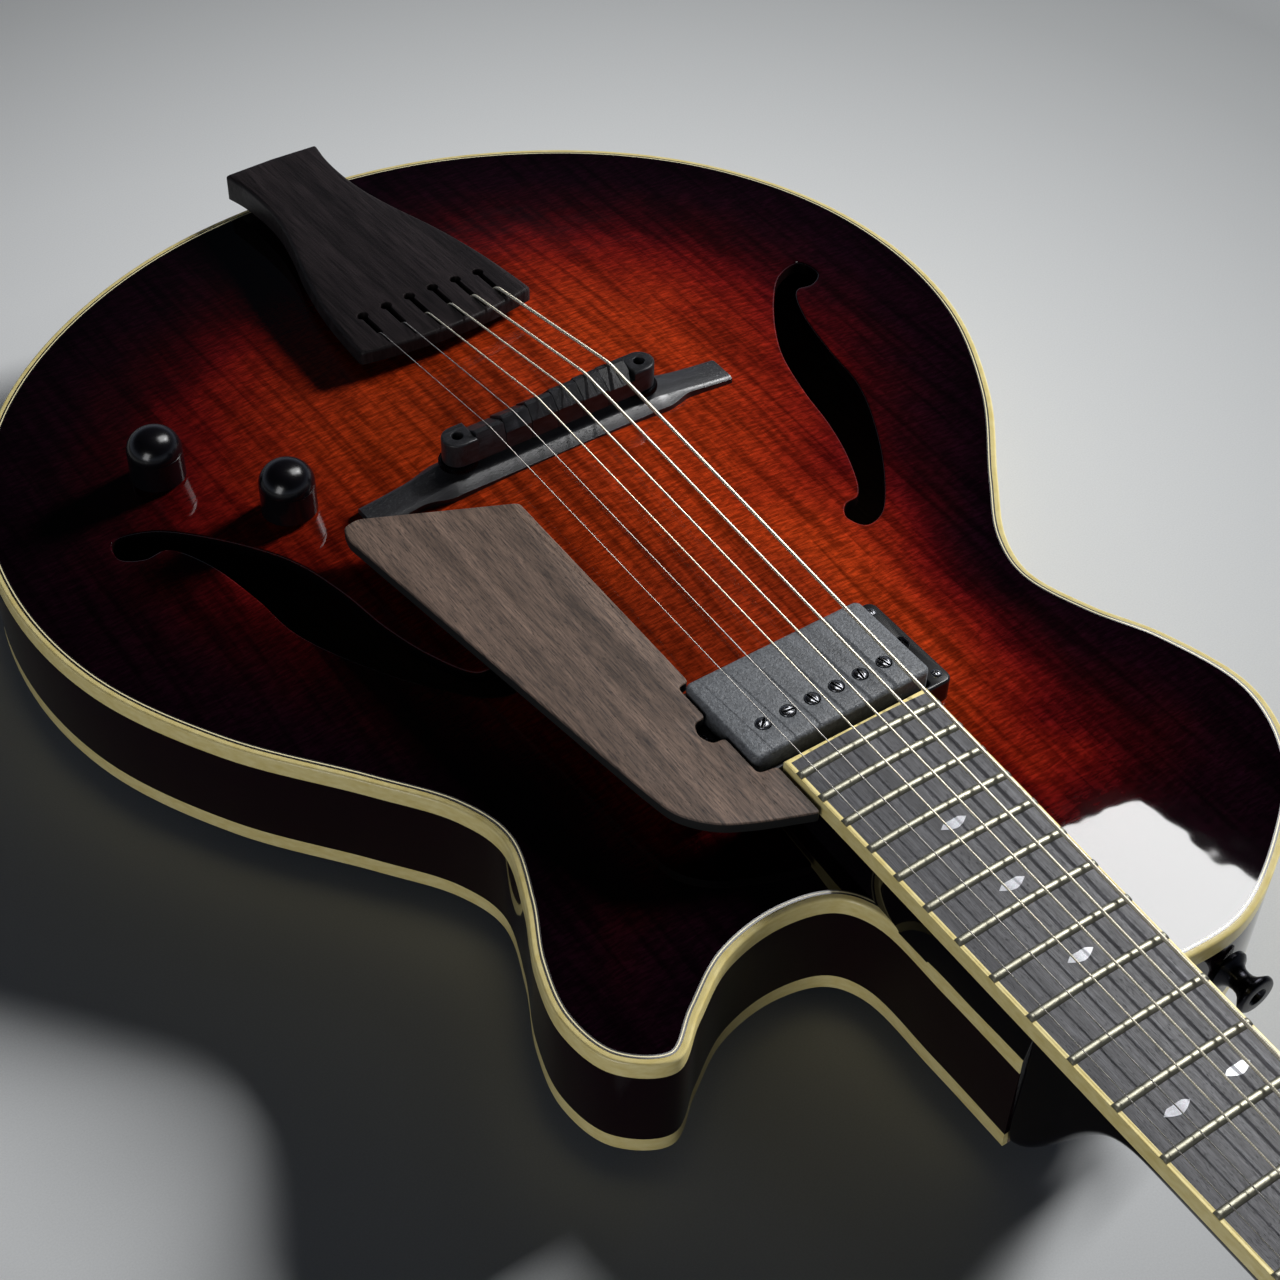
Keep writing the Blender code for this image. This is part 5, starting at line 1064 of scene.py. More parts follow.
def dense_wood(name, dark, light, pore, roughness, streak=(0.2, 7.6, 4), contrast=(0.36, 0.66),
               gloss=0.45):
    """Dense dark wood under oil: a low sheen, fine streaks, and pores that stay open.

    Sizes are in millimetres along x, y and z; the longest is along the grain.
    """
    made, tree, shader = finish(name, light, roughness, IOR=1.48, Specular_IOR_Level=gloss)
    fibre_noise = add(tree, "ShaderNodeTexNoise", {"Vector": stretched(tree, streak), "Detail": 5.0,
            "Roughness": 0.62})
    colour = add(tree, "ShaderNodeValToRGB", {"Fac": fibre_noise},
                 stops=((contrast[0], dark), (contrast[1], light)))
    wide = add(tree, "ShaderNodeTexNoise", {"Vector": stretched(tree, [s * VEIL_TIMES for s in streak]),
            "Detail": 3.0, "Distortion": 0.5})
    veil = add(tree, "ShaderNodeMapRange", {"Value": wide, "From Min": 0.35, "From Max": 0.65,
            "To Min": 0.62, "To Max": 1.22})
    pores = add(tree, "ShaderNodeTexNoise", {"Vector": stretched(tree, pore), "Detail": 2.0})
    pit = add(tree, "ShaderNodeMapRange", {"Value": pores, "From Min": 0.3, "From Max": 0.42,
            "To Min": 0.3, "To Max": 1.0})
    both = add(tree, "ShaderNodeMath", {0: veil, 1: pit}, operation="MULTIPLY")
    shaded = add(tree, "ShaderNodeVectorMath", {0: colour, "Scale": both}, operation="SCALE")
    feed(shader, {"Base Color": shaded})
    sheen = add(tree, "ShaderNodeMapRange", {"Value": fibre_noise, "To Min": roughness + 0.1,
            "To Max": roughness - 0.1})
    feed(shader, {"Roughness": sheen})
    bump = add(tree, "ShaderNodeBump", {"Height": pit, "Distance": PORE_DEPTH * MM})
    feed(shader, {"Normal": bump})
    return made


# The board's grey stands partly for the ebony and partly for a painted sheen.
EBONY_BOARD_AND_SHEEN = dense_wood("oiled_ebony_board", "#3b3b3e", "#606064", (0.2, 1.6, 1.2), 0.5)
sections = []
for y in np.linspace(BOARD_END_Y + BOARD_BINDING, NUT_Y - SEAT_GAP, BOARD_SECTIONS):
    half = board_half(y) - BOARD_BINDING
    xs = np.linspace(half, -half, BOARD_STEPS + 1)
    top = [(x, y, board_edge(y) + crown(x, half)) for x in xs]
    sections.append([(-half, y, glue_plane(y)), (half, y, glue_plane(y))] + top)
piece("ebony_fretboard", loft(sections), (EBONY_BOARD_AND_SHEEN,), replaces=("fretboard",))

edge_line = [(side * board_half(y), y) for side, y in
             ((-1, NUT_Y - SEAT_GAP), (-1, BOARD_END_Y), (1, BOARD_END_Y), (1, NUT_Y - SEAT_GAP))]
profile = [(0.0, -BOARD_THICKNESS)] + arc((EDGE_ROUND, -EDGE_ROUND), EDGE_ROUND, 180, 90)
profile += [(BOARD_BINDING, 0.0), (BOARD_BINDING, -BOARD_THICKNESS)]
lines = {d: offset(edge_line, d, closed=False) for d, _ in profile}
sections = [[(*lines[d][k], board_edge(edge_line[k][1]) + up) for d, up in profile] for k in range(4)]
piece("fretboard_celluloid", loft(sections), (CREAM,), replaces=("fretboard_binding",))
print("fretboard: %.1f mm long" % (NUT_Y - BOARD_END_Y))

# %% [markdown]
# ## Geometry Nodes for what repeats
# Frets, pole screws and the teeth of a knurled wheel repeat by a rule, so Geometry Nodes places
# them. The modifier's own mesh is one item, and each tree copies it. Every tree ends in the same
# two nodes: Realize Instances makes the copies real mesh, and Set Material dresses them. `run_nodes`
# sets the tree's inputs, lets Blender evaluate it once and keeps the plain mesh.

# %% Helpers for node trees
def node_group(name, inputs):
    """A geometry tree whose first input is the item to repeat; returns the tree and its input node."""
    tree = bpy.data.node_groups.new(name, "GeometryNodeTree")
    tree.is_modifier = True
    tree.interface.new_socket("Item", in_out="INPUT", socket_type="NodeSocketGeometry")
    tree.interface.new_socket("Copies", in_out="OUTPUT", socket_type="NodeSocketGeometry")
    for label, kind in inputs:
        tree.interface.new_socket(label, in_out="INPUT", socket_type="NodeSocket" + kind)
    return tree, tree.nodes.new("NodeGroupInput").outputs


def end_group(tree, instances, inputs, move=None):
    """Ends a tree: the copies become real, are moved if asked, and get their material."""
    real = add(tree, "GeometryNodeRealizeInstances", {"Geometry": instances})
    if move:
        real = add(tree, "GeometryNodeSetPosition", {"Geometry": real, "Offset": move})
    dressed = add(tree, "GeometryNodeSetMaterial", {"Geometry": real, "Material": inputs["Material"]})
    add(tree, "NodeGroupOutput", {"Copies": dressed})


def run_nodes(made, tree, **values):
    """Runs a tree on an object; values are the tree's inputs, written with underscores."""
    modifier = made.modifiers.new(tree.name, "NODES")
    modifier.node_group = tree
    for socket in tree.interface.items_tree:
        key = socket.name.replace(" ", "_")
        if key in values:
            modifier[socket.identifier] = values[key]
    evaluated = made.evaluated_get(bpy.context.evaluated_depsgraph_get())
    made.data = bpy.data.meshes.new_from_object(evaluated)
    made.modifiers.clear()


print("tree helpers:", node_group.__name__, end_group.__name__, run_nodes.__name__)

# %% [markdown]
# ## The rule of the frets
# Each fret stands where the rest of the string is shorter by the twelfth root of two. A line of
# points is moved to the places that the rule gives; a wire, one unit wide, goes on each point and is
# stretched to the board's width there; and at last all of them are bent over the crown. The rule is
# a list of small sums: each line names a result, the operation, and its two terms, and the loop
# makes one math node of each.

# %% The fret tree
fret_tree, given = node_group("frets", (("Frets", "Int"), ("Scale", "Float"), ("Nut Place", "Float"),
        ("Nut Width", "Float"), ("Flare", "Float"), ("Edge Height", "Float"), ("Slope", "Float"),
        ("Crown Radius", "Float"), ("Material", "Material")))
spot = add(fret_tree, "ShaderNodeSeparateXYZ", {0: add(fret_tree, "GeometryNodeInputPosition")})
known = {"index": add(fret_tree, "GeometryNodeInputIndex"),
         "x": spot.outputs["X"], "y": spot.outputs["Y"]}
known.update((socket.name, socket) for socket in given if socket.name)
SUMS = (("number", "ADD", "index", 1.0), ("octaves", "DIVIDE", "number", -12.0),
        ("ratio", "POWER", 2.0, "octaves"), ("stopped part", "SUBTRACT", 1.0, "ratio"),
        ("station", "MULTIPLY", "stopped part", "Scale"),
        ("fret y", "SUBTRACT", "Nut Place", "station"),
        ("flared", "MULTIPLY", "station", "Flare"), ("width", "ADD", "flared", "Nut Width"),
        ("fall", "MULTIPLY", "y", "Slope"), ("edge", "SUBTRACT", "Edge Height", "fall"),
        ("twice radius", "MULTIPLY", "Crown Radius", 2.0),
        ("x squared", "POWER", "x", 2.0), ("sag", "DIVIDE", "x squared", "twice radius"),
        ("from nut", "SUBTRACT", "Nut Place", "y"), ("flare here", "MULTIPLY", "from nut", "Flare"),
        ("width here", "ADD", "flare here", "Nut Width"), ("half", "DIVIDE", "width here", 2.0),
        ("half squared", "POWER", "half", 2.0),
        ("full crown", "DIVIDE", "half squared", "twice radius"),
        ("crown here", "SUBTRACT", "full crown", "sag"), ("rise", "ADD", "crown here", "edge"))
for name, operation, *terms in SUMS:
    inputs = {number: known.get(term, term) for number, term in enumerate(terms)}
    known[name] = add(fret_tree, "ShaderNodeMath", inputs, operation=operation)
points = add(fret_tree, "GeometryNodeMeshLine", {"Count": given["Frets"], "Offset": (0.0, 0.0, 0.0)})
place = add(fret_tree, "ShaderNodeCombineXYZ", {"Y": known["fret y"]})
placed = add(fret_tree, "GeometryNodeSetPosition", {"Geometry": points, "Position": place})
size = add(fret_tree, "ShaderNodeCombineXYZ", {"X": known["width"], "Y": 1.0, "Z": 1.0})
wires = add(fret_tree, "GeometryNodeInstanceOnPoints", {"Points": placed, "Instance": given["Item"],
        "Scale": size})
end_group(fret_tree, wires, given, add(fret_tree, "ShaderNodeCombineXYZ", {"Z": known["rise"]}))
print("fret tree:", len(fret_tree.nodes), "nodes")

# %% [markdown]
# Fret wire is drawn from nickel silver, a warm pale alloy, and its crown is polished lengthwise. The
# wire's ends are filed to a slope where they meet the edge of the binding.

# %% Nickel silver and the frets
FRET_WIDTH = 2.9
FRET_HEIGHT = 1.1
FRET_TANG = 0.5
FRET_END = 0.012
FILED_HEIGHT = 0.55
CROWN_SHARE = 0.48
WIRE_STEPS = 14
FRET_INSET = 0.25


def bright_metal(name, colour, roughness, grain_size, depth=0.01):
    """Drawn or turned bright metal: a sharp shine, broken by fine lines left by the tool."""
    return uneven_gloss(*finish(name, colour, roughness, Metallic=1.0), roughness, grain_size,
            (-0.1, 0.12), depth)


NICKEL_SILVER = bright_metal("nickel_silver_fret_wire", "#929081", 0.46, (2.4, 0.2, 0.2))
wire = []
shares = [-0.5, -0.5 + FRET_END, *np.linspace(-CROWN_SHARE, CROWN_SHARE, WIRE_STEPS), 0.5 - FRET_END, 0.5]
for share in shares:
    filed = FILED_HEIGHT if abs(share) == 0.5 else 1.0
    half_round = arc((0.0, 0.0), 1.0, 0, 180, 8)
    section = [(y * FRET_WIDTH / 2, z * FRET_HEIGHT * filed) for y, z in half_round]
    section += [(-FRET_WIDTH / 2, -FRET_TANG), (FRET_WIDTH / 2, -FRET_TANG)]
    wire.append([(share / MM, y, z) for y, z in section])
frets = piece("frets", loft(wire), (NICKEL_SILVER,))
flare = (LAST_FRET_WIDTH - NUT_WIDTH) / LAST_FRET_STATION
slope = math.tan(NECK_ANGLE)
edge_at_zero = RIM_TOP + BOARD_OVER_RIM + (NUT_Y - LAST_FRET_STATION) * slope
run_nodes(frets, fret_tree, Frets=FRET_COUNT, Scale=SCALE_LENGTH * MM, Nut_Place=NUT_Y * MM,
          Nut_Width=(NUT_WIDTH - 2 * FRET_INSET) * MM, Flare=flare, Edge_Height=edge_at_zero * MM,
          Slope=slope, Crown_Radius=BOARD_RADIUS * MM, Material=NICKEL_SILVER)
print("frets:", len(frets.data.polygons), "faces for", FRET_COUNT, "frets")

# %% [markdown]
# ## Inlays
# The markers are pointed ovals of pearl shell, set across the board at the third, fifth, seventh,
# ninth, fifteenth, seventeenth and nineteenth fret, and a pair at the twelfth. Pearl is built of thin
# layers, so its colour drifts between silver, pink and green; a strongly distorted noise, led
# through a ramp with those colours in turn, gives that drift.

# %% Pearl inlays
INLAY_LENGTH = 9.8
INLAY_WIDTH = 4.3
INLAY_PROUD = 0.06
INLAY_DEPTH = 0.6
INLAY_POWER = 1.7
INLAY_TIP = 0.04
INLAY_STEPS = 14
SINGLE_INLAYS = (3, 5, 7, 9, 15, 17, 19)
DOUBLE_INLAY = 12
DOUBLE_INLAY_X = 11.5


def pearl():
    """Ground and polished shell: pale layers that shimmer between cool and warm."""
    made, tree, shader = finish("pearl_shell", "#c8ccd3", 0.22, IOR=1.6, Coat_Weight=0.5,
            Coat_Roughness=0.08)
    mottled(tree, shader, (1.4, 0.6, 1.0),
            ((0.3, "#a9b3c0"), (0.44, "#d9dce0"), (0.52, "#c4bac6"), (0.62, "#b8c6c4"),
             (0.75, "#e6e8ea")), detail=5.0, distortion=2.2)
    return made


def board_top(x, y):
    """Height of the crowned face of the fretboard."""
    return board_edge(y) + crown(x, board_half(y) - BOARD_BINDING)


def fret_place(number):
    """Place of a fret along the neck."""
    return NUT_Y - SCALE_LENGTH * (1 - 2 ** (-number / 12))


PEARL = pearl()
spots = [(0.0, fret) for fret in SINGLE_INLAYS]
spots += [(side * DOUBLE_INLAY_X, DOUBLE_INLAY) for side in (-1, 1)]
for number, (x, fret) in enumerate(spots, start=1):
    middle_y = (fret_place(fret) + fret_place(fret - 1)) / 2
    sections = []
    for share in np.linspace(-1.0, 1.0, INLAY_STEPS + 1):
        here = x + share * INLAY_LENGTH / 2
        half = max(INLAY_WIDTH / 2 * (1 - abs(share) ** INLAY_POWER), INLAY_TIP)
        high = board_top(here, middle_y) + INLAY_PROUD
        under = high - INLAY_DEPTH
        corners_here = ((-half, high), (half, high), (half, under), (-half, under))
        sections.append([(here, middle_y + y, z) for y, z in corners_here])
    piece("inlay_%d" % number, loft(sections), (PEARL,))
print("inlays:", len(spots))

# %% [markdown]
# ## The nut
# The nut is a block of bone. Each string lies in its own slot, filed just deeper than half the
# string, and the block's top corners are eased so that they don't catch the hand.

# %% Bone nut
STRING_DIAMETERS = (0.33, 0.43, 0.61, 0.81, 1.07, 1.32)
STRING_COUNT = len(STRING_DIAMETERS)
NUT_SPREAD = 7.0
NUT_RISE = 1.6
NUT_LIP = 0.8
NUT_EASE = 0.5
SLOT_PLAY = 0.25
SLOT_SINK = 0.1
SLOT_MOUTH = (0.3, 0.25)
SLOT_STEPS = 6
NUT_TAPER = 0.01


def string_x(number, spread):
    """Place of a string, counted from the treble side."""
    return ((STRING_COUNT - 1) / 2 - number) * spread


def nut_height(x):
    """Height of a string's middle in the nut."""
    return board_edge(NUT_Y) + crown(x, NUT_WIDTH / 2) + NUT_RISE


def bone():
    """Polished bone: warm white, slightly see-through, with short darker pores."""
    made, tree, shader = finish("polished_bone", "#ded6c0", 0.35, IOR=1.54, Subsurface_Weight=0.1,
            Subsurface_Scale=0.002)
    mottled(tree, shader, (0.8, 0.2, 0.2), ((0.35, "#d2c9b0"), (0.7, "#e7e0cd")), detail=3.0)
    return made


half = NUT_WIDTH / 2
top_line = [(half, board_edge(NUT_Y) + NUT_LIP)]
for number, diameter in enumerate(STRING_DIAMETERS):
    x, wide = string_x(number, NUT_SPREAD), diameter / 2 + SLOT_PLAY
    rim = nut_height(x) + NUT_LIP
    mouth, mouth_depth = SLOT_MOUTH
    top_line += [(x + wide + mouth, rim), (x + wide, rim - mouth_depth)]
    top_line += arc((x, nut_height(x) - SLOT_SINK), wide, 0, -180, SLOT_STEPS)
    top_line += [(x - wide, rim - mouth_depth), (x - wide - mouth, rim)]
top_line.append((-half, board_edge(NUT_Y) + NUT_LIP))
sections = []
for across, ease in ((0.0, NUT_EASE), (NUT_EASE, 0.0), (NUT_THICKNESS - NUT_EASE, 0.0),
                     (NUT_THICKNESS, NUT_EASE)):
    y, drop = NUT_Y + across, across * math.tan(NECK_ANGLE)
    low = glue_plane(NUT_Y) - drop
    sections.append([(-half, y, low), (half, y, low)]
                    + [(x * (1 - NUT_TAPER * ease), y, z - drop - ease) for x, z in top_line])
piece("bone_nut", loft(sections), (bone(),), replaces=("nut",))
print("nut slots:", STRING_COUNT)

# %% [markdown]
# ## The strings
# Two plain steel strings and four wound ones run from the tailpiece over the bridge and the nut to
# the tuners. A string is bent over the saddle and the nut in a small curve, so each corner of its
# route is softened before a round tube is swept along it. Every point of the tube also stores how
# far along the string it lies, for the windings.

# %% Tubes along a route
TUBE_SIDES = 14
LONGEST_SHARE = 0.45


def soften(points, reach, steps=5):
    """Replaces each corner of a route by a short curve, which takes less than half of each side."""
    points = [np.array(p, float) for p in points]
    route = [points[0]]
    for before, here, after in zip(points, points[1:], points[2:]):
        near = [here + (end - here) * min(LONGEST_SHARE, reach / np.linalg.norm(end - here))
                for end in (before, after)]
        for share in np.linspace(0.0, 1.0, steps + 1):
            route.append((1 - share) ** 2 * near[0] + 2 * share * (1 - share) * here
                         + share ** 2 * near[1])
    return np.array(route + [points[-1]])


def tube(route, radius, sides=TUBE_SIDES):
    """A round tube along a route, with its ends closed."""
    route = np.array(route, float)
    along = np.gradient(route, axis=0)
    along /= np.linalg.norm(along, axis=1, keepdims=True)
    side = np.cross(along[0], (0.0, 0.0, 1.0))
    if np.linalg.norm(side) < 1e-3:
        side = np.array((1.0, 0.0, 0.0))
    sections = []
    for place, way in zip(route, along):
        side = side - way * (side @ way)
        side /= np.linalg.norm(side)
        up = np.cross(way, side)
        sections.append([place + radius * (side * math.cos(a) + up * math.sin(a))
                for a in np.linspace(0.0, 2 * math.pi, sides, endpoint=False)])
    return loft(sections)


def store_length(made, route, sides=TUBE_SIDES):
    """Stores on each point of a tube how far along the route it lies, in metres."""
    steps = np.linalg.norm(np.diff(np.array(route), axis=0), axis=1)
    length = np.concatenate([[0.0], np.cumsum(steps)]) * MM
    values = np.repeat(length, sides)
    made.data.attributes.new("along", "FLOAT", "POINT").data.foreach_set("value", values)


print("a string's tube has", TUBE_SIDES, "sides")

# %% [markdown]
# A wound string is a steel core with round wire wrapped tightly round it, so it glitters in fine
# rings where a plain string shows one clean line of light. A sine of the stored length gives the
# rings. Real wraps, up to a quarter of a millimetre apart, are too fine to show, so these are drawn
# about three times as coarse.

# %% Plain and wound string metal
WINDING_PITCH = 0.7
WINDING_DEPTH = 0.015


def wound_wire():
    """Round-wound nickel: a warm broken line of light, its colour painted darker between the wraps as
    shade.
    """
    made, tree, shader = finish("round_wound_nickel", "#f6efda", 0.42, Metallic=1.0)
    along = add(tree, "ShaderNodeAttribute", attribute_name="along")
    turns = add(tree, "ShaderNodeMath", {0: along.outputs["Fac"], 1: 2 * math.pi / (WINDING_PITCH * MM)},
                operation="MULTIPLY")
    wave = add(tree, "ShaderNodeMath", {0: turns}, operation="SINE")
    height = add(tree, "ShaderNodeMapRange", {"Value": wave, "From Min": -1.0})
    # Painted shade: the ramp darkens the metal's colour in the grooves between the wraps.
    colour = add(tree, "ShaderNodeValToRGB", {"Fac": height},
                 stops=((0.0, "#ddd3b8"), (0.45, "#fdf6e2")))
    feed(shader, {"Base Color": colour})
    bump = add(tree, "ShaderNodeBump", {"Height": height, "Distance": WINDING_DEPTH * MM})
    feed(shader, {"Normal": bump})
    return made


PLAIN_STEEL = bright_metal("plain_string_steel", "#b8b4ad", 0.36, (0.2, 4.0, 0.2), 0.001)
WOUND = wound_wire()
print("string metals:", PLAIN_STEEL.name, WOUND.name)

# %% [markdown]
# ## The routes of the strings
# A string's route has five marks before it reaches its post: its seat in the tailpiece, the
# tailpiece's lip, the saddle and both edges of the nut. The mark on the saddle lies nearer the tail
# for a thicker string. From the nut it runs to its own post and winds round it two and a half times.

# %% Marks and heights on the routes
SADDLE_SPREAD = 10.7
TAIL_SPREAD = 10.0
BRIDGE_Y = (corners("bridge_saddle")[0].y + corners("bridge_saddle")[1].y) / 2
SADDLE_TOP = 33.0
SADDLE_CROWN_HALF = 15.0
COMPENSATION = 2.9
TAILPIECE_TAIL_Y = corners("tailpiece")[0].y
KEYHOLE_SETBACK = 19.0
SLOT_LENGTH = 13.0
TUNER_FIRST = 38.0
TUNER_SPACING = 37.0
TUNER_X = 19.0
POST_RADIUS = 3.0
WRAP_HEIGHT = 6.4
WRAP_TURNS = 2.5
WRAP_SPACE = 0.12
WRAP_STEPS = 20
STRING_SEAT = 4.0
STRING_SPACE = 0.1
NUT_OVERHANG = 0.5
BEND_REACH = 2.2
TAILPIECE_PLAN = ((0.0, 20.8), (12.0, 18.9), (27.0, 18.3), (42.0, 19.3), (60.0, 23.0),
                  (80.0, 28.6), (105.0, 33.6), (127.0, 36.0), (138.5, 36.8))
TAILPIECE_LENGTH, TAILPIECE_FRONT_HALF = TAILPIECE_PLAN[-1]
TAILPIECE_TAIL_TOP = 12.4
TAILPIECE_FRONT_TOP = 21.2
TAILPIECE_CROWN = 2.0
CROWN_LIFT = 0.75


def tailpiece_top(x, y):
    """Height of the tailpiece's top: it rises to the front and is crowned across."""
    share = (y - TAILPIECE_TAIL_Y) / TAILPIECE_LENGTH
    middle_z = TAILPIECE_TAIL_TOP + (TAILPIECE_FRONT_TOP - TAILPIECE_TAIL_TOP) * share
    return RIM_TOP + middle_z + TAILPIECE_CROWN * (CROWN_LIFT - (x / TAILPIECE_FRONT_HALF) ** 2)


def saddle_height(x):
    """Height of the saddle's crest."""
    return RIM_TOP + SADDLE_TOP + crown(x, SADDLE_CROWN_HALF)


def saddle_shift(number):
    """How far a string's rest on the saddle lies towards the tail."""
    middle_string = (STRING_COUNT - 1) / 2
    return COMPENSATION * (number - middle_string) / middle_string


def tuner_places():
    """Side and distance beyond the nut of each tuner, in the order of the strings."""
    alongs = [TUNER_FIRST + TUNER_SPACING * k for k in range(3)]
    return [(1, a) for a in alongs] + [(-1, a) for a in reversed(alongs)]


print("saddle's crest: %.1f mm over the rim" % (saddle_height(0.0) - RIM_TOP))

# %% [markdown]
# Each string is a softened route swept by a tube. The thick ones get the wound metal.

# %% Six strings
keyhole_y = TAILPIECE_TAIL_Y + TAILPIECE_LENGTH - KEYHOLE_SETBACK
for number, diameter in enumerate(STRING_DIAMETERS):
    radius = diameter / 2
    x_tail, x_saddle, x_nut = (string_x(number, s) for s in (TAIL_SPREAD, SADDLE_SPREAD, NUT_SPREAD))
    exit_y = keyhole_y + SLOT_LENGTH
    lip = tailpiece_top(x_tail, exit_y)
    over = radius + STRING_SPACE
    route = [(x_tail, exit_y - STRING_SEAT, lip - STRING_SEAT),
             (x_tail, exit_y + radius + over, lip + over),
             (x_saddle, BRIDGE_Y - saddle_shift(number), saddle_height(x_saddle) + over),
             (x_nut, NUT_Y - NUT_OVERHANG, nut_height(x_nut)),
             (x_nut, NUT_Y + NUT_THICKNESS + NUT_OVERHANG, nut_height(x_nut) - NUT_OVERHANG)]
    side, beyond = tuner_places()[number]
    wrap = POST_RADIUS + SEAT_GAP + radius
    start = math.pi if side > 0 else 0.0
    coil = []
    for step in range(int(WRAP_STEPS * WRAP_TURNS) + 1):
        angle = start - side * 2 * math.pi * step / WRAP_STEPS
        up = WRAP_HEIGHT - (diameter + WRAP_SPACE) * step / WRAP_STEPS
        across, along = side * TUNER_X + wrap * math.cos(angle), beyond + wrap * math.sin(angle)
        coil.append(HEAD_FRAME @ Vector((across, along, up)))
    route = np.vstack([soften(route + [coil[0]], BEND_REACH), [tuple(p) for p in coil[1:]]])
    name = "string_%d" % (number + 1)
    made = piece(name + "_wire", tube(route, radius), (PLAIN_STEEL if number < 2 else WOUND,),
                 replaces=(name,), sharp=60.0)
    store_length(made, route)
print("strings:", STRING_COUNT)

# %% [markdown]
# ## Turned, joined and softened shapes
# The fittings need a few more ways to make a shape. A lathe spins a profile round an axis, several
# shapes can be joined into one piece, and a plan line with hard corners can be softened by the same
# curve that bends the strings.

# %% More ways to make a shape
def turned(profile, place=(0.0, 0.0, 0.0), axis=(0.0, 0.0, 1.0), segments=48, bored=False):
    """A shape from a lathe: pairs of radius and height round an axis; a bored one is a closed loop."""
    turn = Vector((0.0, 0.0, 1.0)).rotation_difference(Vector(axis)).to_matrix()
    sweep = np.linspace(0.0, 2 * math.pi, segments, endpoint=False)
    return loft([[Vector(place) + turn @ Vector((r * math.cos(a), r * math.sin(a), h)) for a in sweep]
                 for r, h in profile], closed=bored)


def joined(*shapes):
    """Several shapes as one."""
    points, faces = [], []
    for shape in shapes:
        start = len(points)
        points += [tuple(p) for p in shape[0]]
        faces += [tuple(i + start for i in face) for face in shape[1]]
    return points, faces


def eased(points, reach, steps=4):
    """A closed plan line whose corners are rounded."""
    points = np.array(points, float)
    middle_of_last = (points[-1] + points[0]) / 2
    route = soften([middle_of_last, *points, middle_of_last], reach, steps)[:-1]
    return route[np.linalg.norm(route - np.roll(route, 1, axis=0), axis=1) > 0.01]


def level(height):
    """A height function of a flat face."""
    return lambda x, y: np.full(np.shape(x), height)


print("a turned ring has", len(turned(((2.0, 0.0), (3.0, 0.0), (3.0, 1.0)), bored=True)[1]), "faces")

# %% [markdown]
# ## The tailpiece
# The tailpiece is carved from one board of dark rosewood. It is thick where the cable holds it and
# thin at the front, where each string's ball end drops into a keyhole and the string leaves through
# a fine saw kerf. It is a plate between two height functions, as the top is.

# %% The tailpiece
TAILPIECE_BOW = 7.0
TAILPIECE_TAIL_THICKNESS = 11.0
TAILPIECE_FRONT_THICKNESS = 5.8
TAILPIECE_EDGE = 1.5
TAILPIECE_CORNER = 2.0
KEYHOLE_RADIUS = 2.2
SLOT_WIDTH = 2.2
KERF_WIDTH = 0.7
KERF_START = 14.2
KERF_LIP = 2.6
KEYHOLE_EDGE = 0.25
FRONT_STEPS = 12

rosewood = dense_wood("dark_rosewood_tailpiece", "#0f0c0d", "#2d2728", (0.2, 1.2, 0.9), 0.5,
                      streak=(0.52, 18, 4.8), contrast=(0.36, 0.76), gloss=0.15)
half_line = smooth_path(TAILPIECE_PLAN, 5)
right_side = [(half, TAILPIECE_TAIL_Y + along) for along, half in half_line]
front_y = TAILPIECE_TAIL_Y + TAILPIECE_LENGTH
front = [(TAILPIECE_FRONT_HALF * s, front_y + TAILPIECE_BOW * (1 - s * s))
         for s in np.linspace(1.0, -1.0, FRONT_STEPS + 1)[1:-1]]
left_side = [(-x, y) for x, y in reversed(right_side)]
keyholes = []
opening = math.degrees(math.asin(SLOT_WIDTH / 2 / KEYHOLE_RADIUS))
for number in range(STRING_COUNT):
    x = string_x(number, TAIL_SPREAD)
    bow_y = front_y + TAILPIECE_BOW * (1 - (x / TAILPIECE_FRONT_HALF) ** 2) - KERF_LIP
    loop = arc((x, keyhole_y), KEYHOLE_RADIUS, 90 + opening, 450 - opening, 16)
    narrowing = ((SLOT_WIDTH / 2, keyhole_y + SLOT_LENGTH), (KERF_WIDTH / 2, keyhole_y + KERF_START),
                 (KERF_WIDTH / 2, bow_y))
    loop += [(x + reach, y) for reach, y in narrowing] + [(x - reach, y) for reach, y in narrowing[::-1]]
    keyholes.append((clockwise(np.array(loop)), KEYHOLE_EDGE))


def tailpiece_under(x, y):
    """Height of its underside: the board thins towards the front."""
    share = (y - TAILPIECE_TAIL_Y) / TAILPIECE_LENGTH
    thin = (TAILPIECE_FRONT_THICKNESS - TAILPIECE_TAIL_THICKNESS) * share
    return tailpiece_top(x, y) - TAILPIECE_TAIL_THICKNESS - thin


outline = eased(right_side + front + left_side, TAILPIECE_CORNER, 2)
shape = plate([(outline, TAILPIECE_EDGE)] + keyholes, tailpiece_top, tailpiece_under, cell=3.0)
piece("rosewood_tailpiece", shape[:2], (rosewood,), replaces=("tailpiece",))
print("keyholes:", len(keyholes))

# %% [markdown]
# ## Black fittings
# Most fittings are black in one of two ways. Plated steel is a metal whose own colour is almost
# black, under a fairly sharp reflection. Moulded plastic is black all through, and its gloss depends
# on how finely the mould was polished. Wear and moulded pits are both finer than a pixel, so they
# are drawn at two or three tenths of a millimetre.

# %% Black metal and black plastic
WEAR_SIZE = (0.28, 0.28, 0.28)
WEAR_DEPTH = 0.006
PIT_SIZE = (0.2, 0.2, 0.2)


def black_metal(name, colour, roughness):
    """Plating that is black in itself: a sharp, slightly scuffed reflection."""
    return uneven_gloss(*finish(name, colour, roughness, Metallic=1.0), roughness, WEAR_SIZE,
            (-0.06, 0.1), WEAR_DEPTH)


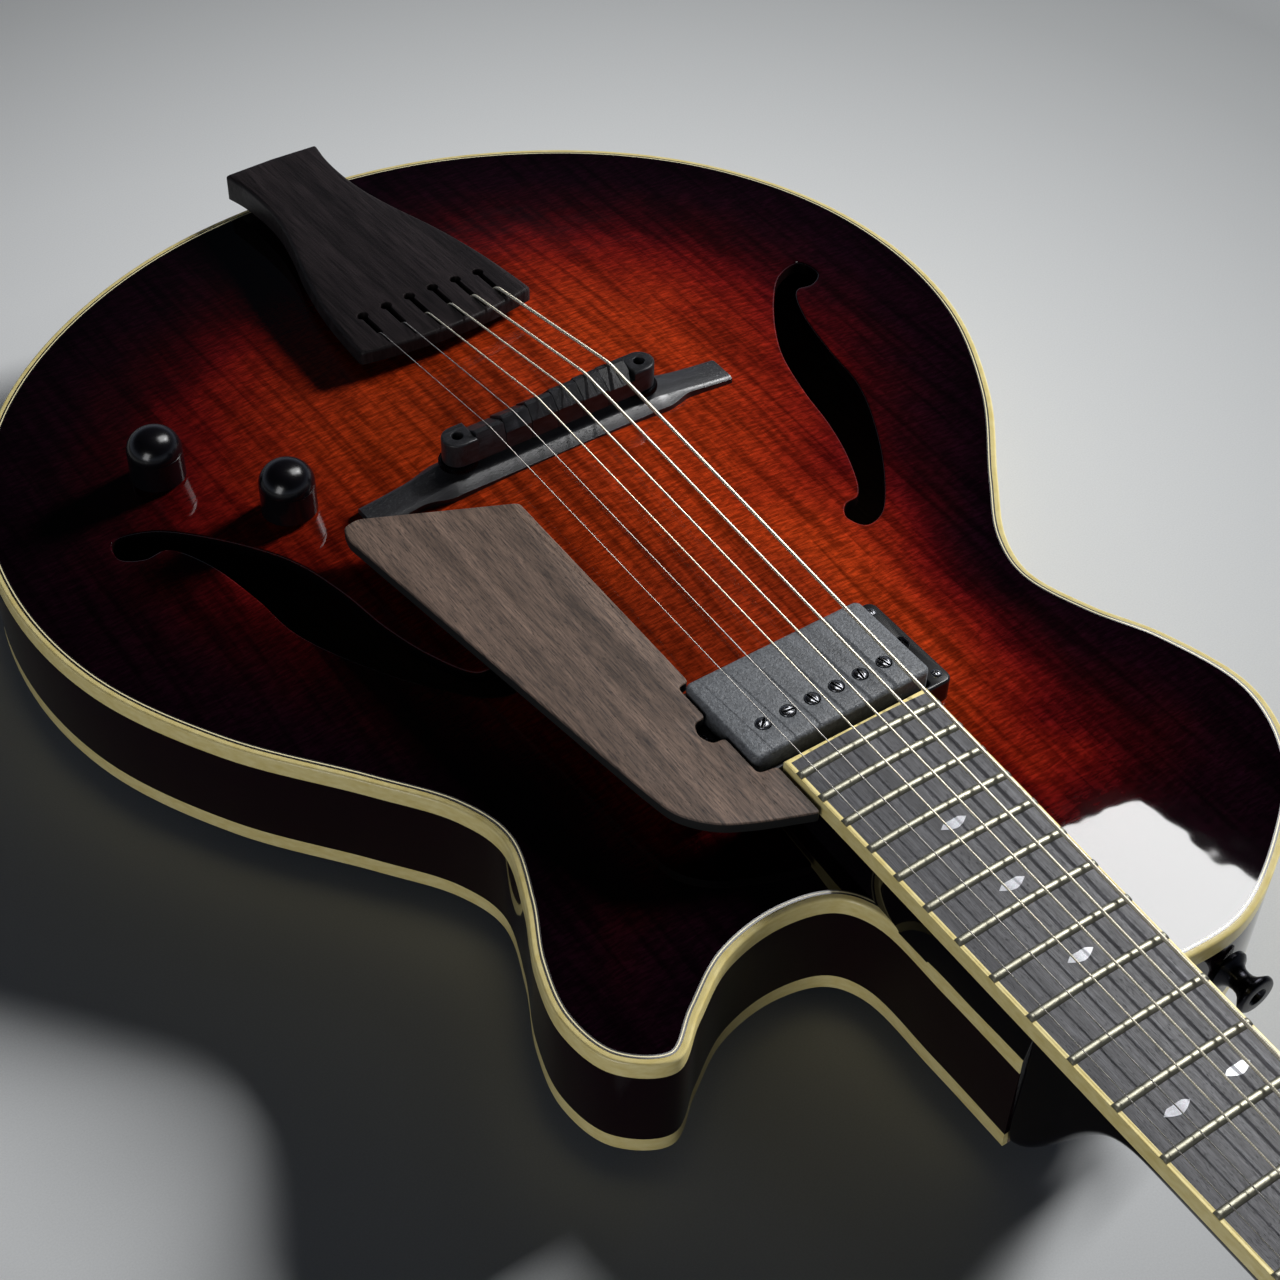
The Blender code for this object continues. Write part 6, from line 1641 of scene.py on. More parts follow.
def moulded(name, colour, roughness, depth):
    """Moulded black plastic: an even black under a soft or a hard gloss."""
    return uneven_gloss(*finish(name, colour, roughness, IOR=1.5), roughness, PIT_SIZE, (-0.04, 0.06),
            depth)


BLACK_PLATED = black_metal("black_plated_steel", "#26262a", 0.24)
CABLE_SLEEVE = moulded("moulded_cable_sleeve", "#101012", 0.42, 0.02)
print("black fittings:", BLACK_PLATED.name, CABLE_SLEEVE.name)

# %% [markdown]
# ## Tail cable, end pin and strap button
# The strings pull the tailpiece with about seventy kilograms. A loop of steel cable in a black
# sleeve takes that pull over the rim to the end pin, which is also the jack. The pin and the strap
# button are turned parts, so each one is a profile spun round its axis: pairs of a radius and a
# distance along it.

# %% Cable, pin and button
CABLE_RADIUS = 1.5
CABLE_HALF = 7.8
CABLE_INSET = 5.0
CABLE_DEPTH = 4.0
CABLE_STEPS = 18
PIN_PROFILE = ((3.3, -20.0), (3.3, 14.4), (3.9, 15.0), (6.6, 15.0), (7.8, 14.6), (8.5, 13.6), (8.5, 12.0),
               (7.9, 9.8), (6.6, 7.6), (6.0, 5.5), (6.0, 1.0), (8.0, 0.9), (8.5, 0.5), (8.5, 0.3),
               (5.6, 0.3), (5.6, -28.0), (4.6, -28.0), (4.6, -20.0))
STRAP_PROFILE = ((7.0, 0.0), (7.0, 1.2), (6.4, 1.9), (4.6, 3.0), (3.8, 4.4), (3.6, 6.0), (3.8, 7.6),
                 (4.6, 9.0), (6.2, 10.4), (7.0, 11.2), (7.0, 12.2), (6.6, 12.8), (6.0, 13.0), (3.4, 13.0),
                 (3.0, 12.6), (2.4, 11.0))
STRAP_LENGTH = max(along for _, along in STRAP_PROFILE)

pin_low, pin_high = corners("end_pin_jack")
pin_middle = (pin_low + pin_high) / 2
cable_y = TAILPIECE_TAIL_Y + CABLE_INSET
cable_top = float(tailpiece_under(CABLE_HALF, TAILPIECE_TAIL_Y)) + CABLE_DEPTH
route = [(CABLE_HALF, cable_y, cable_top)]
route += [(x, cable_y, z) for x, z in arc((0.0, pin_middle.z), CABLE_HALF, 0, -180, CABLE_STEPS)]
route.append((-CABLE_HALF, cable_y, cable_top))
piece("cable_loop", tube(route, CABLE_RADIUS), (CABLE_SLEEVE,), replaces=("tail_cable",),
      sharp=60.0)

piece("end_pin", turned(PIN_PROFILE, (0.0, TAIL_Y, pin_middle.z), (0.0, -1.0, 0.0), bored=True),
      (BLACK_PLATED,), replaces=("end_pin_jack",))

strap_low, strap_high = corners("strap_button")
strap_middle = (strap_low + strap_high) / 2
place = (strap_middle.x, strap_high.y - STRAP_LENGTH, strap_middle.z)
piece("shoulder_strap_button", turned(STRAP_PROFILE, place, (0.0, 1.0, 0.0)), (BLACK_PLATED,),
      replaces=("strap_button",))
print("end pin height: %.1f mm" % pin_middle.z)

# %% [markdown]
# ## The bridge base
# The base stands on the top by its own weight and the strings' pull, and its feet are sanded to the
# arch. So the underside of each section follows the top. The middle is a raised beam with broad
# chamfers, which carries the posts, and towards each end it runs out into a thin flat foot.

# %% Ebony bridge base
BASE_OFFSET = 1.0
BASE_HALF = 75.0
BASE_MIDDLE_HALF = 44.0
BASE_TOP = 17.1
BASE_WIDTH = 19.0
BASE_CHAMFER = (4.0, 2.6)
FOOT_WIDTH = 13.0
FOOT_THICKNESS = 2.6
FOOT_FILLET = 2.0
FOOT_CHAMFER = (1.5, 0.8)
FOOT_BLEND = 2.4
FOOT_STEEP = 0.45
FOOT_FLAT_FROM = 0.3
SANDED_GAP = 0.05
CHAMFER_EDGE = ((0.0, 0.0), (-0.35, 0.2))
BEAM_EDGE = ((0.3, -0.12), (-0.3, 0.0))
BASE_SECTIONS = 64
UNDER_STEPS = 6

BRIDGE_EBONY = dense_wood("oiled_ebony_bridge", "#121214", "#27272a", (0.9, 0.2, 0.6), 0.34,
                           streak=(6, 0.2, 1.6))
base_y = BRIDGE_Y + BASE_OFFSET
sections = []
for x in np.linspace(-BASE_HALF, BASE_HALF, BASE_SECTIONS + 1):
    out = max(0.0, (abs(x) - BASE_MIDDLE_HALF) / (BASE_HALF - BASE_MIDDLE_HALF))
    blend = min(1.0, FOOT_BLEND * out)
    blend = blend * blend * (3 - 2 * blend)
    half = (BASE_WIDTH + (FOOT_WIDTH - BASE_WIDTH) * blend) / 2
    foot_top = float(top_surface(x, base_y)) + FOOT_THICKNESS + FOOT_FILLET * (1 - out) ** 2
    top_z = min(RIM_TOP + BASE_TOP, foot_top) if out > 0 else RIM_TOP + BASE_TOP
    inward = BASE_CHAMFER[0] + (FOOT_CHAMFER[0] - BASE_CHAMFER[0]) * blend
    down = BASE_CHAMFER[1] + (FOOT_CHAMFER[1] - BASE_CHAMFER[1]) * blend
    down = min(down, FOOT_THICKNESS * FOOT_STEEP) if out > FOOT_FLAT_FROM else down
    under = [(x, base_y + y, float(top_surface(x, base_y + y)) - SANDED_GAP)
             for y in np.linspace(-half, half, UNDER_STEPS + 1)]
    over = [(half + y, top_z - down + z) for y, z in CHAMFER_EDGE]
    over += [(half - inward + y, top_z + z) for y, z in BEAM_EDGE]
    over += [(-y, z) for y, z in reversed(over)]
    sections.append(under + [(x, base_y + y, z) for y, z in over])
piece("ebony_bridge_base", loft(sections), (BRIDGE_EBONY,), replaces=("bridge_base",),
      sharp=26.0)
print("bridge base: %.0f mm from foot to foot" % (2 * BASE_HALF))

# %% [markdown]
# ## The saddle
# The saddle is a bar with round ends and a hole in each for its post. Its crest is cut in six steps,
# one for each string: a thick string needs a little more length, so its step lies nearer the tail.
# From the front the steps show as facets that lean forward and back. Each step is a short loft of
# one profile, shifted to its string, and the profile dips where the string's notch is filed.

# %% Ebony saddle with its compensated crest
SADDLE_BOTTOM = 21.4
SADDLE_EAR_TOP = 31.0
SADDLE_HALF = 43.5
SADDLE_WIDTH = 11.0
SADDLE_EDGE = 0.7
CREST_WIDTH = 2.0
CREST_DROP = 4.4
CREST_EDGE = 0.25
CREST_SPACE = 0.3
NOTCH_PLAY = 0.1
NOTCH_LIP = 0.2
NOTCH_DEPTH_SHARE = 0.35
EAR_INNER = 32.6
POST_BORE = 2.1
BORE_EDGE = 0.3
BRIDGE_POST_X = 37.8
END_STEPS = 14

ends, half = SADDLE_HALF - SADDLE_WIDTH / 2, SADDLE_WIDTH / 2
ears = []
for side in (-1, 1):
    turn = 0 if side > 0 else 180
    plan = arc((side * ends, BRIDGE_Y), half, turn - 90, turn + 90, END_STEPS)
    plan += [(side * EAR_INNER, BRIDGE_Y + side * half), (side * EAR_INNER, BRIDGE_Y - side * half)]
    bore = clockwise(circle((side * BRIDGE_POST_X, BRIDGE_Y), POST_BORE))
    ears.append(plate([(np.array(plan), SADDLE_EDGE), (bore, BORE_EDGE)],
                      level(RIM_TOP + SADDLE_EAR_TOP), level(RIM_TOP + SADDLE_BOTTOM), cell=3.0)[:2])
steps = []
for number, diameter in enumerate(STRING_DIAMETERS):
    x, y = string_x(number, SADDLE_SPREAD), -saddle_shift(number)
    top_z, low = saddle_height(x), RIM_TOP + SADDLE_BOTTOM
    rest_half, notch = diameter / 2 + NOTCH_PLAY, diameter * NOTCH_DEPTH_SHARE
    reach = (SADDLE_SPREAD - CREST_SPACE) / 2
    inner_reach = -EAR_INNER - x if number == STRING_COUNT - 1 else -reach
    outer_reach = EAR_INNER - x if number == 0 else reach
    cuts = ((inner_reach, CREST_EDGE), (inner_reach + CREST_EDGE, 0.0), (-rest_half - NOTCH_LIP, 0.0),
            (-rest_half, notch), (rest_half, notch), (rest_half + NOTCH_LIP, 0.0),
            (outer_reach - CREST_EDGE, 0.0), (outer_reach, CREST_EDGE))
    sections = []
    for across, dip in cuts:
        flank = top_z - CREST_DROP - dip / 2
        profile = ((-half, low), (half, low), (half, flank), (y + CREST_WIDTH / 2, top_z - dip),
                   (y - CREST_WIDTH / 2, top_z - dip), (-half, flank))
        sections.append([(x + across, BRIDGE_Y + a, z) for a, z in profile])
    steps.append(loft(sections))
piece("ebony_saddle", joined(*ears, *steps), (BRIDGE_EBONY,), body="saddle",
      replaces=("bridge_saddle",), sharp=26.0)
print("crest steps:", len(steps))

# %% [markdown]
# ## Posts and thumbwheels
# Two threaded posts stand in the base, and a wheel on each carries the saddle: turning it sets the
# strings' height. The wheel's edge is knurled for grip. One tooth is modelled, and a second node
# tree sets a ring of them round the wheel, each turned to face outwards.

# %% The ring tree
ring_tree, given = node_group("ring_of_teeth", (("Teeth", "Int"), ("Radius", "Float"),
        ("Middle", "Vector"), ("Material", "Material")))
hoop = add(ring_tree, "GeometryNodeMeshCircle", {"Vertices": given["Teeth"], "Radius": given["Radius"]})
step_angle = add(ring_tree, "ShaderNodeMath", {0: 2 * math.pi, 1: given["Teeth"]}, operation="DIVIDE")
angle = add(ring_tree, "ShaderNodeMath",
            {0: add(ring_tree, "GeometryNodeInputIndex"), 1: step_angle},
            operation="MULTIPLY")
facing = add(ring_tree, "FunctionNodeEulerToRotation",
             {0: add(ring_tree, "ShaderNodeCombineXYZ", {"Z": angle})})
teeth = add(ring_tree, "GeometryNodeInstanceOnPoints", {"Points": hoop, "Instance": given["Item"],
        "Rotation": facing})
end_group(ring_tree, teeth, given, given["Middle"])
print("ring tree:", len(ring_tree.nodes), "nodes")

# %% [markdown]
# A thread is drawn as rings rather than as a helix: at this size nobody sees the difference, and a
# ring is one more step in the turned profile. The rings stand a millimetre apart, somewhat coarser
# than the real thread, because a finer one would be lost at this distance.

# %% Threaded posts and knurled wheels
POST_THREAD_RADIUS = 1.9
THREAD_PITCH = 1.0
THREAD_DEPTH = 0.3
THREAD_RIDGE = (0.35, 0.6, 0.95)
WHEEL_RADIUS = 7.0
WHEEL_EDGE = (0.4, 0.35)
WHEEL_TOOTH = 0.45
TOOTH_ROOT = (-0.3, 0.42)
TOOTH_TIP_HALF = 0.06
TOOTH_SLOPE = ((0.1, 0.15), (0.4, WHEEL_TOOTH))
WHEEL_TEETH = 44


def thread(radius, low, high):
    """The ridged profile of a threaded rod."""
    start, end, foot = (THREAD_PITCH * share for share in THREAD_RIDGE)
    profile = [(radius - THREAD_DEPTH, low)]
    for number in range(int((high - low) / THREAD_PITCH)):
        base = low + number * THREAD_PITCH
        profile += [(radius, base + start), (radius, base + end), (radius - THREAD_DEPTH, base + foot)]
    return profile + [(radius - THREAD_DEPTH, high)]


for side, name in ((-1, "bass"), (1, "treble")):
    post_low, post_high = corners("bridge_post_" + name)
    x = side * BRIDGE_POST_X
    piece("threaded_post_" + name,
          turned(thread(POST_THREAD_RADIUS, post_low.z, post_high.z), (x, BRIDGE_Y, 0.0), segments=24),
          (BLACK_PLATED,), replaces=("bridge_post_" + name,), sharp=30.0)
    low, high = (c.z for c in corners("thumbwheel_" + name))
    rim = WHEEL_RADIUS - WHEEL_TOOTH
    inward, up = WHEEL_EDGE
    profile = ((POST_BORE, low), (rim - inward, low), (rim, low + up), (rim, high - up),
               (rim - inward, high), (POST_BORE, high))
    body = "thumbwheel_" + name
    piece("knurled_wheel_" + name, turned(profile, (x, BRIDGE_Y, 0.0), bored=True), (BLACK_PLATED,),
          body=body, replaces=(body,))
    root, root_half = TOOTH_ROOT
    levels = [(low + z, out) for z, out in TOOTH_SLOPE] + [(high - z, out) for z, out in TOOTH_SLOPE[::-1]]
    tooth = loft([[(root, -root_half, z), (root, root_half, z), (out, TOOTH_TIP_HALF, z),
                   (out, -TOOTH_TIP_HALF, z)] for z, out in levels])
    teeth = piece("wheel_teeth_" + name, tooth, (BLACK_PLATED,), body=body, sharp=20.0)
    run_nodes(teeth, ring_tree, Teeth=WHEEL_TEETH, Radius=rim * MM,
              Middle=(x * MM, BRIDGE_Y * MM, 0.0), Material=BLACK_PLATED)
    print("wheel", name, len(teeth.data.polygons), "tooth faces")

# %% [markdown]
# ## The pickguard
# The guard floats over the top on a bracket. It is rosewood with a dull oil finish, so its grain and
# its open pores stay visible, and its edge is stained black. Its outline runs straight beside the
# strings, round the pickup with a notch for the height screw, and sweeps round under the fretboard.

# %% Rosewood pickguard
GUARD_THICKNESS = 4.0
GUARD_TAIL_TOP = 20.0
GUARD_NECK_TOP = 17.3
GUARD_INNER_X = 31.8
GUARD_EDGE = 0.55
GUARD_TAIL = ((32.0, 30.0), (82.0, 7.5), (88.0, 8.5), (89.6, 15.0))
GUARD_NECK = ((69.5, -15.7), (66.5, -2.7), (59.0, 6.8), (50.0, 12.3), (29.5, 20.8))
GUARD_CURVE_STEPS = 6
GUARD_NOTCH_X = 36.2
GUARD_EAR_X = 42.7
GUARD_EAR_HALF = 5.0
GUARD_EAR_EASE = 2.0
GUARD_UNDER_BOARD = 2.0
GUARD_RING_END = 20.2
GUARD_CELL = 8.0
GUARD_CORNER = 1.8

low, high = corners("pickup_ring")
PICKUP_Y = (low.y + high.y) / 2
tail_part = [(x, BRIDGE_Y + y) for x, y in GUARD_TAIL]
neck_part = smooth_path([(x, BOARD_END_Y + y) for x, y in GUARD_NECK], GUARD_CURVE_STEPS)
last_x = GUARD_NECK[-1][0]
guard_tail_y, guard_neck_y = tail_part[0][1], neck_part[-1][1]
ear_shoulder = GUARD_EAR_X - GUARD_EAR_EASE
inner = [(last_x, BOARD_END_Y - GUARD_UNDER_BOARD / 2), (GUARD_NOTCH_X, BOARD_END_Y - GUARD_UNDER_BOARD)]
inner += [(x, PICKUP_Y + y) for x, y in
          ((GUARD_NOTCH_X, GUARD_EAR_HALF), (ear_shoulder, GUARD_EAR_HALF), (GUARD_EAR_X, 0.0),
           (ear_shoulder, -GUARD_EAR_HALF), (GUARD_NOTCH_X, -GUARD_EAR_HALF),
           (GUARD_NOTCH_X, -GUARD_RING_END), (GUARD_INNER_X, -GUARD_RING_END))]


def guard_top(x, y):
    """Height of the guard's face, which slopes down towards the neck."""
    share = (y - guard_tail_y) / (guard_neck_y - guard_tail_y)
    return RIM_TOP + GUARD_TAIL_TOP + (GUARD_NECK_TOP - GUARD_TAIL_TOP) * share + 0 * x


def edge_stain():
    """Black stain rubbed into the guard's cut edge: flat, dull and without grain."""
    return uneven_gloss(*finish("black_edge_stain", "#040404", 0.6, IOR=1.5), 0.6, PIT_SIZE,
            (-0.04, 0.06), 0.01)


# The guard's pale grey-brown is partly the rosewood and partly a painted sheen.
GUARD_ROSEWOOD_AND_SHEEN = dense_wood("rosewood_pickguard", "#262120", "#6e5b4f", (0.28, 2.2, 1.2), 0.55,
                        streak=(0.5, 9.0, 4.0), contrast=(0.28, 0.66))
GUARD_STAIN = edge_stain()
outline = eased(tail_part + [tuple(p) for p in neck_part] + inner, GUARD_CORNER, 3)
shape = plate([(outline, GUARD_EDGE)], guard_top, lambda x, y: guard_top(x, y) - GUARD_THICKNESS,
              GUARD_CELL)
piece("wooden_pickguard", shape, (GUARD_ROSEWOOD_AND_SHEEN, GUARD_STAIN, GUARD_STAIN), replaces=("pickguard",))
print("pickguard: %.1f mm long" % float(np.ptp(outline[:, 1])))

# %% [markdown]
# A turned pillar with a broad foot holds the guard above the top. Its foot takes its height from the
# arch and its tip from the guard, so it fits both.

# %% Bracket of the pickguard
BRACKET_PLACE = (62.0, 40.0)
BRACKET_FOOT = ((6.0, -0.3), (6.0, 1.4), (5.6, 1.8), (3.2, 2.4), (2.5, 3.2))
BRACKET_TIP = ((2.5, 0.0), (1.0, 0.5))

foot_z = float(top_surface(*BRACKET_PLACE))
guard_low = float(guard_top(*BRACKET_PLACE)) - GUARD_THICKNESS
profile = [(r, foot_z + up) for r, up in BRACKET_FOOT] + [(r, guard_low + up) for r, up in BRACKET_TIP]
print("guard bracket: %.1f mm tall" % (guard_low - foot_z))
piece("guard_bracket", turned(profile, (*BRACKET_PLACE, 0.0), segments=32), (BLACK_PLATED,),
      replaces=("pickguard_bracket",))

# %% [markdown]
# ## The pickup
# The pickup is a humbucker in a drawn metal cover with a black wrinkle finish. Wrinkle paint shrinks
# as it dries, which leaves a fine leathery relief: a small noise does that with the bump node. The
# cover is a roof with six holes joined to a wall that runs round, and the bobbins fill it.

# %% Cover and bobbins
COVER_HALF_X = 35.0
COVER_HALF_Y = 19.0
COVER_CORNER = 2.6
COVER_EDGE = 1.5
COVER_WALL = 1.0
COVER_ROOF = 1.9
COVER_DEPTH = 17.0
POLE_SPREAD = 9.6
POLE_OFFSET = 8.2
POLE_RADIUS = 2.4
POLE_CLEARANCE = 0.3
POLE_HOLE_EDGE = 0.25
WRINKLE_SIZE = (1.0, 1.0, 1.0)
WRINKLE_DEPTH = 0.24


def rounded_box(half_x, half_y, radius, middle=(0.0, 0.0)):
    """A counter-clockwise rectangle with round corners."""
    line = []
    for number, (sx, sy) in enumerate(((1, 1), (-1, 1), (-1, -1), (1, -1))):
        corner = (middle[0] + sx * (half_x - radius), middle[1] + sy * (half_y - radius))
        line += arc(corner, radius, 90 * number, 90 * number + 90, 5)
    return np.array(line)


def wrinkled_black_and_sheen():
    """Baked wrinkle paint: a leathery relief on a black whose colour is painted grey, a painted sheen."""
    made, tree, shader = finish("black_wrinkle_paint", "#4a4c4f", 0.44, IOR=1.5)
    # Both grey stops stand in for the sheen on the black paint: painted sheen.
    folds = mottled(tree, shader, WRINKLE_SIZE, ((0.35, "#4a4c4f"), (0.65, "#66696d")), detail=5.0,
                    distortion=0.8)
    bump = add(tree, "ShaderNodeBump", {"Height": folds, "Distance": WRINKLE_DEPTH * MM})
    feed(shader, {"Normal": bump})
    return made


cover_z = corners("pickup_cover")[1].z
pole_y = PICKUP_Y + POLE_OFFSET
pole_holes = [(clockwise(circle((string_x(number, POLE_SPREAD), pole_y), POLE_RADIUS + POLE_CLEARANCE)),
               POLE_HOLE_EDGE) for number in range(STRING_COUNT)]
outline = rounded_box(COVER_HALF_X, COVER_HALF_Y, COVER_CORNER, (0.0, PICKUP_Y))
roof = plate([(outline, COVER_EDGE)] + pole_holes, level(cover_z), level(cover_z - COVER_ROOF), cell=5.0)
wall_inside = offset(outline, COVER_WALL)
wall = loft([[(*outside, cover_z - COVER_ROOF), (*outside, cover_z - COVER_DEPTH),
              (*within, cover_z - COVER_DEPTH), (*within, cover_z - COVER_ROOF)]
             for outside, within in zip(outline, wall_inside)], closed=True)
piece("humbucker_cover", joined(roof, wall), (wrinkled_black_and_sheen(),), body="pickup",
      replaces=("pickup_cover",))

BOBBIN_PLASTIC = moulded("bobbin_plastic", "#0b0b0c", 0.35, 0.02)
block_line = offset(outline, COVER_WALL + POLE_CLEARANCE)
block = plate([(block_line, 0.0)], level(cover_z - COVER_ROOF - POLE_CLEARANCE),
              level(cover_z - COVER_DEPTH), cell=9.0)
piece("bobbin_block", block[:2], (BOBBIN_PLASTIC,), body="pickup", replaces=("pickup_bobbins",))
print("cover: %.0f by %.0f mm" % (2 * COVER_HALF_X, 2 * COVER_HALF_Y))

# %% [markdown]
# Six pole screws stand in the cover, and each slot has stopped at its own angle. A third node tree
# sets the screws in a row and turns each one by a random angle with a fixed seed. They are blackened
# steel, bright enough at their domes to show against the cover.

# %% Pole screws in a row
POLE_RISE = 0.8
POLE_SLOT = 0.42
POLE_SINK = 1.2
POLE_SEED = 7
HEAD_EDGE_RADIUS = 0.15
SLOT_EDGE = 0.06
SLOT_REACH = 0.93
DOME_POWER = 2.4
DOME_FALL = 0.8
HEAD_CELL = 0.6

row_tree, given = node_group("row_of_screws", (("Screws", "Int"), ("First", "Vector"),
        ("Step", "Vector"), ("Seed", "Int"), ("Material", "Material")))
row = add(row_tree, "GeometryNodeMeshLine",
          {"Count": given["Screws"], "Start Location": given["First"], "Offset": given["Step"]})
chance = add(row_tree, "FunctionNodeRandomValue", {2: 0.0, 3: math.pi, "Seed": given["Seed"]})
spin = add(row_tree, "FunctionNodeEulerToRotation",
           {0: add(row_tree, "ShaderNodeCombineXYZ", {"Z": chance.outputs[1]})})
screws = add(row_tree, "GeometryNodeInstanceOnPoints", {"Points": row, "Instance": given["Item"],
        "Rotation": spin})
end_group(row_tree, screws, given)

POLE_STEEL = black_metal("blackened_pole_steel", "#85868a", 0.24)


def domed(radius, rise):
    """Height of a domed screw head over its seat."""
    return lambda x, y: rise * (1 - DOME_FALL * (np.hypot(x, y) / radius) ** DOME_POWER)


def slotted_head(radius, rise, slot, depth):
    """A screw head with a straight slot, round the origin."""
    reach = radius * SLOT_REACH
    cut = np.array([(-slot, -reach), (slot, -reach), (slot, reach), (-slot, reach)])
    return plate([(circle((0.0, 0.0), radius, 32), HEAD_EDGE_RADIUS), (clockwise(cut), SLOT_EDGE)],
                 domed(radius, rise), level(-depth), HEAD_CELL)[:2]


poles = piece("pole_screws", slotted_head(POLE_RADIUS, POLE_RISE, POLE_SLOT, POLE_SINK), (POLE_STEEL,),
              body="pickup")
run_nodes(poles, row_tree, Screws=STRING_COUNT, Seed=POLE_SEED, Material=POLE_STEEL,
          First=(string_x(0, POLE_SPREAD) * MM, pole_y * MM, cover_z * MM),
          Step=(-POLE_SPREAD * MM, 0.0, 0.0))
print("pole screws:", len(poles.data.polygons), "faces")

# %% [markdown]
# ## Mounting ring and screws
# The pickup hangs in a black plastic ring on two height screws with springs. Four small cross-head
# screws hold the ring on the top; under the ring's edge its lower face is sanded to the arch.

# %% The ring and its screws
RING_HALF_X = 43.5
RING_HALF_Y = 21.2
RING_TOP = 12.8
RING_CORNER = 3.2
RING_EDGE = 0.9
OPENING_SPACE = 0.5
OPENING_CORNER = 1.6
OPENING_EDGE = 0.4
HEIGHT_SCREW_HOLE = 1.5
DRILLED_EDGE = 0.2
CROSS_HEAD = (0.7, 0.22, 1.1, 0.3)
CROSS_HEAD_EDGE = 0.12
CROSS_EDGE = 0.05
RING_SCREW_X = 39.7
RING_SCREW_Y = 16.6
RING_SCREW_RADIUS = 1.9
HEIGHT_SCREW_X = 39.0
HEIGHT_SCREW_RADIUS = 2.6
HEIGHT_SCREW_SLOT = 0.35
HEIGHT_SHANK = 1.2
HEIGHT_SEAT = 0.3


def cross_head(radius, rise, arm, reach, depth):
    """A screw head with a cross recess, round the origin."""
    cross = []
    for turn in range(4):
        along = Vector((math.cos(turn * math.pi / 2), math.sin(turn * math.pi / 2)))
        left = Vector((-along.y, along.x))
        cross += [along * reach - left * arm, along * reach + left * arm, along * arm + left * arm]
    cross = np.array([tuple(p) for p in cross])
    return plate([(circle((0.0, 0.0), radius, 28), CROSS_HEAD_EDGE), (clockwise(cross), CROSS_EDGE)],
                 domed(radius, rise), level(-depth), HEAD_CELL)[:2]


def moved(shape, place):
    """The same shape at another place."""
    return [tuple(np.array(p) + place) for p in shape[0]], shape[1]


RING_PLASTIC = moulded("ring_plastic", "#070709", 0.34, 0.01)
outer = rounded_box(RING_HALF_X, RING_HALF_Y, RING_CORNER, (0.0, PICKUP_Y))
opening = rounded_box(COVER_HALF_X + OPENING_SPACE, COVER_HALF_Y + OPENING_SPACE, OPENING_CORNER,
                      (0.0, PICKUP_Y))
drilled = [(clockwise(circle((side * HEIGHT_SCREW_X, PICKUP_Y), HEIGHT_SCREW_HOLE)), DRILLED_EDGE)
           for side in (-1, 1)]
shape = plate([(outer, RING_EDGE), (clockwise(opening), OPENING_EDGE)] + drilled,
              level(RIM_TOP + RING_TOP), lambda x, y: top_surface(x, y) - SANDED_GAP, cell=6.0)
piece("pickup_mounting_ring", shape[:2], (RING_PLASTIC,), replaces=("pickup_ring",))

ring_screws = [moved(cross_head(RING_SCREW_RADIUS, *CROSS_HEAD),
                     (sx * RING_SCREW_X, PICKUP_Y + sy * RING_SCREW_Y, RIM_TOP + RING_TOP))
               for sx in (-1, 1) for sy in (-1, 1)]
piece("ring_screws", joined(*ring_screws), (POLE_STEEL,))

for side, name in ((-1, "bass"), (1, "treble")):
    body = "pickup_height_screw_" + name
    low, high = corners(body)
    seat = RIM_TOP + RING_TOP + HEIGHT_SEAT
    head = moved(slotted_head(HEIGHT_SCREW_RADIUS, high.z - seat, HEIGHT_SCREW_SLOT, 0.0),
                 (side * HEIGHT_SCREW_X, PICKUP_Y, seat))
    shank = turned(thread(HEIGHT_SHANK, low.z, seat + 0.2), (side * HEIGHT_SCREW_X, PICKUP_Y, 0.0),
                   segments=16)
    piece("height_screw_" + name, joined(head, shank), (BLACK_PLATED,), body=body, replaces=(body,),
          sharp=30.0)
print("ring screws:", len(ring_screws))

# %% [markdown]
# ## Knobs
# The two knobs are domes on short cylinders, turned from black plastic and polished. A fine groove
# marks where the dome starts. Each knob turns on its own body, so it is one piece.

# %% Domed knobs
KNOB_RADIUS = 9.8
KNOB_DOME = 8.2
KNOB_LIFT = 1.4
KNOB_BORE = 7.6
KNOB_ROOF = 5.0
KNOB_SHAFT = 3.0
KNOB_EASE = 0.3
KNOB_GROOVE = ((0.15, -0.5), (0.45, -0.3), (0.45, -0.15))
DOME_INSET = 0.1
DOME_POLE = 0.2
DOME_FULLNESS = 0.85
DOME_STEPS = 14
KNOB_PLASTIC = moulded("polished_knob_plastic", "#08070a", 0.2, 0.002)

for name in ("volume_knob", "tone_knob"):
    low, high = corners(name)
    middle = (low + high) / 2
    seat = float(top_surface(middle.x, middle.y)) + KNOB_LIFT
    dome_low = high.z - KNOB_DOME
    profile = [(KNOB_SHAFT, low.z), (KNOB_SHAFT, seat + KNOB_ROOF), (KNOB_BORE, seat + KNOB_ROOF),
               (KNOB_BORE, seat + KNOB_EASE), (KNOB_BORE + KNOB_EASE, seat),
               (KNOB_RADIUS - KNOB_EASE, seat), (KNOB_RADIUS, seat + KNOB_EASE)]
    profile += [(KNOB_RADIUS - inward, dome_low + up) for inward, up in KNOB_GROOVE]
    for angle in np.linspace(0.0, math.pi / 2, DOME_STEPS + 1)[:-1]:
        radius = (KNOB_RADIUS - DOME_INSET) * math.cos(angle) ** DOME_FULLNESS
        profile.append((radius, dome_low + KNOB_DOME * math.sin(angle)))
    profile.append((DOME_POLE, high.z))
    piece("domed_" + name, turned(profile, (middle.x, middle.y, 0.0), segments=64), (KNOB_PLASTIC,),
          body=name, replaces=(name,), sharp=30.0)
    print("%s: %.1f mm tall over the top" % (name, high.z - seat))

# %% [markdown]
# ## The headstock's face
# A thin ebony veneer covers the front of the headstock, bored for the tuners. The steel rod that
# stiffens the neck ends behind the nut, under a small pointed cover with two screws. These pieces
# are drawn flat and then laid on the leaning face by the headstock's own frame.

